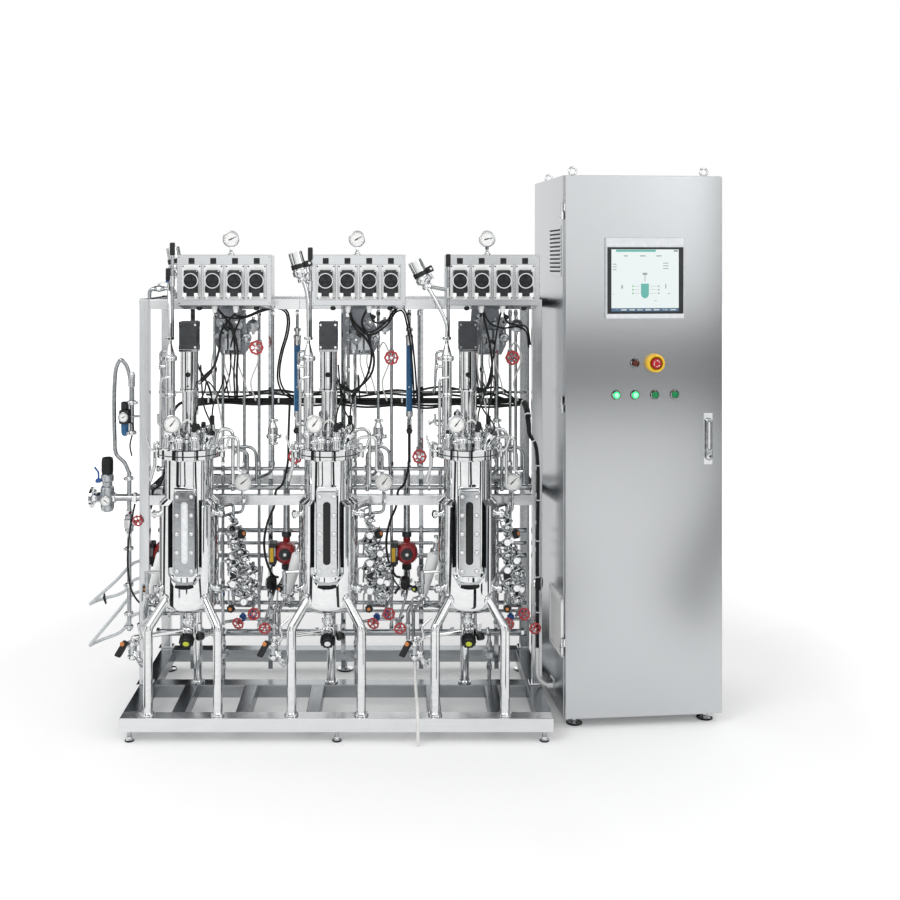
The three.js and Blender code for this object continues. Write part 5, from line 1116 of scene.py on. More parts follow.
def vessel(side, sizes):
    x = VESSEL_X[side]
    at = move(x, VESSEL_Y)
    m = Maker(f"vessel_{side}", "frame", [f"vessel_{side}"]).at(at)
    jacket = [(0, 430), (30, 430.6), (58, 433), (80, 438), (95, 445), (104, 454), (107.8, 462), (JACKET, 471),
              (JACKET, 827), (JACKET - 1, 830.5), (NECK + 1, 848), (NECK - 1, 850.5), (0, 850.5)]
    m.turned("mirror", jacket, sides=112)
    window = Maker("window").at(at)
    near = [(-41, 1000), (-41, 594), (-20, 573), (20, 573), (41, 594), (41, 1000)]
    far = [(-96, 1000), (-96, 571), (-43, 518), (43, 518), (96, 571), (96, 1000)]
    points, faces = box_with(near, -70, far, -125)
    window.put("tool", points, faces)
    m.cut("mirror", window)
    m.turned("mirror", [(0, 500), (NECK, 530), (NECK, 990), (NECK + 3, 996), (NECK + 9, 998),
                        (FLANGE - 1.5, 998),
                        (FLANGE, 999.5), (FLANGE, 1010), (FLANGE - 1.5, 1011.6), (0, 1011.6)], sides=112)
    m.hollow("rubber", [(FLANGE - 4, 1010.6), (FLANGE - 0.4, 1010.6), (FLANGE - 0.4, 1013.4),
                        (FLANGE - 4, 1013.4)], sides=96)
    # The boss behind the sight glass, with the visor on top of it; the near-black skin over the boss, seen as
    # dark bars beside the glass plate, is painted shade of the recess.
    m.block("mirror", (-40, -96, 572), (40, -60, 892), 6)
    m.block("boss", (-40.4, -96.3, 604), (40.4, -60, 868), 2)
    m.block("mirror", (-36, -112, 889), (36, -76, 903), 3)
    for angle in (90, 226, 314):
        foot = around(180, angle)
        low, bend, top = foot + up_by(99), foot + up_by(402), around(97, angle, 492)
        m.tube("mirror", rounded_line([low, bend, top], 26, 12), 17, 28)
        m.turned("mirror", [(17, 0), (20, 0.6), (17.2, 5)], low, sides=28)
        m.turned("mirror", [(24, 0), (25, 0.8), (25, 5.5), (23.5, 7)], foot + up_by(92.4), sides=36)
        ring_of("hex", "mirror", foot + up_by(99.4), UP, 20.6, 3, 3.4, angle, at)
        # The pad where the leg is welded to the jacket.
        m.turned("mirror", [(26, 0), (26, 2.2), (22, 4.5), (17, 5.5)], around(106.5, angle, 486),
                 around(1, angle, -0.16), 28)
    ring_of("dome", "mirror", (0, 0, HEAD_TOP), UP, 107, sizes.flange_bolts, 5.6, 22.5, at)
    # Lifting hooks and the swing bolts at the two ends of the flange.
    for way in (-1, 1):
        hook = [(way * 112, -16, 1022), (way * 124, -20, 1018), (way * 139, -26, 1030),
                (way * 147, -30, 1054), (way * 152, -32, 1070), (way * 150, -32, 1077)]
        m.tube("mirror", flowing_line(hook), 4.6, 14)
        m.block_on("mirror", Vector((way * 118, 4, 1016)), (ALONG, BACK, UP), (20, 22, 48), 5)
        m.block_on("black", Vector((way * 126, 4, 1007)), (ALONG, BACK, UP), (8, 17, 34), 3.4)
        mark("dome", "mirror", (way * 118, 4, 1040), UP, 8, place=at)
    # Jacket and sampling branches on the sides.
    for angle, z, long in ((196, 790, 34), (-14, 792, 34), (-22, 520, 30), (202, 520, 30)):
        start, out = around(JACKET - 6, angle, z), around(1, angle)
        ferrule(m, "mirror", start, start + out * long, 10, (0.72,), 16)
    outlet(m, side)
    m.done()

    m = Maker(f"sight_glass_{side}", "frame", [f"sight_glass_{side}"]).at(at)
    corners = []
    for cx, cz, start in ((26, 592, -90), (26, 874, 0), (-26, 874, 90), (-26, 592, 180)):
        corners += [(cx + 12 * math.cos(math.radians(start + a)), cz + 12 * math.sin(math.radians(start + a)))
                    for a in range(0, 91, 15)]
    m.at(at @ move(0, -96.4, 0) @ turned_by(90, "X"))
    # The plate's tone paints its reflection: darker, painted shade, on the left vessel; paler, painted light,
    # on the others.
    steel = "flange" if side == "left" else "plate_pale"
    m.plate(steel, [(px, pz) for px, pz in corners], 0, 12, 2.6)
    m.at(at)
    slot = Maker("slot").at(at)
    outline = slot_outline(12, 624, 849)
    points, faces = box_with(outline, -101, [(px * 1.14, 736.5 + (pz - 736.5) * 1.012) for px, pz in outline],
                             -109)
    slot.put("tool", points, faces)
    m.cut(steel, slot)
    # The glass is an opaque plate: near-black on the middle and right vessels paints the shade inside them,
    # near-white on the left paints the light seen through it.
    inner = slot_outline(12.6, 623, 850)
    points, faces = box_with(inner, -100.6, inner, -101.4)
    m.put("sight_pale" if side == "left" else "sight_dark", points, faces)
    m.done()
    rows = sizes.glass_bolts
    # Each cap nut is near-white, a painted glint, and sits in a dark steel band that paints its shadow ring.
    for way in (-1, 1):
        for k in range(rows):
            mark("dome", "white_steel", (way * 26, -108.2, 600 + k * (868 - 600) / (rows - 1)), FRONT, 6.6,
                 place=at, Flatness=0.7)
            mark("band", "dark_steel", (way * 26, -108.5, 600 + k * (868 - 600) / (rows - 1)), FRONT, 8.2,
                 place=at, Radius=1.0, Thickness=0.24, Width=0.16)


def outlet(m, side):
    """The bottom outlet, its cranked pipe, the drain valve with its knob and the harvest valve."""
    cap = {"left": "label", "middle": "white", "right": "label"}[side]
    m.turned("mirror", [(28, 432), (26, 420), (19, 414), (15, 396), (15, 356)][::-1], sides=28)
    clamp(m, "mirror", (0, 0, 392), UP, 25, 15)
    m.block("mirror", (-22, -22, 340), (22, 22, 372), 5)
    m.rod("mirror", (0, -20, 352), (0, -44, 340), 15, sides=24, edge=2)
    hand_knob(m, "black", Vector((0, -40, 342)), (0, -0.88, -0.48), 27, 34, cap, 12)
    m.rod("mirror", (40, -20, 385), (40, -20, 350), 9, sides=20)
    hand_knob(m, "black", Vector((42, -24, 352)), (0.2, -0.5, -0.84), 16, 26, None, 8)
    valve = Vector((-196, -62, 300))
    m.tube("mirror", [(-18, -4, 352), (-80, -26, 350), (-196, -62, 346), valve + up_by(30)], 8.5, 20, 24)
    m.rod("mirror", valve + up_by(-34), valve + up_by(34), 11, sides=24)
    for height in (26, -22):
        clamp(m, "mirror", valve + up_by(height), UP, 19, 11, (1, -0.6, 0))
    m.rod("cast", valve + up_by(-14), valve + up_by(18), 16, sides=24, edge=2)
    m.rod("mirror", valve + up_by(4), valve + Vector((28, -18, -20)), 9, sides=20)
    clamp(m, "mirror", valve + Vector((20, -13, -12)), (28, -18, -24), 16, 9, (0, -1, 1))
    m.rod("mirror", valve + Vector((-6, -6, 8)), valve + Vector((-24, -16, 26)), 7, sides=16)
    m.block_on("black", valve + Vector((-34, -20, 12)), ((0.5, 0.2, 0.85), (0, 1, -0.2), (1, 0, -0.4)),
               (62, 20, 24), 5)
    m.rod("orange", valve + Vector((-30, -31, 34)), valve + Vector((-30, -35, 34)), 8, sides=20)
    m.tube("mirror", [valve + Vector((16, -6, 30)), valve + Vector((34, -14, 52)),
                      valve + Vector((24, -10, 88)), valve + Vector((60, 0, 120))], 5, 14, 14)
    ball_valve(m, valve + Vector((34, -22, -34)), (0.6, -0.3, -0.7), 12, (1, 0, 0.4), "tubing", 34,
               (0, -1, 0.3))


# ---------- lids ----------

def head_plate(side):
    x = VESSEL_X[side]
    at = move(x, VESSEL_Y)
    m = Maker(f"head_plate_{side}", "frame", [f"head_plate_{side}"]).at(at)
    m.turned("mirror", [(NECK - 4, 1012.9), (FLANGE - 1.2, 1012.9), (FLANGE, 1014), (FLANGE, 1032),
                        (FLANGE - 3, HEAD_TOP), (0, HEAD_TOP)], sides=112)
    m.hollow("mirror", [(9, HEAD_TOP - 2), (34, HEAD_TOP - 2), (34, 1049), (32.5, 1050.3), (9, 1050.3)],
             sides=40)
    for number, (angle, height) in enumerate(PORTS):
        foot = around(84, angle)
        low, top = foot + up_by(HEAD_TOP - 1), foot + up_by(HEAD_TOP + height)
        m.turned("mirror", [(17, 0), (13.4, 3), (13, 4), (13, height - 9)], low, sides=28)
        m.hollow("rubber", [(12, height - 6.6), (18.6, height - 6.6), (18.6, height - 5.4),
                            (12, height - 5.4)], low, sides=24)
        clamp(m, "mirror", top - up_by(6), UP, 19, 13, around(1, angle + 40 * number))
        lid_fitting(m, number, top)
    # The second row of short ports between and behind the first.
    for angle, height in ((190, 44), (233, 62), (272, 36), (312, 70), (352, 46), (38, 66), (86, 58),
                          (138, 52)):
        low = around(58, angle) + up_by(HEAD_TOP - 1)
        top = low + up_by(height)
        m.rod("tubing", low, top, 9.5, sides=20)
        m.hollow("rubber", [(9, -3.4), (13.4, -3.4), (13.4, -1.6), (9, -1.6)], top, UP, 20)
        clamp(m, "fittings", top - up_by(10), UP, 14, 9, around(1, angle + 60))
        m.turned("black" if height > 60 else "fittings", [(9, 0), (9, 9), (7.4, 11), (5, 18)], top, sides=20)
    # The condenser's tall riser, with its cone and vent pipe.
    foot = Vector((-76, 22, 0))
    m.turned("mirror", [(19, 0), (19, 4), (18.5, 5), (18.5, 334), (17.6, 337), (7.4, 374), (7, 377),
                        (7, 387)],
             foot + up_by(HEAD_TOP - 1), sides=36)
    for z, radius in ((1068, 27), (1356, 26), (1220, 21)):
        clamp(m, "mirror", foot + up_by(z), UP, radius, 18.5, (-1, -0.4, 0))
    m.tube("mirror", [foot + Vector((-17, 0, 1108)), foot + Vector((-44, -6, 1108)),
                      foot + Vector((-44, -6, 1150))], 5, 12, 12)
    m.rod("mirror", foot + Vector((-17, 0, 1326)), foot + Vector((-36, 0, 1326)), 6, sides=16)
    clamp(m, "mirror", foot + Vector((-36, 0, 1326)), ALONG, 13, 6)
    # A tall addition pipe with an elbow, beside the riser.
    m.tube("mirror", [(-104, -10, HEAD_TOP + 6), (-104, -10, 1250), (-104, -10, 1286), (-70, -14, 1290)],
           5.5, 16, 22)
    # The lamp: a lens in a short tilted barrel.
    lamp = Vector((66, -38, HEAD_TOP + 22))
    lean = Vector((0.42, -0.5, 0.76)).normalized()
    m.rod("mirror", (58, -30, HEAD_TOP), lamp, 15, sides=28)
    m.turned("mirror", [(16, 0), (22, 3), (23, 8), (23, 46), (21, 50), (18, 51)], lamp, lean, 40)
    m.turned("glass", [(17, 49), (17, 52), (11, 54)], lamp, lean, 36)
    m.tube("cable", flowing_line([lamp + lean * 50, lamp + lean * 66 + up_by(6), (52, 10, 1180),
                                  (40, 30, 1260), (34, 44, 1330)]), 3, 10)
    gauge(m, (-46, -96, 1128), (0, -1, 0.06), 31, (-46, -84, 1078), 38)
    m.rod("mirror", (-46, -84, HEAD_TOP), (-46, -84, 1082), 8, sides=20)
    clamp(m, "mirror", (-46, -84, 1062), UP, 17, 8)
    # The cranked inlet pipes down both sides of the vessel.
    m.tube("mirror", [(88, 60, HEAD_TOP), (96, 66, 1086), (150, 72, 1086), (150, 72, 880)], 7, 16, 26)
    m.tube("mirror", [(104, 30, HEAD_TOP), (112, 30, 1060), (176, 30, 1066), (176, 30, 934), (206, 40, 934)],
           6, 16, 22)
    m.tube("mirror", [(-110, 30, HEAD_TOP - 4), (-134, 26, 1046), (-134, 26, 960), (-150, 20, 900)],
           7, 16, 22)
    m.done()


def lid_fitting(m, number, top):
    """What stands on a lid port: a probe head, a blind cap, a bent addition pipe or a needle."""
    kind = number % 5
    if kind == 0:
        m.rod("mirror", top, top + up_by(20), 12, sides=24, edge=1.5)
        m.rod("black", top + up_by(20), top + up_by(52), 9, sides=20, edge=1.5)
        m.tube("cable", flowing_line([top + up_by(50), top + Vector((4, 4, 90)), top + Vector((30, 40, 160)),
                                      top + Vector((26, 120, 190)), (top.x * 0.6 + 60, 280, 1166)]), 3, 10)
    elif kind == 1:
        m.turned("mirror", [(15, 0), (15, 6), (11, 9), (6, 10), (6, 18), (9, 20), (9, 25), (5, 28)], top,
                 sides=24)
    elif kind == 2:
        m.tube("mirror", [top, top + up_by(26), top + Vector((0, 26, 40)), top + Vector((0, 60, 40))],
               6, 16, 18)
        clamp(m, "mirror", top + Vector((0, 48, 40)), BACK, 14, 6, UP)
    elif kind == 3:
        m.rod("mirror", top, top + up_by(14), 13, sides=6, edge=1)
        m.rod("mirror", top + up_by(14), top + up_by(34), 7, sides=20)
        m.rod("mirror", top + Vector((-14, 0, 26)), top + Vector((14, 0, 26)), 3, sides=12)
    else:
        m.turned("mirror", [(14, 0), (14, 5), (8, 8), (8, 16)], top, sides=24)
        m.tube("silicone", flowing_line([top + up_by(14), top + Vector((4, -4, 46)),
                                         top + Vector((34, -6, 70)),
                                         top + Vector((62, 8, 20)), top + Vector((66, 20, -70))]), 3.2, 10)


# ---------- agitators and drives ----------

def agitator(side):
    name = f"agitator_{side}"
    m = Maker(name, name, [name]).at(move(VESSEL_X[side], VESSEL_Y))
    m.rod("mirror", (0, 0, 505), (0, 0, 1318), 8, sides=28)
    for z in (545, 700):
        m.hollow("mirror", [(8, z - 12), (14, z - 12), (15, z - 10), (15, z + 10), (14, z + 12), (8, z + 12)],
                 sides=28)
        for k in range(6):
            way, side_way = around(1, 60 * k), around(1, 60 * k + 90)
            m.block_on("mirror", way * 26.6 + up_by(z), (way, side_way, UP), (26.4, 3, 20), 0.5)
        m.rod("mirror", (0, 14, z), (0, 17, z), 2.4, sides=12, edge=0.4)
    m.rod("mirror", (0, 0, 1290), (0, 0, 1312), 14, sides=28, edge=1.5)
    m.done()


def drive(side):
    name = f"drive_{side}"
    at = move(VESSEL_X[side], VESSEL_Y)
    m = Maker(name, "frame", [name]).at(at)
    m.hollow("mirror", [(10, 1050.7), (33, 1050.7), (33, 1061), (31.5, 1062.5), (26.5, 1063), (26.5, 1238),
                        (10, 1238)],
             sides=48)
    m.hollow("mirror", [(18, 1238), (33, 1238), (34, 1240), (34, 1246), (32.5, 1248), (32.5, 1384),
                        (18, 1384)], sides=56)
    hole = Maker("hole").at(at)
    hole.rod("tool", (0, -40, 1300), (0, 0, 1300), 9.6, sides=28, edge=0)
    m.cut("mirror", hole)
    # A black lining inside the tube round its window paints the shade inside the housing.
    m.hollow("black", [(16.6, 1280), (17.9, 1280), (17.9, 1320), (16.6, 1320)], sides=40)
    for z in (1245, 1120):
        m.hollow("dark_steel", [(25, z), (34.3 if z > 1200 else 27.1, z),
                                (34.3 if z > 1200 else 27.1, z + 1.2), (25, z + 1.2)],
                 sides=48)
    m.rod("mirror", (0, -34.5, 1258), (0, -31, 1258), 4, sides=16)
    # Slotted bracket down the tube's right side.
    m.block("mirror", (27, -10, 1150), (33, 8, 1236), 2)
    m.block("black", (30, -11.5, 1168), (34, -9.5, 1218), 0.6)
    # The servo motor: square flange, finned body and its four corner screws.
    m.block("tubing", (-34, -34, 1384), (34, 34, 1393), 1.5)
    m.block("motor", (-33, -33, 1393), (33, 33, 1478), 3)
    m.block("motor", (-34, -34, 1470), (34, 34, 1495), 4)
    m.block("motor", (-34, -34, 1393), (34, 34, 1408), 2)
    for sx in (-1, 1):
        for z in (1401, 1483):
            mark("cap", "mirror", (sx * 27, -34, z), FRONT, 4.4, place=at)
        for k in range(6):
            m.block("motor", (sx * 33, -24 + k * 9, 1412), (sx * 34.2, -20 + k * 9, 1466), 0.4)
    m.rod("black", (20, 30, 1488), (20, 46, 1488), 8, sides=20)
    m.tube("cable", flowing_line([(20, 44, 1488), (20, 66, 1484), (10, 110, 1440), (0, 160, 1330),
                                  (30, 240, 1230), (40, 278, 1172)]), 4.2, 12)
    m.done()


FILTERS = {"left": ((-8, 183, 246), 10, (-8, 38, 202)), "middle": ((-22, 4, 228), 16, (-6, 0, 178)),
           "right": ((-74, 2, 203), 27, (-36, 0, 138))}


def exhaust_filter(side):
    """The leaning off-gas filter on its vent pipe, with the black band that holds it."""
    name = f"exhaust_filter_{side}"
    offset, lean, bend = FILTERS[side]
    riser = Vector((VESSEL_X[side] - 76, VESSEL_Y + 22, 1422.3))
    foot, axis = riser + Vector(offset), Vector((-math.sin(math.radians(lean)), 0,
                                                 math.cos(math.radians(lean))))
    m = Maker(name, "frame", [name])
    route = [riser, riser + up_by(55), riser + Vector(bend), foot + axis * 4]
    m.tube("mirror", flowing_line(route, 8), 7, 18)
    clamp(m, "mirror", riser + up_by(8), UP, 16, 7)
    # The straight stem beside the filter, with the black lever valve on its top.
    stem = riser + Vector((6, 14, 0))
    top_z = foot.z + 74
    m.rod("tubing", stem + up_by(10), (stem.x, stem.y, top_z), 6.5, sides=20)
    m.rod("mirror", (stem.x, stem.y, foot.z - 46), (stem.x, stem.y, foot.z - 6), 9, sides=20, edge=1)
    m.block("black", (stem.x - 9, stem.y - 10, top_z - 4), (stem.x + 9, stem.y + 10, top_z + 44), 4)
    m.rod("tubing", (stem.x, stem.y, foot.z - 16), foot - axis * 2, 7, sides=18)
    m.at(move(*foot) @ turned_by(-lean, "Y"))
    m.turned("mirror", [(8, -6), (9, 0), (18, 6), (24, 16), (26, 21), (26, 99), (25, 103), (22, 104)],
             sides=48)
    clamp(m, "mirror", (0, 0, -4), UP, 19, 8, (0.4, -1, 0))
    clamp(m, "mirror", (0, 0, 24), UP, 29.5, 25, (0.7, -1, 0))
    m.hollow("black", [(25, 40), (29, 40), (29, 58), (25, 58)], sides=40)
    m.block("black", (24, -11, 38), (50, 11, 62), 3)
    mark("cap", "mirror", (42, -11, 50), FRONT, 4.5, place=m.place)
    m.done()
# ---------- pump panels ----------

PANEL_X = {"left": -391, "middle": 109, "right": 609}
PUMP_OFFSETS = (-121.5, -40.5, 40.5, 121.5)
PUMP_AXIS_Z = 1644
TRUNK_Z, DROP_Y = 1165, 303.7


def pump_panel(side):
    name = f"pump_panel_{side}"
    x = PANEL_X[side]
    at = move(x, 0, 0)
    m = Maker(name, "frame", [name]).at(at)
    # The casing, folded from one sheet, with its deeper back edge.
    front, back = 195, 315.7
    profile = [(front, 1553), (back, 1533), (back, 1739), (front, 1739)]
    m.at(at @ move(-175, 0, 0) @ Matrix(((0, 0, 1, 0), (1, 0, 0, 0), (0, 1, 0, 0), (0, 0, 0, 1))))
    m.plate("sheet_x", profile, 0, 350, 1.6)
    m.at(at)
    m.block("sheet_x", (-175.6, front - 1.2, 1551.5), (175.6, front + 3, 1740.5), 1.0)
    for dx in PUMP_OFFSETS:
        m.block("motor_plate", (dx - 36, 190.4, 1573), (dx + 36, 194.2, 1704), 1.2)
        # A black backing a little larger than the white plate shows round its edges: painted shadow line.
        m.block("black", (dx - 36.8, 193, 1572.2), (dx + 36.8, 194.4, 1704.8), 0.2)
        # The pump head: a dark housing with a round bore, its ring, and two white tube clips.
        head = Maker("head").at(at)
        head.block("tool", (dx - 26, 171, 1586), (dx + 26, 190.6, 1684), 5)
        bore = Maker("bore").at(at)
        bore.rod("tool", (dx, 160, PUMP_AXIS_Z), (dx, 183, PUMP_AXIS_Z), 25, sides=40, edge=0)
        head.cut("tool", bore)
        m.take("head", head)
        m.hollow("silver", [(25.2, -0.8), (27, -1.8), (28.6, -0.8), (28.6, 1.4), (25.2, 1.4)],
                 (dx, 171, PUMP_AXIS_Z), FRONT, 40)
        m.block("head", (dx - 20, 168.6, 1588), (dx + 20, 171.6, 1612), 1.4)
        for way in (-1, 1):
            m.block("white", (dx + way * 21 - 7, 165, 1584), (dx + way * 21 + 7, 172, 1599), 2)
            m.rod("silicone", (dx + way * 21, 170, 1592), (dx + way * 21, 166, 1575), 3.6, sides=14)
            m.block("black", (dx + way * 24 - 3, 167.6, 1603), (dx + way * 24 + 3, 171.5, 1622), 1)
            for z in (1579.5, 1697.5):
                mark("cap", "dark_steel", (dx + way * 31, 190.4, z), FRONT, 2.6, place=at)
            mark("cap", "mirror", (dx + way * 22.5, 171, 1680), FRONT, 2.4, place=at)
        # The switch over the pump: four square keys in a black frame.
        m.block("black", (dx - 11, 190.4, 1706.5), (dx + 11, 194, 1728.5), 1.2)
        for kx in (-5, 5):
            for kz in (1712.5, 1722.5):
                m.block("head", (dx + kx - 4.2, 188.6, kz - 4.2), (dx + kx + 4.2, 191, kz + 4.2), 1)
    for sx in (-168, 168):
        for z in (1560, 1732):
            mark("cap", "tubing", (sx, front - 1.2, z), FRONT, 2.6, place=at)
    # Underneath: two white glands with their cables and two black knobs.
    for dx in (-40, 40):
        m.turned("white", [(9, 0), (11, 1), (11, 12), (9, 14), (9, 22), (6, 27)], (dx, 222, 1550), (0, 0, -1),
                 24)
    for dx in (-95, 118):
        m.rod("mirror", (dx, 214, 1552), (dx, 210, 1543), 6, sides=20)
        hand_knob(m, "black", (dx, 211, 1546), (0, -0.45, -0.9), 10, 12, None, 8)
    # The gauge on top.
    gx = {"left": 20, "middle": -6, "right": -17}[side]
    gauge(m, (gx, 236, 1800), FRONT, 30, (gx, 236, 1740), {"left": 66, "middle": 62, "right": 80}[side])
    m.turned("mirror", [(13, 0), (13, 5), (9, 7), (9, 12), (6, 14)], (gx, 236, 1739), sides=24)
    m.done()
    loom(side, x)


# The routes of the cables under each panel, from its middle: thickness, then the points.
LOOMS = {
    "left": (
        (4.4, (-40, 222, 1552), (-7, 262, 1502), (10, 290, 1477), (25, 300, 1431), (34, 310, 1373),
         (27, 340, 1297), (15, 430, 1176)),
        (3.6, (40, 222, 1552), (38, 240, 1525), (6, 275, 1490), (17, 305, 1438), (23, 318, 1368),
         (14, 350, 1289), (7, 430, 1176)),
        (3.6, (-40, 224, 1552), (-11, 262, 1509), (57, 290, 1500), (124, 310, 1524), (181, 330, 1535),
         (213, 340, 1521),
         (221, 350, 1489), (214, 360, 1435), (194, 370, 1368), (180, 390, 1300), (178, 410, 1247),
         (196, 425, 1199),
         (238, 440, 1172)),
        (3.6, (40, 224, 1552), (34, 252, 1513), (66, 290, 1506), (126, 306, 1530), (184, 322, 1542),
         (219, 336, 1527),
         (229, 346, 1490), (222, 356, 1434), (202, 366, 1368), (188, 386, 1300), (187, 408, 1250),
         (205, 424, 1206),
         (250, 440, 1174)),
        (4.4, (2, 280, 1489), (-28, 300, 1446), (-34, 290, 1378), (-50, 270, 1319), (-73, 250, 1287),
         (-97, 235, 1262)),
        (3.4, (45, 300, 1500), (3, 350, 1393), (-5, 380, 1286), (-44, 430, 1176))),
    "middle": (
        (3.6, (-40, 222, 1552), (-11, 262, 1475), (41, 290, 1435), (105, 310, 1472), (141, 330, 1521),
         (164, 340, 1525), (187, 360, 1450), (203, 390, 1324), (212, 430, 1176)),
        (3.6, (-40, 224, 1552), (-16, 258, 1485), (40, 284, 1447), (100, 304, 1482), (136, 322, 1530),
         (168, 334, 1534), (196, 354, 1452), (213, 384, 1324), (224, 428, 1176)),
        (4.4, (40, 222, 1552), (12, 250, 1487), (34, 290, 1432), (47, 310, 1365), (33, 340, 1286),
         (4, 380, 1231), (-44, 430, 1176)),
        (4.4, (-40, 222, 1550), (-19, 262, 1471), (26, 290, 1420), (56, 310, 1350), (41, 330, 1275),
         (-28, 300, 1221), (-78, 245, 1250)),
        (3.4, (40, 222, 1550), (57, 262, 1487), (110, 290, 1489), (144, 320, 1533))),
    "right": (
        (3.6, (-40, 222, 1552), (-4, 262, 1483), (48, 290, 1462), (104, 320, 1465), (148, 376, 1440),
         (160, 400, 1380)),
        (3.6, (40, 222, 1552), (60, 262, 1488), (102, 300, 1473), (150, 376, 1458), (166, 400, 1390)),
        (4.4, (-40, 222, 1550), (-19, 262, 1471), (-1, 290, 1394), (5, 290, 1277), (-26, 270, 1224),
         (-66, 240, 1239)),
        (3.6, (40, 222, 1550), (25, 280, 1455), (16, 310, 1369), (0, 350, 1258), (-21, 430, 1176)))}


def loom(side, x):
    """The black cables that drop from a panel's glands to the trunk behind, and what hangs there."""
    m = Maker(f"panel_cables_{side}", "frame")
    for radius, *route in LOOMS[side]:
        m.tube("cable", flowing_line([(x + dx, y, z) for dx, y, z in route], 6), radius, 12)
    # The sensor cable's moulded plug at the drive.
    route = LOOMS[side][{"left": 4, "middle": 3, "right": 2}[side]]
    before, end = (Vector((x + dx, y, z)) for dx, y, z in route[-2:])
    way = (end - before).normalized()
    m.rod("black", end - way * 44, end - way * 6, 8.6, sides=24, edge=2)
    m.rod("mirror", end - way * 6, end + way * 8, 7.6, sides=24, edge=1)
    m.rod("black", end - way * 62, end - way * 44, 6.4, 8.2, 20, 0.6)
    # Mounting plate with its solenoid valves behind the loops, and three round line regulators beside them.
    outline = [(-64, 1540), (-70, 1460), (-62, 1392), (-40, 1352), (52, 1352), (70, 1390), (70, 1450),
               (46, 1492), (40, 1540)]
    m.at(move(x, 392, 0) @ turned_by(90, "X"))
    m.plate("duct_steel", outline, 0, 4, 1.2)
    m.at(Matrix())
    for k in range(3):
        m.block("cast", (x - 34 + 26 * k, 350, 1372), (x - 12 + 26 * k, 388, 1420), 3)
        m.block("duct", (x - 32 + 26 * k, 344, 1420), (x - 14 + 26 * k, 372, 1450), 3)
        m.rod("mirror", (x - 23 + 26 * k, 369, 1372), (x - 23 + 26 * k, 369, 1360), 6, sides=6)
        m.tube("silicone", flowing_line([(x - 23 + 26 * k, 369, 1362), (x - 24 + 26 * k, 366, 1320),
                                         (x - 10 + 28 * k, 384, 1260), (x - 6 + 34 * k, 404, 1200)]), 2.6, 10)
    for dx, z in ((26, 1468), (-40, 1480), (58, 1420)):
        m.turned("cast", [(8, 0), (17, 3), (20, 8), (20, 18), (16, 24), (9, 27), (7, 40), (0, 41)],
                 (x + dx, 388, z), (0.1, -1, -0.1), 28)
        m.rod("mirror", (x + dx, 372, z - 30), (x + dx, 372, z + 30), 4.5, sides=14)
    m.done()


def pump_rotor(side, index):
    name = f"pump_rotor_{side}_{index + 1}"
    dx = PANEL_X[side] + PUMP_OFFSETS[index]
    m = Maker(name, name, [name]).at(move(dx, 182.7, PUMP_AXIS_Z) @ turned_by(90, "X"))
    m.turned("head", [(23, 0), (24.4, 0.8), (24.4, 6), (23.4, 7), (21, 7), (20.2, 6.2), (8, 6.2), (7.4, 7.4),
                      (5, 8)],
             sides=40)
    for angle in (90, 210, 330):
        m.turned("black", [(6, 6), (6, 10.2), (5.2, 11), (2.4, 11), (2, 10.4)], around(15, angle), sides=20)
        arm, across_arm = around(1, angle), around(1, angle + 90)
        m.block_on("black", arm * 9 + up_by(8), (arm, across_arm, UP), (12, 7, 2.4), 0.6)
    m.rod("dark_steel", (0, 0, 6), (0, 0, 9.4), 3.4, sides=6, edge=0.5)
    m.done()


# ---------- frames ----------

def beams(m, rows, edge=3.0):
    """Square tube: each row has its grain's axis, lowest and highest corner."""
    for grain, low, high in rows:
        m.block(f"beam_{grain}", low, high, edge)


def base_frame():
    m = Maker("base_frame", "frame", ["base_frame"])
    z0, z1 = 42, 92
    # The side, cross, middle and rear beams take the darker tones: painted shade inside the frame.
    beams(m, [("x", (-735, 0, z0), (810, 60, z1)), ("back", (-735, 700, z0), (810, 760, z1)),
              ("back", (-676, 316, z0), (751, 376, z1)),
              ("y", (-735, 59, z0), (-675, 701, z1)), ("y", (750, 59, z0), (810, 701, z1))])
    beams(m, [("y", (x - 25, 58, z0 + 0.4), (x + 25, 318, z1 - 0.4)) for x in (-535, -305, -50, 388, 613)])
    # Ground weld seams where the beams meet.
    for x in (-675, 750):
        for y in (0, 760):
            m.tube("dark_steel", [(x, min(y, 59.4) if y == 0 else 700.6, z1 + 0.1),
                                  (x, 30 if y == 0 else 730, z1 + 0.1),
                                  (x, 1 if y == 0 else 759, z1 + 0.1)], 0.5, 6)
    for x in (-705, 37.5, 780):
        for y, pad in ((30, 17), (730, 34)):
            m.turned("rubber", [(pad - 1, 0), (pad, 1.5), (pad, 4), (pad - 1.5, 5)], (x, y, 0), sides=36)
            m.turned("mirror", [(pad - 2, 5), (pad - 1.5, 6.2), (pad * 0.62, 9.5), (9.5, 12), (9, 16)],
                     (x, y, 0), sides=36)
            m.rod("tubing", (x, y, 14), (x, y, 43), 6.6, sides=20)
            m.rod("mirror", (x, y, 33), (x, y, 41.6), 11, sides=6, edge=1)
            for k in range(7):
                mark("band", "tubing", (x, y, 17 + 2.3 * k), UP, 6.8, Radius=1.0, Thickness=0.12, Width=0.14)
    m.done()


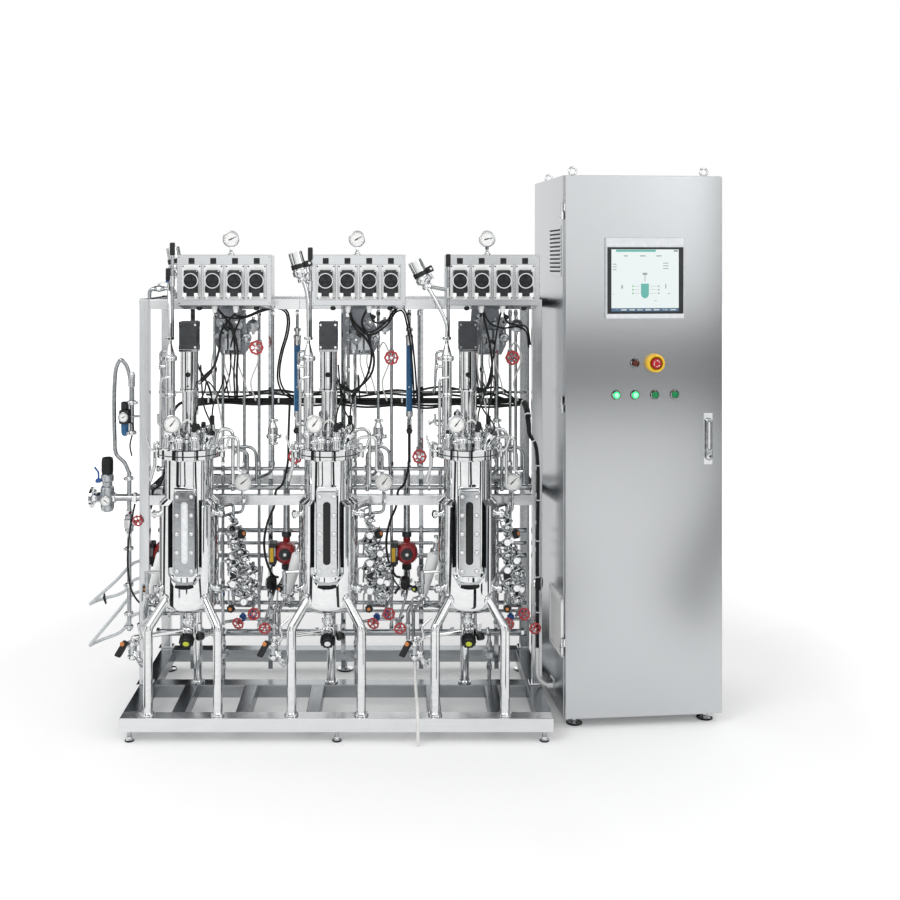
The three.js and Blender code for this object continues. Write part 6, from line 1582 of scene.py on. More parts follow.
def upper_frame():
    m = Maker("upper_frame", "frame", ["upper_frame"])
    y = {"front": (316, 354), "rear": (722, 760)}
    rows = []
    for a, b in y.values():
        for x in (-735, 772):
            rows.append(("z", (x, a, 92.3), (x + 38, b, 1570)))
        for z in (780, 1532):
            rows.append(("x", (-697.4, a + 0.3, z), (772.4, b - 0.3, z + 38)))
    # The side rails take the darker across tone: painted shade.
    for x in (-735, 772):
        for z in (780, 1532):
            rows.append(("y", (x + 0.3, 353.6, z), (x + 37.7, 722.4, z + 38)))
    beams(m, rows, 2.2)
    for x in (-716, 791):
        for yy in (335, 741):
            m.block("mirror", (x - 30, yy - 26, 92.3), (x + 30 - (12 if x > 0 else 0), yy + 26, 97), 1.2)
            m.block("black", (x - 17.5, yy - 17.5, 1569.6), (x + 17.5, yy + 17.5, 1572), 1.2)
    for x in (-120, 400):
        m.tube("dark_steel", [(x, 315.7, 1532), (x, 315.7, 1570)], 0.5, 6)
    m.done()


# ---------- cable trunk ----------

def cable_trunk(sizes):
    """The laced bundle of cables along the back of the rack and down the right-hand post."""
    turn = 757.0
    route = [(-560, 450, TRUNK_Z), (0, 450, TRUNK_Z), (turn - 97, 450, TRUNK_Z), (turn - 30, 450, TRUNK_Z),
             (turn - 4, 434, 1161), (turn, 400, 1151), (turn, 336, 1127), (turn, DROP_Y, 1089),
             (turn + 4, DROP_Y, 1053), (783, DROP_Y, 1015), (791, DROP_Y, 965), (791, DROP_Y, 600),
             (791, DROP_Y, 240)]
    line = flowing_line(route, 8)
    m = Maker("cable_trunk", "frame", ["cable_trunk"])
    # The bundle is full along the rack, and about half as thick down the post.
    spread = [0.52 + 0.48 * min(max((p.z - 1020) / 120, 0), 1) for p in line]
    m.tube("cable", line, lambda share: 7.4 * spread[round(share * (len(line) - 1))], 14)
    sides = Vector(BACK)
    for k in range(7):
        strand = []
        for i, point in enumerate(line):
            way = (line[min(i + 1, len(line) - 1)] - line[max(i - 1, 0)]).normalized()
            sides = (sides - way * sides.dot(way)).normalized()
            angle = 2 * math.pi * k / 7 + i * 0.07
            outward = sides * math.cos(angle) + way.cross(sides) * math.sin(angle)
            strand.append(point + 8.1 * spread[i] * outward)
        thick = 3.4 + 0.35 * (k % 3)
        m.tube("cable", strand, lambda share: thick * spread[round(share * (len(line) - 1))], 10)
        sides = Vector(BACK)
    # Tie mounts on the post.
    for z in (925, 820, 715, 610, 505, 400, 295):
        m.block("white", (785, 305.5, z - 7), (797, 316.2, z + 7), 1.5)
    # Cables that lie loosely along the bundle, sagging between their ties.
    for k, (low, high, y, start) in enumerate(((1148, 1152, 432, -548), (1182, 1188, 440, -500),
                                               (1193, 1206, 436, -330),
                                               (1136, 1145, 444, 20), (1200, 1214, 446, 310))):
        wavy = [(start + 117 * n, y + 6 * ((n + k) % 2), (low, high)[(n + k) % 2] + 2 * ((n * 3 + k) % 4))
                for n in range(12) if start + 117 * n < 700]
        m.tube("cable", flowing_line(wavy + [(738, 436, 1150)], 5), 4.2, 10)
    m.tube("cable", flowing_line([(-560, 452, TRUNK_Z), (-610, 452, 1150), (-640, 440, 1090),
                                  (-646, 400, 900), (-650, 372, 700), (-655, 372, 640)]), 6, 12)
    m.done()
    pitch, run = sizes.tie_pitch * 1000, 0.0
    for a, b in zip(line, line[1:]):
        run += (b - a).length
        if run > pitch and not (-560 < a.x < -540):
            run = 0.0
            girth = 12.4 if a.z > 1080 else 7.2
            mark("band", "white", a, (b - a).normalized(), girth, Radius=1.0, Thickness=0.14, Width=0.5)
# ---------- control cabinet ----------

WIDE, DEEP, LOW, HIGH = 600, 500, 34, 2034
HINGES = (300, 1190, 1900)
BUTTONS = ((193, "green_lit"), (264, "green_lit"), (339, "green"), (414, "green"))
BUTTON_Z, LAMP, STOP = 1224, (264, 1341), (338, 1341)


def hinge_leaf(m, z0, z1, y0, y1):
    m.rod("mirror", (-7, 10, z0), (-7, 10, z1), 5.8, sides=24, edge=0.8)
    m.block("mirror", (-9, y0, z0), (-0.4, y1, z1), 1)


def cabinet_body(sizes):
    m = Maker("cabinet_body", "frame", ["cabinet_body"]).at(CABINET)
    m.block("sheet", (0, 22, LOW), (WIDE, DEEP, HIGH), 2.6)
    for low, high in (((2, 24, LOW + 2), (WIDE - 2, DEEP - 2, HIGH - 2)),
                      ((20, 10, LOW + 20), (WIDE - 20, 40, HIGH - 20))):
        hollow = Maker("hollow").at(CABINET)
        hollow.block("tool", low, high, 0)
        m.cut("sheet", hollow)
    # The louvred plate high on the left side and the fan grille low on it.
    count = sizes.upper_slats
    pitch = 169 / count
    plate, slots = Maker("plate").at(CABINET), Maker("slots").at(CABINET)
    plate.block("tool", (-1.6, 52, 1660), (-0.1, 236, 1850), 0.5)
    for k in range(count):
        z = 1671 + pitch * (k + 0.5)
        slots.block("tool", (-3, 62, z - pitch * 0.2), (3, 226, z + pitch * 0.2), 0)
        mark("bar", "sheet", (-2.4, 144, z + pitch * 0.36), (-0.75, 0, 0.66), 10, BACK, CABINET, Length=16.6,
             Width=0.52, Height=0.09)
    m.cut("sheet", slots)
    plate.cut("tool", slots)
    m.take("sheet", plate)
    # A black rubber sheet just inside the wall behind the slots paints the shade of the cabinet's inside.
    m.block("rubber", (2.3, 56, 1664), (4.3, 232, 1846), 0.4)
    m.block("white", (-2.6, 16, 259), (0.2, 209, 475), 1.2)
    for low, high in (((-9, 16, 459), (-1, 209, 475)), ((-9, 16, 259), (-1, 209, 275)),
                      ((-9, 16, 259), (-1, 30, 475)), ((-9, 195, 259), (-1, 209, 475))):
        m.block("white", low, high, 2.2)
    m.block("rubber", (-3.4, 28, 273), (-2.2, 197, 461), 0.3)
    count = sizes.lower_slats
    for k in range(count):
        z = 275 + 184 * (k + 0.5) / count
        mark("bar", "white", (-5.4, 112.5, z), (-0.8, 0, 0.6), 10, BACK, CABINET, Length=16.7, Width=0.72,
             Height=0.13)
    # Gland plate where the conduit goes in.
    m.block("sheet_x", (-2.6, 156, 62), (0.2, 216, 122), 0.8)
    for y in (162, 210):
        for z in (68, 116):
            mark("cap", "tubing", (-2.6, y, z), (-1, 0, 0), 3, place=CABINET)
    # Levelling feet, lifting eyes and the fixed halves of the hinges.
    for x in (50, WIDE - 50):
        for y in (57, DEEP - 50):
            m.turned("rubber", [(28.5, 0), (30, 1.5), (30, 4), (28, 5.4)], (x, y, 0), sides=40)
            m.turned("mirror", [(26, 5), (27, 6.4), (22, 9.4), (12, 12), (9, 15), (9, 19)], (x, y, 0),
                     sides=36)
            m.rod("tubing", (x, y, 14), (x, y, LOW + 1), 6, sides=20)
            m.rod("mirror", (x, y, 25), (x, y, 33.4), 11, sides=6, edge=1)
    for x in (48, WIDE - 48):
        for y in (70, DEEP - 48):
            m.turned("mirror", [(13, 0), (13, 3), (10, 5), (6.5, 7)], (x, y, HIGH - 0.5), sides=28)
            ring = [(x + 14 * math.cos(a), y, HIGH + 18 + 14 * math.sin(a)) for a in
                    (-math.pi / 2 + 2 * math.pi * k / 28 for k in range(29))]
            m.tube("mirror", ring, 3.9, 14)
    for z in HINGES:
        hinge_leaf(m, z - 30, z, 10, 38)
        m.rod("tubing", (-7, 10, z - 2), (-7, 10, z + 30), 2.8, sides=16)
        for dz in (-22, -8):
            mark("cap", "tubing", (-9, 31, z + dz), (-1, 0, 0), 2.6, place=CABINET)
    for low, high in (((WIDE - 31, 24.5, 60), (WIDE - 21, 30, HIGH - 26)),
                      ((21, 24.5, 60), (31, 30, HIGH - 26))):
        m.block("rubber", low, high, 1.5)
    m.done()


def cabinet_door():
    m = Maker("cabinet_door", "cabinet_door", ["cabinet_door"]).at(CABINET)
    m.block("sheet", (3, 0, LOW + 3), (WIDE - 3, 20, HIGH - 3), 2.4)
    pan = Maker("pan").at(CABINET)
    pan.block("tool", (21, 2, LOW + 21), (WIDE - 21, 24, HIGH - 21), 0)
    m.cut("sheet", pan)
    holes = Maker("holes").at(CABINET)
    holes.block("tool", (174, -2, 1528), (426, 5, 1780), 0)
    for x, z in [(x, BUTTON_Z) for x, _ in BUTTONS] + [STOP, LAMP]:
        holes.rod("tool", (x, -2, z), (x, 5, z), 11.6, sides=32, edge=0)
    m.cut("sheet", holes)
    # Seal and stiffeners inside.
    for low, high in (((22, 17, 60), (28, 21.4, HIGH - 26)),
                      ((WIDE - 28, 17, 60), (WIDE - 22, 21.4, HIGH - 26)),
                      ((22, 17, 56), (WIDE - 22, 21.4, 62)),
                      ((22, 17, HIGH - 30), (WIDE - 22, 21.4, HIGH - 24))):
        m.block("rubber", low, high, 1.5)
    for x in (110, 490):
        m.block("sheet", (x - 18, 1.6, 80), (x + 18, 14, 1480), 1.2)
    for z in (760, 1150):
        m.block("sheet_x", (126, 1.6, z), (474, 12, z + 26), 1.2)
    for x, z in [(x, BUTTON_Z) for x, _ in BUTTONS] + [LAMP]:
        m.hollow("fittings", [(13, 0), (16.4, 0), (16.4, 6), (15, 7.6), (13, 7.6)], (x, -0.2, z), FRONT, 40)
        # A flat black ring round the collar's foot paints its shadow on the door.
        m.hollow("black", [(16, 0), (17.6, 0), (17.6, 1.6), (16, 1.6)], (x, -0.2, z), FRONT, 40)
        m.hollow("black", [(11.8, 2), (17, 2), (17, 9), (15, 9.5), (15, 27), (11.8, 27)], (x, 0, z), BACK, 24)
        m.block("black", (x - 15, 26, z - 20), (x + 15, 56, z + 20), 2.4)
        contact = "white" if (x, z) == LAMP else "green"
        m.block(contact, (x - 13, 56, z - 6), (x + 13, 60, z + 6), 1)
    m.turned("dark_red", [(11, 0), (11.4, 8), (10.4, 13), (7, 16.5), (0, 18)], (LAMP[0], 2, LAMP[1]),
             FRONT, 36)
    # The yellow guard round the stop button.
    m.hollow("yellow", [(12, 0), (33, 0), (35, 3), (34, 18), (31.5, 24), (27.5, 26), (24.5, 24), (23, 8),
                        (12, 5)],
             (STOP[0], -0.2, STOP[1]), FRONT, 48)
    m.hollow("black", [(11.8, 1), (18, 1), (18, 9), (15, 9.5), (15, 29), (11.8, 29)], (STOP[0], 0, STOP[1]),
             BACK, 24)
    m.block("black", (STOP[0] - 16, 28, STOP[1] - 22), (STOP[0] + 16, 64, STOP[1] + 22), 2.4)
    # Handle plate, with its lock rod and roller guides behind.
    m.block("mirror", (525, -4, 963), (559, 0.4, 1153), 1.6)
    m.block("black", (532, 0.5, 996), (552, 30, 1120), 3)
    m.block("tubing", (536, 10, 120), (548, 13, 1980), 0.6)
    for z in (240, 640, 1460, 1860):
        m.block("white", (531, 6, z), (553, 18, z + 22), 3)
    for z in HINGES:
        hinge_leaf(m, z + 0.4, z + 30, 4, 16)
        m.block("mirror", (-9, 4, z + 0.4), (3.4, 16, z + 30), 1)
    # Wiring of the door: a loom from the hinges' side to the controls and the display.
    for k in range(4):
        m.tube("cable", flowing_line([(34 + 5 * k, 26, 900), (36 + 5 * k, 28, 1100),
                                      (60 + 4 * k, 30, 1200 + 6 * k),
                                      (130 + 10 * k, 46, 1252 + 4 * k), (196 + 70 * k, 50, 1240)]), 2.6, 8)
        m.tube("cable", flowing_line([(34 + 5 * k, 26, 900), (34 + 5 * k, 28, 1300), (50 + 4 * k, 40, 1480),
                                      (150 + 16 * k, 46, 1560)]), 2.6, 8)
    for z in (960, 1060, 1400):
        m.block("white", (28, 2, z), (60, 31, z + 8), 2)
    m.done()


def touch_screen():
    m = Maker("touch_screen", "cabinet_door", ["touch_screen"]).at(CABINET)
    x, z = 300, 1654
    m.block("screen_frame", (x - 149, -8, z - 150), (x + 149, -0.3, z + 150), 2.6)
    m.block("silver", (x - 145, -8.5, z + 116), (x + 147, -7.2, z + 147), 1.1)
    m.block("silver", (x - 145, -8.5, z - 147), (x + 147, -7.2, z - 131), 1.1)
    m.block("head", (x - 142, -8.9, z - 131), (x + 145, -7.2, z + 114), 1.2)
    m.block("screen", (x - 127, -9.2, z - 110), (x + 127, -8.5, z + 106), 0.2)
    rows = [("screen_teal", -110, 97, 40, 105), ("screen_grey", 108, 97, 124, 104),
            ("screen_blue", -127, -122, 127, -110)]
    for k in range(8):
        rows.append(("screen", -123 + 31 * k, -118.5, -101 + 31 * k, -114))
    rows += [("screen_grey", -80, 80, -66, 84), ("screen_grey", -20, 80, 2, 84),
             ("screen_grey", 42, 80, 62, 84)]
    for k, dz in enumerate((50, 40, 30)):
        rows += [("screen_grey", -122, dz, -108, dz + 3), ("screen_grey", 68, dz + 4, 88, dz + 7)]
    for dz in (-30, -43, -56):
        rows += [("screen_grey", -40, dz, -22, dz + 1.2), ("screen_grey", 18, dz, 44, dz + 1.2),
                 ("screen_green", -49, dz - 2, -43, dz + 3.2), ("screen_grey", 48, dz - 2, 54, dz + 3.2)]
    rows += [("screen_teal", -16, -64, 14, -20), ("screen_grey", -2.4, -12, 0.4, 12),
             ("screen_grey", -10, 12, 8, 20),
             ("screen_grey", -90, -38, -84, -26), ("screen_grey", 76, -38, 80, -22),
             ("screen_grey", 86, -58, 94, -55),
             ("screen_grey", 34, -84, 44, -82), ("screen_grey", -122, -60, -118, -57)]
    for finish, x0, z0, x1, z1 in rows:
        m.block(finish, (x + x0, -9.5, z + z0), (x + x1, -9.0, z + z1), 0.1)
    m.turned("screen", [(15, 0), (15, 0.1), (0, 0.15)], (x - 1, -9.55, z - 64), FRONT, 24)
    m.turned("screen_teal", [(14, 0), (14, 0.2), (0, 0.25)], (x - 1, -9.6, z - 60), FRONT, 28)
    # The housing behind the door, with its cooling ribs and sockets.
    m.block("head", (x - 125, -7, z - 125), (x + 125, 40, z + 125), 3)
    for k in range(16):
        m.block("head", (x - 108 + 14 * k, 38, z - 30), (x - 103 + 14 * k, 45, z + 108), 0.8)
    for k in range(5):
        m.block("cast", (x - 100 + 40 * k, 38, z - 112), (x - 78 + 40 * k, 44, z - 98), 0.8)
    m.done()


def controls():
    """The push buttons, the stop button and the swing handle, each on its own body."""
    for number, (x, finish) in enumerate(BUTTONS):
        name = f"push_button_{number + 1}"
        m = Maker(name, name, [name]).at(CABINET)
        m.rod("black", (x, 17.5, BUTTON_Z), (x, -6, BUTTON_Z), 9.6, sides=28)
        m.turned(finish, [(12.6, 4.4), (12.6, 9), (11, 10.6), (6.6, 11.7), (0, 12)], (x, 0, BUTTON_Z),
                 FRONT, 40)
        if finish == "green_lit":
            m.turned("green_core", [(8.6, 11), (8.2, 12.1), (5, 12.7), (0, 12.9)], (x, 0, BUTTON_Z),
                     FRONT, 36)
        m.done()
    m = Maker("stop_button", "stop_button", ["stop_button"]).at(CABINET)
    x, z = STOP
    m.turned("stop", [(10.6, -17.5), (10.8, 13), (17, 14), (19.6, 16), (20, 19), (19.4, 24), (17, 28),
                      (12, 29.6), (0, 30)],
             (x, 0, z), FRONT, 48)
    for k in range(3):
        bend = [Vector((x, -29.2, z)) + Vector((math.cos(a), 0, math.sin(a))) * 11 for a in
                (math.radians(120 * k + 10 + 8 * n) for n in range(9))]
        m.tube("white", bend, 0.8, 8)
        tip = bend[-1]
        way = (bend[-1] - bend[-2]).normalized()
        m.rod("white", tip, tip + way * 5, 2.2, 0.4, 8, 0.1)
    m.done()
    m = Maker("door_handle", "door_handle", ["door_handle"]).at(CABINET @ turned_by(90, "X"))
    outline = []
    for z, start in ((1124.2, 0), (991.8, 180)):
        outline += [(542 + 12.8 * math.cos(math.radians(start + 15 * k)),
                     z + 12.8 * math.sin(math.radians(start + 15 * k)))
                    for k in range(13)]
    m.plate("tubing", outline, 4.4, 15.6, 2.2)
    groove = Maker("groove").at(m.place)
    slot = []
    for z, start in ((1120, 0), (1024, 180)):
        slot += [(542 + 7.6 * math.cos(math.radians(start + 18 * k)),
                  z + 7.6 * math.sin(math.radians(start + 18 * k)))
                 for k in range(11)]
    groove.plate("tool", slot, 10, 18, 0.1)
    m.cut("tubing", groove)
    m.plate("mirror", [(542 + (px - 542) * 0.72, 1072 + (pz - 1072) * 0.94) for px, pz in slot],
            9.4, 13.6, 1.4)
    m.turned("mirror", [(9, 15), (9, 16.2), (7.6, 16.6), (0, 16.6)], (542, 996, 0), sides=32)
    m.turned("black", [(3.4, 16.4), (3.4, 16.8), (0, 16.8)], (542, 996, 0), sides=20)
    m.done()


def mounting_plate():
    """The plate inside the cabinet with rails, ducts and generic electrical gear."""
    m = Maker("mounting_plate", "frame", ["mounting_plate"]).at(CABINET)
    m.block("sheet_x", (40, 455, 120), (560, 458, 1948), 0.8)
    for x in (70, 530):
        for z in (150, 1918):
            m.rod("tubing", (x, 457, z), (x, 497, z), 6, sides=16)
            mark("hex", "mirror", (x, 454.8, z), FRONT, 8, place=CABINET)
    rails = (1790, 1560, 1300, 1040, 780)
    for z in (*rails, 540):
        m.block("tubing", (92, 447, z - 17.5), (508, 455.2, z - 13), 0.4)
        m.block("tubing", (92, 447, z + 13), (508, 455.2, z + 17.5), 0.4)
        m.block("tubing", (92, 452, z - 14), (508, 455.2, z + 14), 0.4)
    for low, high in [((96, 400, z - 18), (504, 455, z + 18))
                      for z in (1900, 1674, 1430, 1170, 910, 660, 300)] + \
                     [((46, 400, 260), (86, 455, 1920)), ((514, 400, 260), (554, 455, 1920))]:
        m.block("duct", low, high, 1.5)
        upright = high[2] - low[2] > 100
        count = int((high[2] - low[2] if upright else high[0] - low[0]) / 12.5)
        for k in range(count):
            if upright:
                z = low[2] + 8 + 12.5 * k
                for x in (low[0] - 0.3, high[0] + 0.3):
                    mark("bar", "head", (x, 432, z), ALONG, 10, BACK, CABINET, Length=4.0, Width=0.4,
                         Height=0.06)
            else:
                x = low[0] + 8 + 12.5 * k
                for z in (low[2] - 0.3, high[2] + 0.3):
                    mark("bar", "head", (x, 432, z), UP, 10, BACK, CABINET, Length=4.0, Width=0.4,
                         Height=0.06)
    gear = []  # rail, first X, width, height, depth, count, finish
    gear += [(1790, 100, 18, 84, 62, 10, "white"), (1790, 296, 36, 88, 66, 3, "white"),
             (1790, 424, 54, 88, 70, 1, "head")]
    gear += [(1560, 100, 56, 118, 96, 1, "cast"), (1560, 170, 38, 100, 92, 6, "head"),
             (1560, 418, 54, 100, 80, 1, "head")]
    gear += [(1300, 102, 45, 86, 80, 6, "head"), (1300, 384, 22, 78, 66, 5, "white")]
    gear += [(1040, 104, 70, 142, 120, 3, "head"), (1040, 340, 70, 142, 120, 2, "head")]
    gear += [(780, 100, 27, 70, 60, 14, "white")]
    gear += [(540, 100, 6, 52, 46, 62, "duct")]
    for rail, x0, wide, high, deep, count, finish in gear:
        for k in range(count):
            x = x0 + k * (wide + 0.8)
            if wide == 6:
                mark("bar", "green" if k % 16 == 0 else ("white" if k % 8 == 0 else "duct"),
                     (x, 452 - deep / 2, rail), FRONT, 10, ALONG, CABINET, Length=0.52, Width=5.2, Height=4.6)
                mark("cap", "mirror", (x, 452 - deep, rail - 15), FRONT, 1.9, place=CABINET)
                mark("cap", "mirror", (x, 452 - deep, rail + 15), FRONT, 1.9, place=CABINET)
                continue
            m.block(finish, (x, 452 - deep * 0.62, rail - high / 2), (x + wide, 452, rail + high / 2), 1.6)
            m.block(finish, (x + 0.3, 452 - deep, rail - high * 0.26),
                    (x + wide - 0.3, 452 - deep * 0.6, rail + high * 0.26), 1.6)
            if finish == "white":
                m.block("head", (x + wide * 0.28, 446 - deep, rail - 7),
                        (x + wide * 0.72, 453 - deep, rail + 7), 1.4)
            else:
                m.block("screen_frame", (x + wide * 0.2, 451.2 - deep, rail + high * 0.04),
                        (x + wide * 0.8, 452.6 - deep, rail + high * 0.2), 0.4)
            for dz in (-1, 1):
                mark("cap", "mirror", (x + wide * 0.5, 452 - deep * 0.62, rail + dz * high * 0.4), FRONT, 2.6,
                     place=CABINET)
            if rail != 540 and k % 2 == 0:
                top = rail + high / 2
                m.tube("cable", flowing_line([(x + wide / 2, 420, top - 4), (x + wide / 2, 416, top + 14),
                                              (x + wide / 2, 424, top + 30)], 4), 1.6, 6)
    for k in range(9):
        m.tube("cable", flowing_line([(120 + 44 * k, 430, 510), (120 + 44 * k, 426, 440),
                                      (116 + 44 * k, 430, 320)]), 4, 10)
        m.rod("black", (116 + 44 * k, 430, 280), (116 + 44 * k, 430, 240), 9, sides=16)
        m.tube("cable", flowing_line([(116 + 44 * k, 430, 240), (112 + 42 * k, 410, 150),
                                      (60 + 30 * k, 330, 60), (30, 230, 50)]), 4, 10)
    m.done()
# ---------- pipe rack ----------

RACK_Y = 420
UPPER_TUBES = (-430, -346, -288, -234, -138, 89, 180, 232, 302, 340, 561, 644, 698, 720)
LOWER_TUBES = (-430, -288, -20, 89, 232, 424, 561, 698)
UPPER_HEADER, MIDDLE_HEADER, LOWER_HEADER = 902, 433, 262
HEADERS = ((UPPER_HEADER, 8), (MIDDLE_HEADER, 9), (LOWER_HEADER, 10))
SERVICE_LINE, AIR_INLET = 828.3, 806
CIRCULATORS = {"left": -654.7, "middle": -180, "right": 292}
PUMP_Z = 582
WHEELS = {"handwheel_top_left": (-288, 1384), "handwheel_top_middle": (232, 1345),
          "handwheel_top_right": (698, 1345),
          "handwheel_flow_middle": (-138, 965), "handwheel_flow_right": (340, 965)}


def union(m, point, axis, radius, finish="mirror"):
    """A hexagon nut with a round collar on each side, where two tubes are joined."""
    point, axis = Vector(point), Vector(axis).normalized()
    m.rod(finish, point - axis * radius * 0.75, point + axis * radius * 0.75, radius, sides=6, edge=0.8)
    m.rod("tubing", point - axis * radius * 1.25, point + axis * radius * 1.25, radius * 0.72, sides=16)


def pipe_rack():
    m = Maker("pipe_rack", "frame", ["pipe_rack"])
    for x in UPPER_TUBES:
        m.rod("tubing", (x, RACK_Y, UPPER_HEADER), (x, RACK_Y, 1526), 6, sides=18)
        union(m, (x, RACK_Y, 1512), UP, 9.5)
        union(m, (x, RACK_Y, 922), UP, 9.5)
    for x in LOWER_TUBES:
        m.rod("tubing", (x, RACK_Y, LOWER_HEADER), (x, RACK_Y, UPPER_HEADER), 6, sides=18)
        for z in (885, 455, 411, 284):
            union(m, (x, RACK_Y, z), UP, 9.5)
    for z, radius in HEADERS:
        m.rod("tubing", (-690, RACK_Y, z), (752, RACK_Y, z), radius, sides=24)
        for x in (-684, 746):
            m.rod("mirror", (x - 6, RACK_Y, z), (x + 6, RACK_Y, z), radius * 1.5, sides=6, edge=1)
        for x in (-470, -60, 130, 470, 610):
            clamp(m, "mirror", (x, RACK_Y, z), ALONG, radius * 1.75, radius, (0, -1, 0.3))
    m.rod("tubing", (-735, RACK_Y, SERVICE_LINE), (810, RACK_Y, SERVICE_LINE), 10, sides=24)
    for x in (-700, -452, -120, 60, 380, 590, 776):
        m.hollow("mirror", [(10, -4), (14, -4), (14, 4), (10, 4)], (x, RACK_Y, SERVICE_LINE), ALONG, 28)
        m.block("tubing", (x - 4, RACK_Y - 16, 818), (x + 4, RACK_Y + 16, 821), 0.5)
    # The float flowmeters: a blue tube between two steel ends, with a needle valve below.
    for x in (-138, 302):
        m.turned("mirror", [(6, 1100), (9, 1104), (14, 1108), (14, 1129)], (x, RACK_Y, 0), sides=32)
        m.turned("mirror", [(14, 1388), (14, 1412), (15.6, 1416), (15.6, 1424), (13, 1428), (9, 1430),
                            (9, 1440), (14, 1442), (14, 1454), (8, 1458)], (x, RACK_Y, 0), sides=32)
        m.rod("float_blue", (x, RACK_Y, 1127), (x, RACK_Y, 1391), 12.4, sides=32, edge=0.3)
        # A paler blue strip down the tube's front left edge paints its highlight.
        m.rod("float_highlight", (x - 10.5, RACK_Y - 7.2, 1128), (x - 10.5, RACK_Y - 7.2, 1390), 2.2, sides=12,
              edge=0.2)
        m.turned("mirror", [(2, 1206), (7, 1214), (8.6, 1222), (8.6, 1226), (0, 1226)], (x, RACK_Y - 4, 0),
                 sides=24)
        for k in range(18):
            mark("bar", "dark_steel", (x + 3, RACK_Y - 12.2, 1150 + 13 * k), (0.24, -1, 0), 10, (1, 0.24, 0),
                 Length=0.7 if k % 3 == 0 else 0.4, Width=0.08, Height=0.03)
        union(m, (x, RACK_Y, 1085), UP, 12)
        m.rod("cast", (x, RACK_Y, 1040), (x, RACK_Y, 1072), 11, sides=8, edge=1)
        m.rod("mirror", (x, RACK_Y, 1056), (x, RACK_Y - 26, 1056), 6, sides=16)
        hand_knob(m, "black", (x, RACK_Y - 24, 1056), FRONT, 13, 16, None, 8)
    # Globe valves under the handwheels.
    for x, z in WHEELS.values():
        m.rod("cast", (x, RACK_Y, z - 24), (x, RACK_Y, z - 12), 12, sides=6, edge=1)
        m.rod("cast", (x, RACK_Y, z + 12), (x, RACK_Y, z + 24), 12, sides=6, edge=1)
        m.rod("cast", (x, RACK_Y, z - 14), (x, RACK_Y, z + 14), 13.5, sides=20, edge=2.5)
        m.rod("cast", (x, RACK_Y, z), (x, RACK_Y - 34, z), 10.5, sides=20, edge=1.5)
        m.rod("mirror", (x, RACK_Y - 32, z), (x, RACK_Y - 46, z), 12, sides=6, edge=1)
        m.rod("cast", (x, RACK_Y - 44, z), (x, 335.2, z), 7, 6, 20)
        m.rod("tubing", (x, 336, z), (x, 322, z), 3.9, sides=14)
        mark("hex", "mirror", (x, 325.4, z), FRONT, 4.6)
    # The riser of the hose ports and the four ports through the left side.
    m.rod("tubing", (-590, RACK_Y, LOWER_HEADER), (-590, RACK_Y, UPPER_HEADER), 8, sides=20)
    for z in (519, 450, 396, 309):
        m.tube("tubing", [(-590, RACK_Y, z), (-590, 500, z), (-752, 500, z)], 8, 18, 20)
        union(m, (-736, 500, z), ALONG, 12)
        union(m, (-590, 438, z), BACK, 11)
        clamp(m, "mirror", (-655, 500, z), ALONG, 15, 8, UP)
    for x in CIRCULATORS.values():
        for low, high in ((PUMP_Z + 86.3, UPPER_HEADER), (MIDDLE_HEADER, PUMP_Z - 86.3)):
            m.rod("tubing", (x, RACK_Y, low), (x, RACK_Y, high), 13, sides=24)
            clamp(m, "mirror", (x, RACK_Y, (low + high) / 2), UP, 22, 13)
    # A second layer of pipes behind, hung from the posts' rails.
    for z, radius, y in ((1196, 5, 476), (648, 9, 470), (596, 7, 476), (548, 9, 470), (361, 8, 470),
                         (329, 6, 466), (238, 9, 470)):
        m.rod("tubing", (-694, y, z), (768, y, z), radius, sides=20)
        for x in (-560, -250, 40, 350, 650):
            m.block("tubing", (x - 5, y - radius - 3, z - radius - 3),
                    (x + 5, y + radius + 3, z + radius + 3), 2.5)
    for x in (-560, -250, 40, 350, 650):
        m.block("tubing", (x - 9, 482, 92.4), (x + 9, 488, 1531), 0.8)
        m.block("tubing", (x - 9, 430, 556), (x + 9, 486, 560), 0.6)
    m.done()


def handwheels(sizes):
    """The red handwheels, each turning on its own spindle."""
    for name, (x, z) in WHEELS.items():
        mark("wheel", "wheel_red", (x, 330, z), FRONT, 23.6, ALONG, body=name, Lobes=sizes.wheel_lobes)


# ---------- fittings round each vessel ----------

def sanitary_filter(m, x, y, z):
    """An in-line filter housing between three clamps."""
    m.turned("mirror", [(7, -50), (9, -42), (16, -36), (17, -20), (20, -16), (20, 16), (17, 20), (12, 34),
                        (8, 42), (7, 50)],
             (x, y, z), sides=32)
    for dz, radius in ((-44, 15), (-16, 25), (46, 15)):
        clamp(m, "mirror", (x, y, z + dz), UP, radius, radius * 0.6, (1, -0.6, 0))


def solenoid(m, x, y, z, lean):
    """A solenoid valve: forged body, square coil and its plug, turned on its stem."""
    m.rod("cast", (x - 15, y, z), (x + 15, y, z), 9, sides=8, edge=1)
    m.rod("cast", (x, y, z), (x, y - 18, z), 10, sides=20, edge=1)
    ways = [Vector((math.cos(math.radians(lean)), 0, math.sin(math.radians(lean)))), Vector(BACK)]
    ways.append(ways[0].cross(ways[1]))
    m.block_on("duct", (x, y - 34, z), ways, (30, 28, 30), 3)
    m.block_on("head", Vector((x, y - 34, z)) + ways[0] * 23, ways, (16, 22, 20), 4)
    m.rod("mirror", (x, y - 49, z), (x, y - 54, z), 6, sides=6, edge=0.8)
    m.block_on("cast", Vector((x, y - 34, z)) - ways[0] * 18, ways, (3, 30, 28), 0.8)


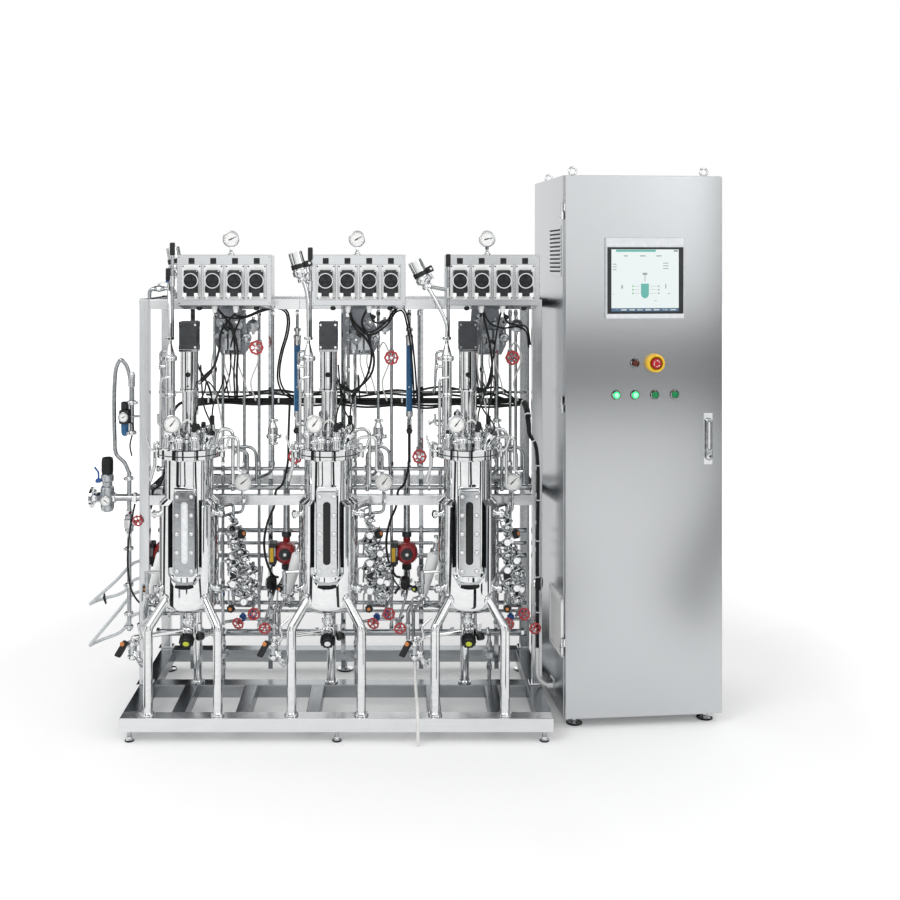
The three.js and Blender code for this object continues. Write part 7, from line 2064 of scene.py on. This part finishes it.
def low_valve(m, x, y, z, body, wheel_way):
    """A small globe valve of the low manifold with its fixed red wheel."""
    wheel_way = Vector(wheel_way).normalized()
    m.rod(body, (x, y, z - 15), (x, y, z + 15), 8, sides=8, edge=1)
    m.rod(body, (x - 13, y, z), (x + 13, y, z), 9.5, sides=20, edge=2)
    point = Vector((x, y, z))
    m.rod(body, point, point + wheel_way * 22, 8.5, sides=16, edge=1)
    m.rod("mirror", point + wheel_way * 20, point + wheel_way * 28, 9, sides=6, edge=0.8)
    m.rod("tubing", point + wheel_way * 26, point + wheel_way * 50, 2.6, sides=12)
    mark("wheel", "wheel_red", point + wheel_way * 46, wheel_way, 20, (1, 0, 0.2))
    mark("hex", "mirror", point + wheel_way * 49, wheel_way, 3.4)


def cluster(m, x, y, z0, z1, seed):
    """A column of small fittings: nipples, tees, needle valves and the bent tubes between them."""
    steps = int((z1 - z0) / 26)
    for k in range(steps):
        z = z0 + 13 + 26 * k
        turn = (seed + k) % 4
        side = 1 if (seed + k) % 2 else -1
        # Every third union is the dark steel finish: painted shade among the packed fittings.
        union(m, (x, y, z), UP, 9.5, ("mirror", "dark_steel", "tubing")[k % 3])
        m.block_on("head" if k % 4 == 1 else "dark_steel", (x + side * 11, y + 16, z + 9),
                   ((1, 0, side * 0.6), BACK, UP), (15, 12, 9), 2)
        m.tube("tubing", flowing_line([(x - side * 4, y - 12, z - 12), (x - side * 20, y - 18, z),
                                       (x - side * 6, y - 20, z + 14),
                                       (x + side * 14, y - 14, z + 20)], 4), 2.6, 10)
        if turn == 0:
            m.rod("cast", (x, y, z), (x + side * 26, y - 8, z + 4), 6.5, sides=16)
            union(m, (x + side * 20, y - 6, z + 3), (side, -0.3, 0.15), 8.5)
            m.tube("tubing", [(x + side * 24, y - 8, z + 4), (x + side * 44, y - 12, z + 6),
                              (x + side * 46, y - 12, z - 60)],
                   3.2, 12, 12)
        elif turn == 1:
            m.rod("mirror", (x, y, z), (x, y - 26, z), 6, sides=16)
            clamp(m, "mirror", (x, y - 22, z), FRONT, 13, 6, (side, 0, 0.4))
        elif turn == 2:
            m.rod("cast", (x - 12, y, z), (x + 12, y, z), 8, sides=8, edge=1)
            m.rod("mirror", (x, y, z), (x + side * 12, y - 22, z + 8), 4, sides=12)
            m.rod("mirror", (x + side * 6, y - 24, z + 2), (x + side * 18, y - 20, z + 14), 2.2, sides=10)
        else:
            clamp(m, "mirror", (x, y, z), UP, 16, 8, (side, -0.8, 0))
            m.tube("tubing", [(x, y, z), (x - side * 22, y + 4, z), (x - side * 24, y + 10, z + 40),
                              (x, y + 20, z + 44)],
                   3.6, 12, 12)
    m.rod("tubing", (x, y, z0), (x, y, z1), 6, sides=18)


def surroundings(side):
    """The pipes, valves and gauges between the rack and each vessel."""
    x0 = VESSEL_X[side]
    number = SIDES.index(side)
    m = Maker(f"fittings_{side}", "frame")
    sx = x0 + (280, 180, 130)[number]
    sanitary_filter(m, sx, RACK_Y, 1046)
    m.tube("tubing", [(sx, RACK_Y, 985), (sx, RACK_Y - 6, 890), (sx - 60, RACK_Y - 80, 876),
                      (x0 + 168, 300, 876)], 6.4, 16, 34)
    # The U-shaped siphon pipes behind the lid and the line gauge in front of them.
    ux = x0 + 140
    m.tube("tubing", [(ux, 300, 838), (ux, 300, 996), (ux + 56, 300, 996), (ux + 56, 300, 846)], 7, 16, 27.8)
    m.tube("tubing", [(ux - 24, 330, 1000), (ux + 84, 330, 1004), (ux + 88, 330, 860)], 6, 16, 34)
    clamp(m, "mirror", (ux, 300, 862), UP, 15, 7)
    clamp(m, "mirror", (ux + 56, 300, 872), UP, 15, 7)
    gx = (-328, 204, 689)[number]
    gauge(m, (gx, 250, 882), (0.05, -1, 0.03), 33, (gx, 250, 812), (52, 38, 46)[number])
    m.rod("mirror", (gx, 250, 806), (gx, 250, 820), 9, sides=6)
    m.tube("tubing", [(gx, 250, 808), (gx, 250, 770), (gx - 40, 262, 764), (x0 + 116, 200, 764)], 6, 16, 20)
    # The column of fittings at the vessel's right, with the sampling valves on it.
    cluster(m, x0 + 152, 232, 470, 760, number)
    cluster(m, x0 + 190, 262, 420, 640, number + 1)
    cluster(m, x0 + 171, 300, 436, 700, number + 3)
    cluster(m, x0 + 214, 330, 420, 560, number + 2)
    cluster(m, x0 - 158, 300, 416, 520, number + 2)
    m.tube("tubing", [(x0 + 152, 232, 762), (x0 + 152, 232, 804), (x0 + 122, 190, 806), (x0 + 104, 170, 800)],
           6, 16, 18)
    m.tube("tubing", [(x0 + 152, 232, 470), (x0 + 152, 240, 420), (x0 + 210, 300, 400), (x0 + 210, 420, 400)],
           6, 16, 26)
    m.tube("tubing", [(x0 - 158, 300, 420), (x0 - 158, 290, 400), (x0 - 104, 200, 440), (x0 - 70, 190, 452)],
           6, 16, 22)
    hand_knob(m, "black", (x0 + 176, 226, 690), (0.75, -0.5, 0.3), 17, 22, "orange", 9)
    m.rod("mirror", (x0 + 154, 236, 684), (x0 + 178, 224, 692), 7, sides=16)
    m.block("black", (x0 + 140, 214, 520), (x0 + 164, 240, 548), 4)
    hand_knob(m, "black", (x0 + 150, 196, 424), (-0.1, -1, 0.05), 15, 20, "orange", 9)
    m.rod("mirror", (x0 + 150, 232, 428), (x0 + 150, 196, 424), 7, sides=16)
    # The low manifold with its blue and steel valves.
    mx = x0 + 172
    m.tube("tubing", [(x0 + 110, 300, 338), (mx + 10, 330, 340), (mx + 96, 330, 340), (mx + 104, 396, 330)],
           6, 16, 22)
    low_valve(m, mx + 4, 322, 350, "blue", (-0.3, -0.95, -0.25))
    low_valve(m, mx + 44, 322, 362, "blue", (0.15, -0.95, 0.3))
    low_valve(m, mx + 88, 322, 330, "cast", (0.1, -0.97, -0.2))
    m.tube("tubing", [(mx + 24, 330, 348), (mx + 60, 350, 420), (mx + 66, 380, 470), (mx + 66, 412, 520)],
           5, 14, 26)
    m.tube("tubing", [(mx + 92, 322, 346), (mx + 118, 340, 430), (mx + 124, 380, 452), (mx + 124, 412, 452)],
           5, 14, 26)
    # A pressure transmitter seen from its side, and a strainer.
    m.rod("black", (mx + 104, 330, 480), (mx + 122, 322, 480), 27, sides=32, edge=3)
    m.rod("mirror", (mx + 98, 332, 480), (mx + 106, 329, 480), 25, sides=32, edge=2)
    m.rod("mirror", (mx + 104, 332, 452), (mx + 104, 332, 425), 8, sides=6)
    m.rod("cast", (mx + 104, 332, 430), (mx + 104, 420, 430), 8, sides=16)
    # The white actuated valve on the vessel's left and the bent pipe below it.
    ax = x0 - 158
    top, lean = Vector((ax + 36, 262, 600)), Vector((-0.27, -0.06, -0.95)).normalized()
    m.turned("white", [(12, -16), (22, -8), (24, 0), (23, 34), (19, 90), (16, 138), (13, 147), (0, 149)],
             top, lean, 32)
    m.rod("cast", top - lean * 44, top - lean * 8, 12, sides=24, edge=2)
    m.rod("cast", top - lean * 40 + up_by(-26), top - lean * 40 + up_by(26), 10, sides=20)
    clamp(m, "mirror", top - lean * 20, lean, 19, 11)
    for way in (-1, 1):
        union(m, top - lean * 40 + up_by(24 * way), UP, 13)
    m.rod("white", (ax + 66, 268, 590), (ax + 96, 250, 606), 17, 14, 28, 2)
    m.rod("white", (ax + 44, 262, 520), (ax + 96, 230, 520), 10, sides=24, edge=2)
    m.rod("cast", (ax - 8, 200, 510), (ax - 8, 200, 560), 9, sides=20, edge=1)
    m.rod("mirror", (ax - 8, 200, 556), (ax + 50, 190, 562), 6, sides=16)
    m.tube("tubing", [(ax - 60, 330, LOWER_HEADER), (ax - 60, 330, 396), (ax + 40, 300, 402),
                      (ax + 92, 190, 420)],
           7.5, 18, 30)
    m.tube("tubing", [(ax - 8, 200, 510), (ax - 8, 206, 452), (ax - 40, 300, 380),
                      (ax - 40, 330, LOWER_HEADER)],
           6.5, 16, 24)
    for z in (470, 318):
        clamp(m, "mirror", (ax - 60 if z < 400 else ax - 8, 330 if z < 400 else 204, z), UP, 15, 7)
    cap_finish = "orange" if number < 2 else "label"
    diaphragm_valve(m, (ax - 26, 320, 466), (0, 0.3, 1), (-0.4, -1, 0), 13, cap_finish)
    # Steam trap and non-return valve standing on the base.
    tx = x0 + 96
    m.turned("cast", [(10, 0), (20, 5), (26, 12), (26, 26), (20, 34), (12, 38)], (tx, 352, 176), sides=32)
    ring_of("hex", "mirror", (tx, 352, 203), UP, 21, 4, 3.4)
    m.rod("tubing", (tx, 352, 92.3), (tx, 352, 262), 7, sides=18)
    union(m, (tx, 352, 150), UP, 12)
    union(m, (tx, 352, 236), UP, 12)
    m.tube("tubing", [(tx, 352, 240), (tx, 352, 268), (tx, 414, 270)], 7, 16, 12)
    # Sloping drain line under the vessel to the front beam.
    m.tube("tubing", [(x0 + 30, 190, 356), (x0 + 30, 260, 300), (x0 + 30, 380, 264)], 8, 18, 24)
    m.rod("cast", (x0 + 30, 226, 330), (x0 + 30, 248, 312), 15, sides=8, edge=2)
    m.block("black", (x0 + 22, 196, 318), (x0 + 38, 240, 326), 3)
    # Behind the drive: the condenser's cooling tubes and an air line with its valve.
    cx = x0 - 84
    actuator_valve(m, (x0 + 66, 330, 1428), UP, (0.7, -0.7, 0.1), 10, "duct")
    m.rod("tubing", (x0 + 66, 330, 1180), (x0 + 66, 330, 1540), 6, sides=16)
    for z in (1196, 1300, 1510):
        union(m, (x0 + 66, 330, z), UP, 10)
    m.tube("tubing", rounded_line([(cx, 186, 1382), (cx - 30, 186, 1382), (cx - 34, 240, 1240),
                                   (cx - 34, 330, 1210), (cx - 34, 414, 1210)],
                                  20), 5, 14)
    m.tube("tubing", [(cx, 186, 1120), (cx - 36, 220, 1120), (cx - 50, 330, 1090), (cx - 50, 414, 1090)],
           5, 14, 20)
    m.tube("silicone", flowing_line([(x0 + 180, 404, 1366), (x0 + 200, 396, 1400), (x0 + 226, 392, 1340),
                                     (x0 + 196, 398, 1240), (x0 + 214, 412, 1170)]), 3, 10)
    m.tube("silicone", flowing_line([(x0 + 60, 372, 1392), (x0 + 50, 352, 1300), (x0 + 76, 340, 1180),
                                     (x0 + 96, 330, 1060), (x0 + 92, 330, 980)]), 3, 10)
    # Black power cables that hang in front of the rack.
    px = CIRCULATORS[side]
    m.tube("cable", flowing_line([(px - 50, 380, 540), (px - 58, 372, 500), (px - 30, 352, 462),
                                  (px - 6, 360, 500), (px + 6, 372, 540)]), 3, 10)
    m.tube("cable", flowing_line([(px - 26, 360, 492), (px - 44, 352, 500), (px - 71, 350, 558),
                                  (px - 80, 350, 632),
                                  (px - 66, 350, 710), (px - 41, 352, 771), (px - 34, 350, 829),
                                  (px - 12, 372, 850),
                                  (px + 8, 380, 930), (px + 9, 400, 1026), (px + 10, 440, 1156)]), 4.6, 12)
    m.tube("cable", flowing_line([(px + 20, 340, 462), (px - 20, 330, 470), (px - 48, 320, 440)]), 5, 10)
    solenoid(m, x0 + 96, 382, 1440 - 26 * number, 52)
    solenoid(m, x0 + 150, 382, 1482, 60)
    m.turned("cast", [(9, 0), (16, 5), (24, 9), (26, 16), (24, 24), (14, 30), (8, 34)], (x0 + 206, 404, 1462),
             (0, -1, 0.2), 32)
    m.rod("mirror", (x0 + 206, 398, 1430), (x0 + 206, 398, 1500), 6, sides=16)
    m.done()


# ---------- circulation pumps ----------

def circulation_pump(side):
    name = f"circulation_pump_{side}"
    m = Maker(name, "frame", [name]).at(move(CIRCULATORS[side], 0, PUMP_Z))
    m.turned("pump_red", [(30, 0), (37, 3), (41, 8), (42, 14), (42, 36), (40, 46), (37, 53), (33, 57),
                          (26, 59), (22, 59)],
             (0, 412, 0), FRONT, 56)
    m.turned("head", [(23, 56), (23, 61), (21.5, 63), (14, 64), (0, 64)], (0, 412, 0), FRONT, 48)
    m.turned("white", [(6.4, 62), (6.4, 66), (5.4, 67), (0, 67)], (0, 412, 0), FRONT, 28)
    m.turned("pump_red", [(22, 0), (31, 3), (34, 8), (34, 20), (30, 26)], (0, 436, 0), FRONT, 48)
    m.hollow("pump_red", [(24, 408), (40, 408), (40, 413), (24, 413)], axis=BACK, sides=48)
    for angle in (45, 135, 225, 315):
        arm = Vector((math.cos(math.radians(angle)), 0, math.sin(math.radians(angle)))) * 37
        m.rod("pump_red", arm + Vector((0, 398, 0)), arm + Vector((0, 420, 0)), 6, sides=16)
        mark("cap", "tubing", arm + Vector((0, 398, 0)), FRONT, 4.4, place=m.place)
    for k in range(14):
        angle = math.radians(200 + 10 * k)
        m.block_on("pump_red", Vector((42 * math.cos(angle), 386, 42 * math.sin(angle))),
                   ((math.cos(angle), 0, math.sin(angle)), BACK, (-math.sin(angle), 0, math.cos(angle))),
                   (4, 34, 1.8), 0.4)
    for way in (-1, 1):
        m.rod("pump_red", (0, RACK_Y, way * 24), (0, RACK_Y, way * 58), 14, sides=28)
        m.rod("head", (0, RACK_Y, way * 54), (0, RACK_Y, way * 74), 20, sides=8, edge=1.5)
        m.rod("tubing", (0, RACK_Y, way * 70), (0, RACK_Y, way * 86), 13, sides=24)
    m.block("head", (-62, 356, -42), (-34, 412, 42), 4)
    m.block("yellow", (-59.5, 355.2, -30), (-45, 357, 24), 0.6)
    m.block("duct", (-43, 355.4, -8), (-37, 357, 24), 0.4)
    m.rod("black", (-48, 384, -41), (-48, 384, -54), 8, sides=8, edge=1)
    m.done()


# ---------- air service ----------

def air_service():
    y, x = 335, -778
    m = Maker("air_service", "frame", ["air_service"])
    neck = [(x, y, 900)] + [(x + dx, y, z) for dx,
                            z in ((-18, 940), (-50, 975), (-56, 1040), (-56, 1250), (-48, 1312),
                                                        (-32, 1336), (-12, 1316), (6, 1250), (10, 1184))]
    m.tube("tubing", flowing_line(neck, 8), 7.6, 20)
    m.turned("mirror", [(11, 0), (12.5, 2), (12.5, 46), (9, 52), (8, 58)], (x + 9, y, 1232), (0.05, 0, 1), 24)
    for k in range(6):
        m.hollow("tubing", [(12, 0), (13.4, 0), (13.4, 2.4), (12, 2.4)], (x + 9.3, y, 1238 + 6 * k),
                 (0.05, 0, 1), 24)
    m.turned("tubing", [(8.4, 1180), (9.6, 1182), (9.6, 1230), (9, 1232)], (x + 10, y, 0), sides=20)
    clamp(m, "mirror", (x + 10, y, 1172), UP, 19, 9, (1, -0.8, 0))
    m.rod("tubing", (x + 10, y, 1060), (x + 10, y, 1176), 9, sides=22)
    clamp(m, "mirror", (x + 10, y, 1056), UP, 18, 9, (-1, -0.8, 0))
    # The black air regulator on the post, with its gauge and bowl.
    m.block("head", (-812, 306, 1092), (-774, 352, 1146), 6)
    m.rod("head", (-793, 329, 1146), (-793, 329, 1176), 15, sides=24, edge=3)
    m.turned("float_blue", [(0, 1044), (9, 1046), (14, 1056), (15, 1092)], (-793, 329, 0), sides=28)
    gauge(m, (-793, 300, 1120), FRONT, 18, None, 60)
    m.tube("cable", flowing_line([(-776, 330, 1106), (-760, 326, 1080), (-772, 322, 1010), (-766, 326, 968)]),
           3, 10)
    m.block("tubing", (-776, 325, 1116), (-735.4, 345, 1122), 1)
    # The column with its ball valve and the drain nozzle.
    m.rod("tubing", (x, y, 294), (x, y, 905), 8.6, sides=24)
    m.rod("cast", (x, y, 676), (x, y, 740), 17, sides=8, edge=2)
    m.rod("mirror", (x, y, 690), (x, y, 726), 19, sides=32, edge=2.5)
    for z in (664, 752):
        m.rod("mirror", (x, y, z - 7), (x, y, z + 7), 13, sides=6, edge=1)
    for z in (880, 610, 470, 360, 308):
        clamp(m, "mirror", (x, y, z), UP, 16.5, 8.6, (-1, -0.7, 0))
    m.rod("cast", (x, y, 700), (x + 26, y - 26, 716), 9, sides=16)
    m.rod("mirror", (x + 22, y - 22, 713), (x + 30, y - 30, 718), 9.5, sides=6)
    m.rod("tubing", (x + 28, y - 28, 717), (x + 44, y - 44, 727), 2.8, sides=12)
    mark("wheel", "wheel_red", (x + 42, y - 42, 726), (0.64, -0.64, 0.4), 18, UP)
    # Steel pressure regulator between the inlet flange and the post.
    at = (-862, y, 0)
    m.turned("cast", [(14, 752), (22, 757), (25.4, 766), (26, 774), (26, 842), (24.6, 848), (19, 853),
                      (19, 866), (22, 869), (24, 872), (24, 893), (21, 897)], at, sides=40)
    m.turned("black", [(17, 896), (21, 899), (22, 904), (22, 950), (20.6, 958), (17, 961.6), (0, 962)], at,
             sides=36)
    ring_of("bar", "black", (-862, y, 928), UP, 21.6, 22, 10, Length=0.16, Width=0.24, Height=4.0)
    ring_of("cap", "mirror", (-862, y, 872), UP, 20, 6, 2.8)
    m.rod("tubing", (-926, y, AIR_INLET), (-735.3, y, AIR_INLET), 14.4, sides=28)
    for dx, radius in ((-838, 21), (-892, 21), (-756, 20)):
        m.rod("mirror", (dx - 9, y, AIR_INLET), (dx + 9, y, AIR_INLET), radius, sides=6, edge=1.4)
    m.turned("mirror", [(38, 0), (40, 1.4), (40, 10.6), (38, 12)], (-926, y, AIR_INLET), ALONG, 56)
    m.hollow("mirror", [(14, 12), (24, 12), (20, 22), (14, 26)], (-926, y, AIR_INLET), ALONG, 40)
    ring_of("hex", "mirror", (-914, y, AIR_INLET), ALONG, 31, 4, 5, 45)
    ring_of("dome", "mirror", (-926, y, AIR_INLET), (-1, 0, 0), 31, 4, 5, 45)
    m.block("blue", (-904, y - 20, 866), (-884, y + 4, 880), 3)
    m.tube("blue", [(-894, y - 8, 880), (-894, y - 10, 906), (-908, y - 14, 926)], 3.6, 12, 8)
    gauge(m, (-862, y - 34, 800), FRONT, 19, None, 130)
    m.rod("mirror", (-862, y - 12, 800), (-862, y - 30, 800), 5, sides=14)
    # The blue-handled valve and pipe stub that stand on the top rail.
    m.tube("tubing", [(-700, 335, 1571), (-700, 335, 1610), (-610, 335, 1612), (-590, 335, 1571)], 7, 18, 18)
    ball_valve(m, (-662, 335, 1611), ALONG, 13, (1, 0, 0.25), "blue", 62, (0, -0.4, 1))
    m.block("black", (-636, 322, 1640), (-612, 346, 1690), 4)
    m.rod("tubing", (-624, 334, 1571), (-624, 334, 1640), 7, sides=16)
    # The black cable that loops down the post to the hose clamp.
    m.tube("cable", flowing_line([(-752, 318, 786), (-764, 310, 720), (-776, 306, 620), (-776, 308, 530),
                                  (-762, 314, 450), (-730, 322, 402), (-700, 336, 396)]), 3.6, 12)
    m.done()
# ---------- operators ----------

class MakeStage(bpy.types.Operator):
    """Make the camera, the lamps and the studio floor"""

    bl_idname, bl_label = "bioreactor.make_stage", "Stage"

    def execute(self, context):
        studio(context.scene.bioreactor_sizes)
        return {"FINISHED"}


class MakeCords(bpy.types.Operator):
    """Make the free hoses, the conduit and the drain tube"""

    bl_idname, bl_label = "bioreactor.make_cords", "Hoses and conduit"

    def execute(self, context):
        cords(context.scene.bioreactor_sizes)
        return {"FINISHED"}


class MakeVessels(bpy.types.Operator):
    """Make the three jacketed vessels, with their sight glasses and outlets"""

    bl_idname, bl_label = "bioreactor.make_vessels", "Vessels"

    def execute(self, context):
        for side in SIDES:
            vessel(side, context.scene.bioreactor_sizes)
        spread_out("vessel_fasteners")
        return {"FINISHED"}


class MakeLids(bpy.types.Operator):
    """Make the three lids with their ports, gauges, lamps and risers"""

    bl_idname, bl_label = "bioreactor.make_lids", "Lids"

    def execute(self, context):
        for side in SIDES:
            head_plate(side)
            exhaust_filter(side)
        spread_out("lid_details")
        return {"FINISHED"}


class MakeDrives(bpy.types.Operator):
    """Make the agitators with the drives over them"""

    bl_idname, bl_label = "bioreactor.make_drives", "Agitators and drives"

    def execute(self, context):
        for side in SIDES:
            agitator(side)
            drive(side)
        spread_out("drive_screws")
        return {"FINISHED"}


class MakePanels(bpy.types.Operator):
    """Make the three pump panels and their twelve rotors"""

    bl_idname, bl_label = "bioreactor.make_panels", "Pump panels"

    def execute(self, context):
        for side in SIDES:
            pump_panel(side)
            for index in range(4):
                pump_rotor(side, index)
        spread_out("panel_details")
        return {"FINISHED"}


class MakeFrames(bpy.types.Operator):
    """Make the base frame on its feet, the upper frame and the cable trunk"""

    bl_idname, bl_label = "bioreactor.make_frames", "Frames and cable trunk"

    def execute(self, context):
        base_frame()
        upper_frame()
        cable_trunk(context.scene.bioreactor_sizes)
        spread_out("frame_details")
        return {"FINISHED"}


class MakeCabinet(bpy.types.Operator):
    """Make the control cabinet, its door and what is mounted inside it"""

    bl_idname, bl_label = "bioreactor.make_cabinet", "Cabinet"

    def execute(self, context):
        cabinet_body(context.scene.bioreactor_sizes)
        cabinet_door()
        mounting_plate()
        spread_out("cabinet_details")
        return {"FINISHED"}


class MakeControls(bpy.types.Operator):
    """Make the display, the buttons and the door handle"""

    bl_idname, bl_label = "bioreactor.make_controls", "Display and controls"

    def execute(self, context):
        touch_screen()
        controls()
        return {"FINISHED"}


class MakePipework(bpy.types.Operator):
    """Make the pipe rack, the handwheels and the fittings round each vessel"""

    bl_idname, bl_label = "bioreactor.make_pipework", "Pipework"

    def execute(self, context):
        pipe_rack()
        handwheels(context.scene.bioreactor_sizes)
        for side in SIDES:
            surroundings(side)
        spread_out("pipework_details")
        return {"FINISHED"}


class MakePumps(bpy.types.Operator):
    """Make the circulation pumps and the air service at the left end"""

    bl_idname, bl_label = "bioreactor.make_pumps", "Pumps and air service"

    def execute(self, context):
        for side in SIDES:
            circulation_pump(side)
        air_service()
        spread_out("pump_details")
        return {"FINISHED"}


OPERATORS = (MakeStage, MakeCords, MakeVessels, MakeLids, MakeDrives, MakePanels, MakeFrames, MakePipework,
             MakePumps, MakeCabinet, MakeControls)


class BioreactorPanel(bpy.types.Panel):
    """Lists the steps and the sizes in the 3D view's sidebar"""

    bl_idname, bl_label = "VIEW3D_PT_bioreactor", "Bench bioreactor"
    bl_space_type, bl_region_type, bl_category = "VIEW_3D", "UI", "Bioreactor"

    def draw(self, context):
        for step in OPERATORS:
            self.layout.operator(step.bl_idname)
        sizes = context.scene.bioreactor_sizes
        for name in BioreactorSizes.__annotations__:
            self.layout.prop(sizes, name)


def register():
    for kind in (BioreactorSizes, *OPERATORS, BioreactorPanel):
        bpy.utils.register_class(kind)
    bpy.types.Scene.bioreactor_sizes = PointerProperty(type=BioreactorSizes)


def unregister():
    del bpy.types.Scene.bioreactor_sizes
    for kind in (BioreactorPanel, *reversed(OPERATORS), BioreactorSizes):
        bpy.utils.unregister_class(kind)


def main():
    register()
    for step in OPERATORS:
        getattr(bpy.ops.bioreactor, step.bl_idname.split(".")[1])()


if __name__ == "__main__":
    main()
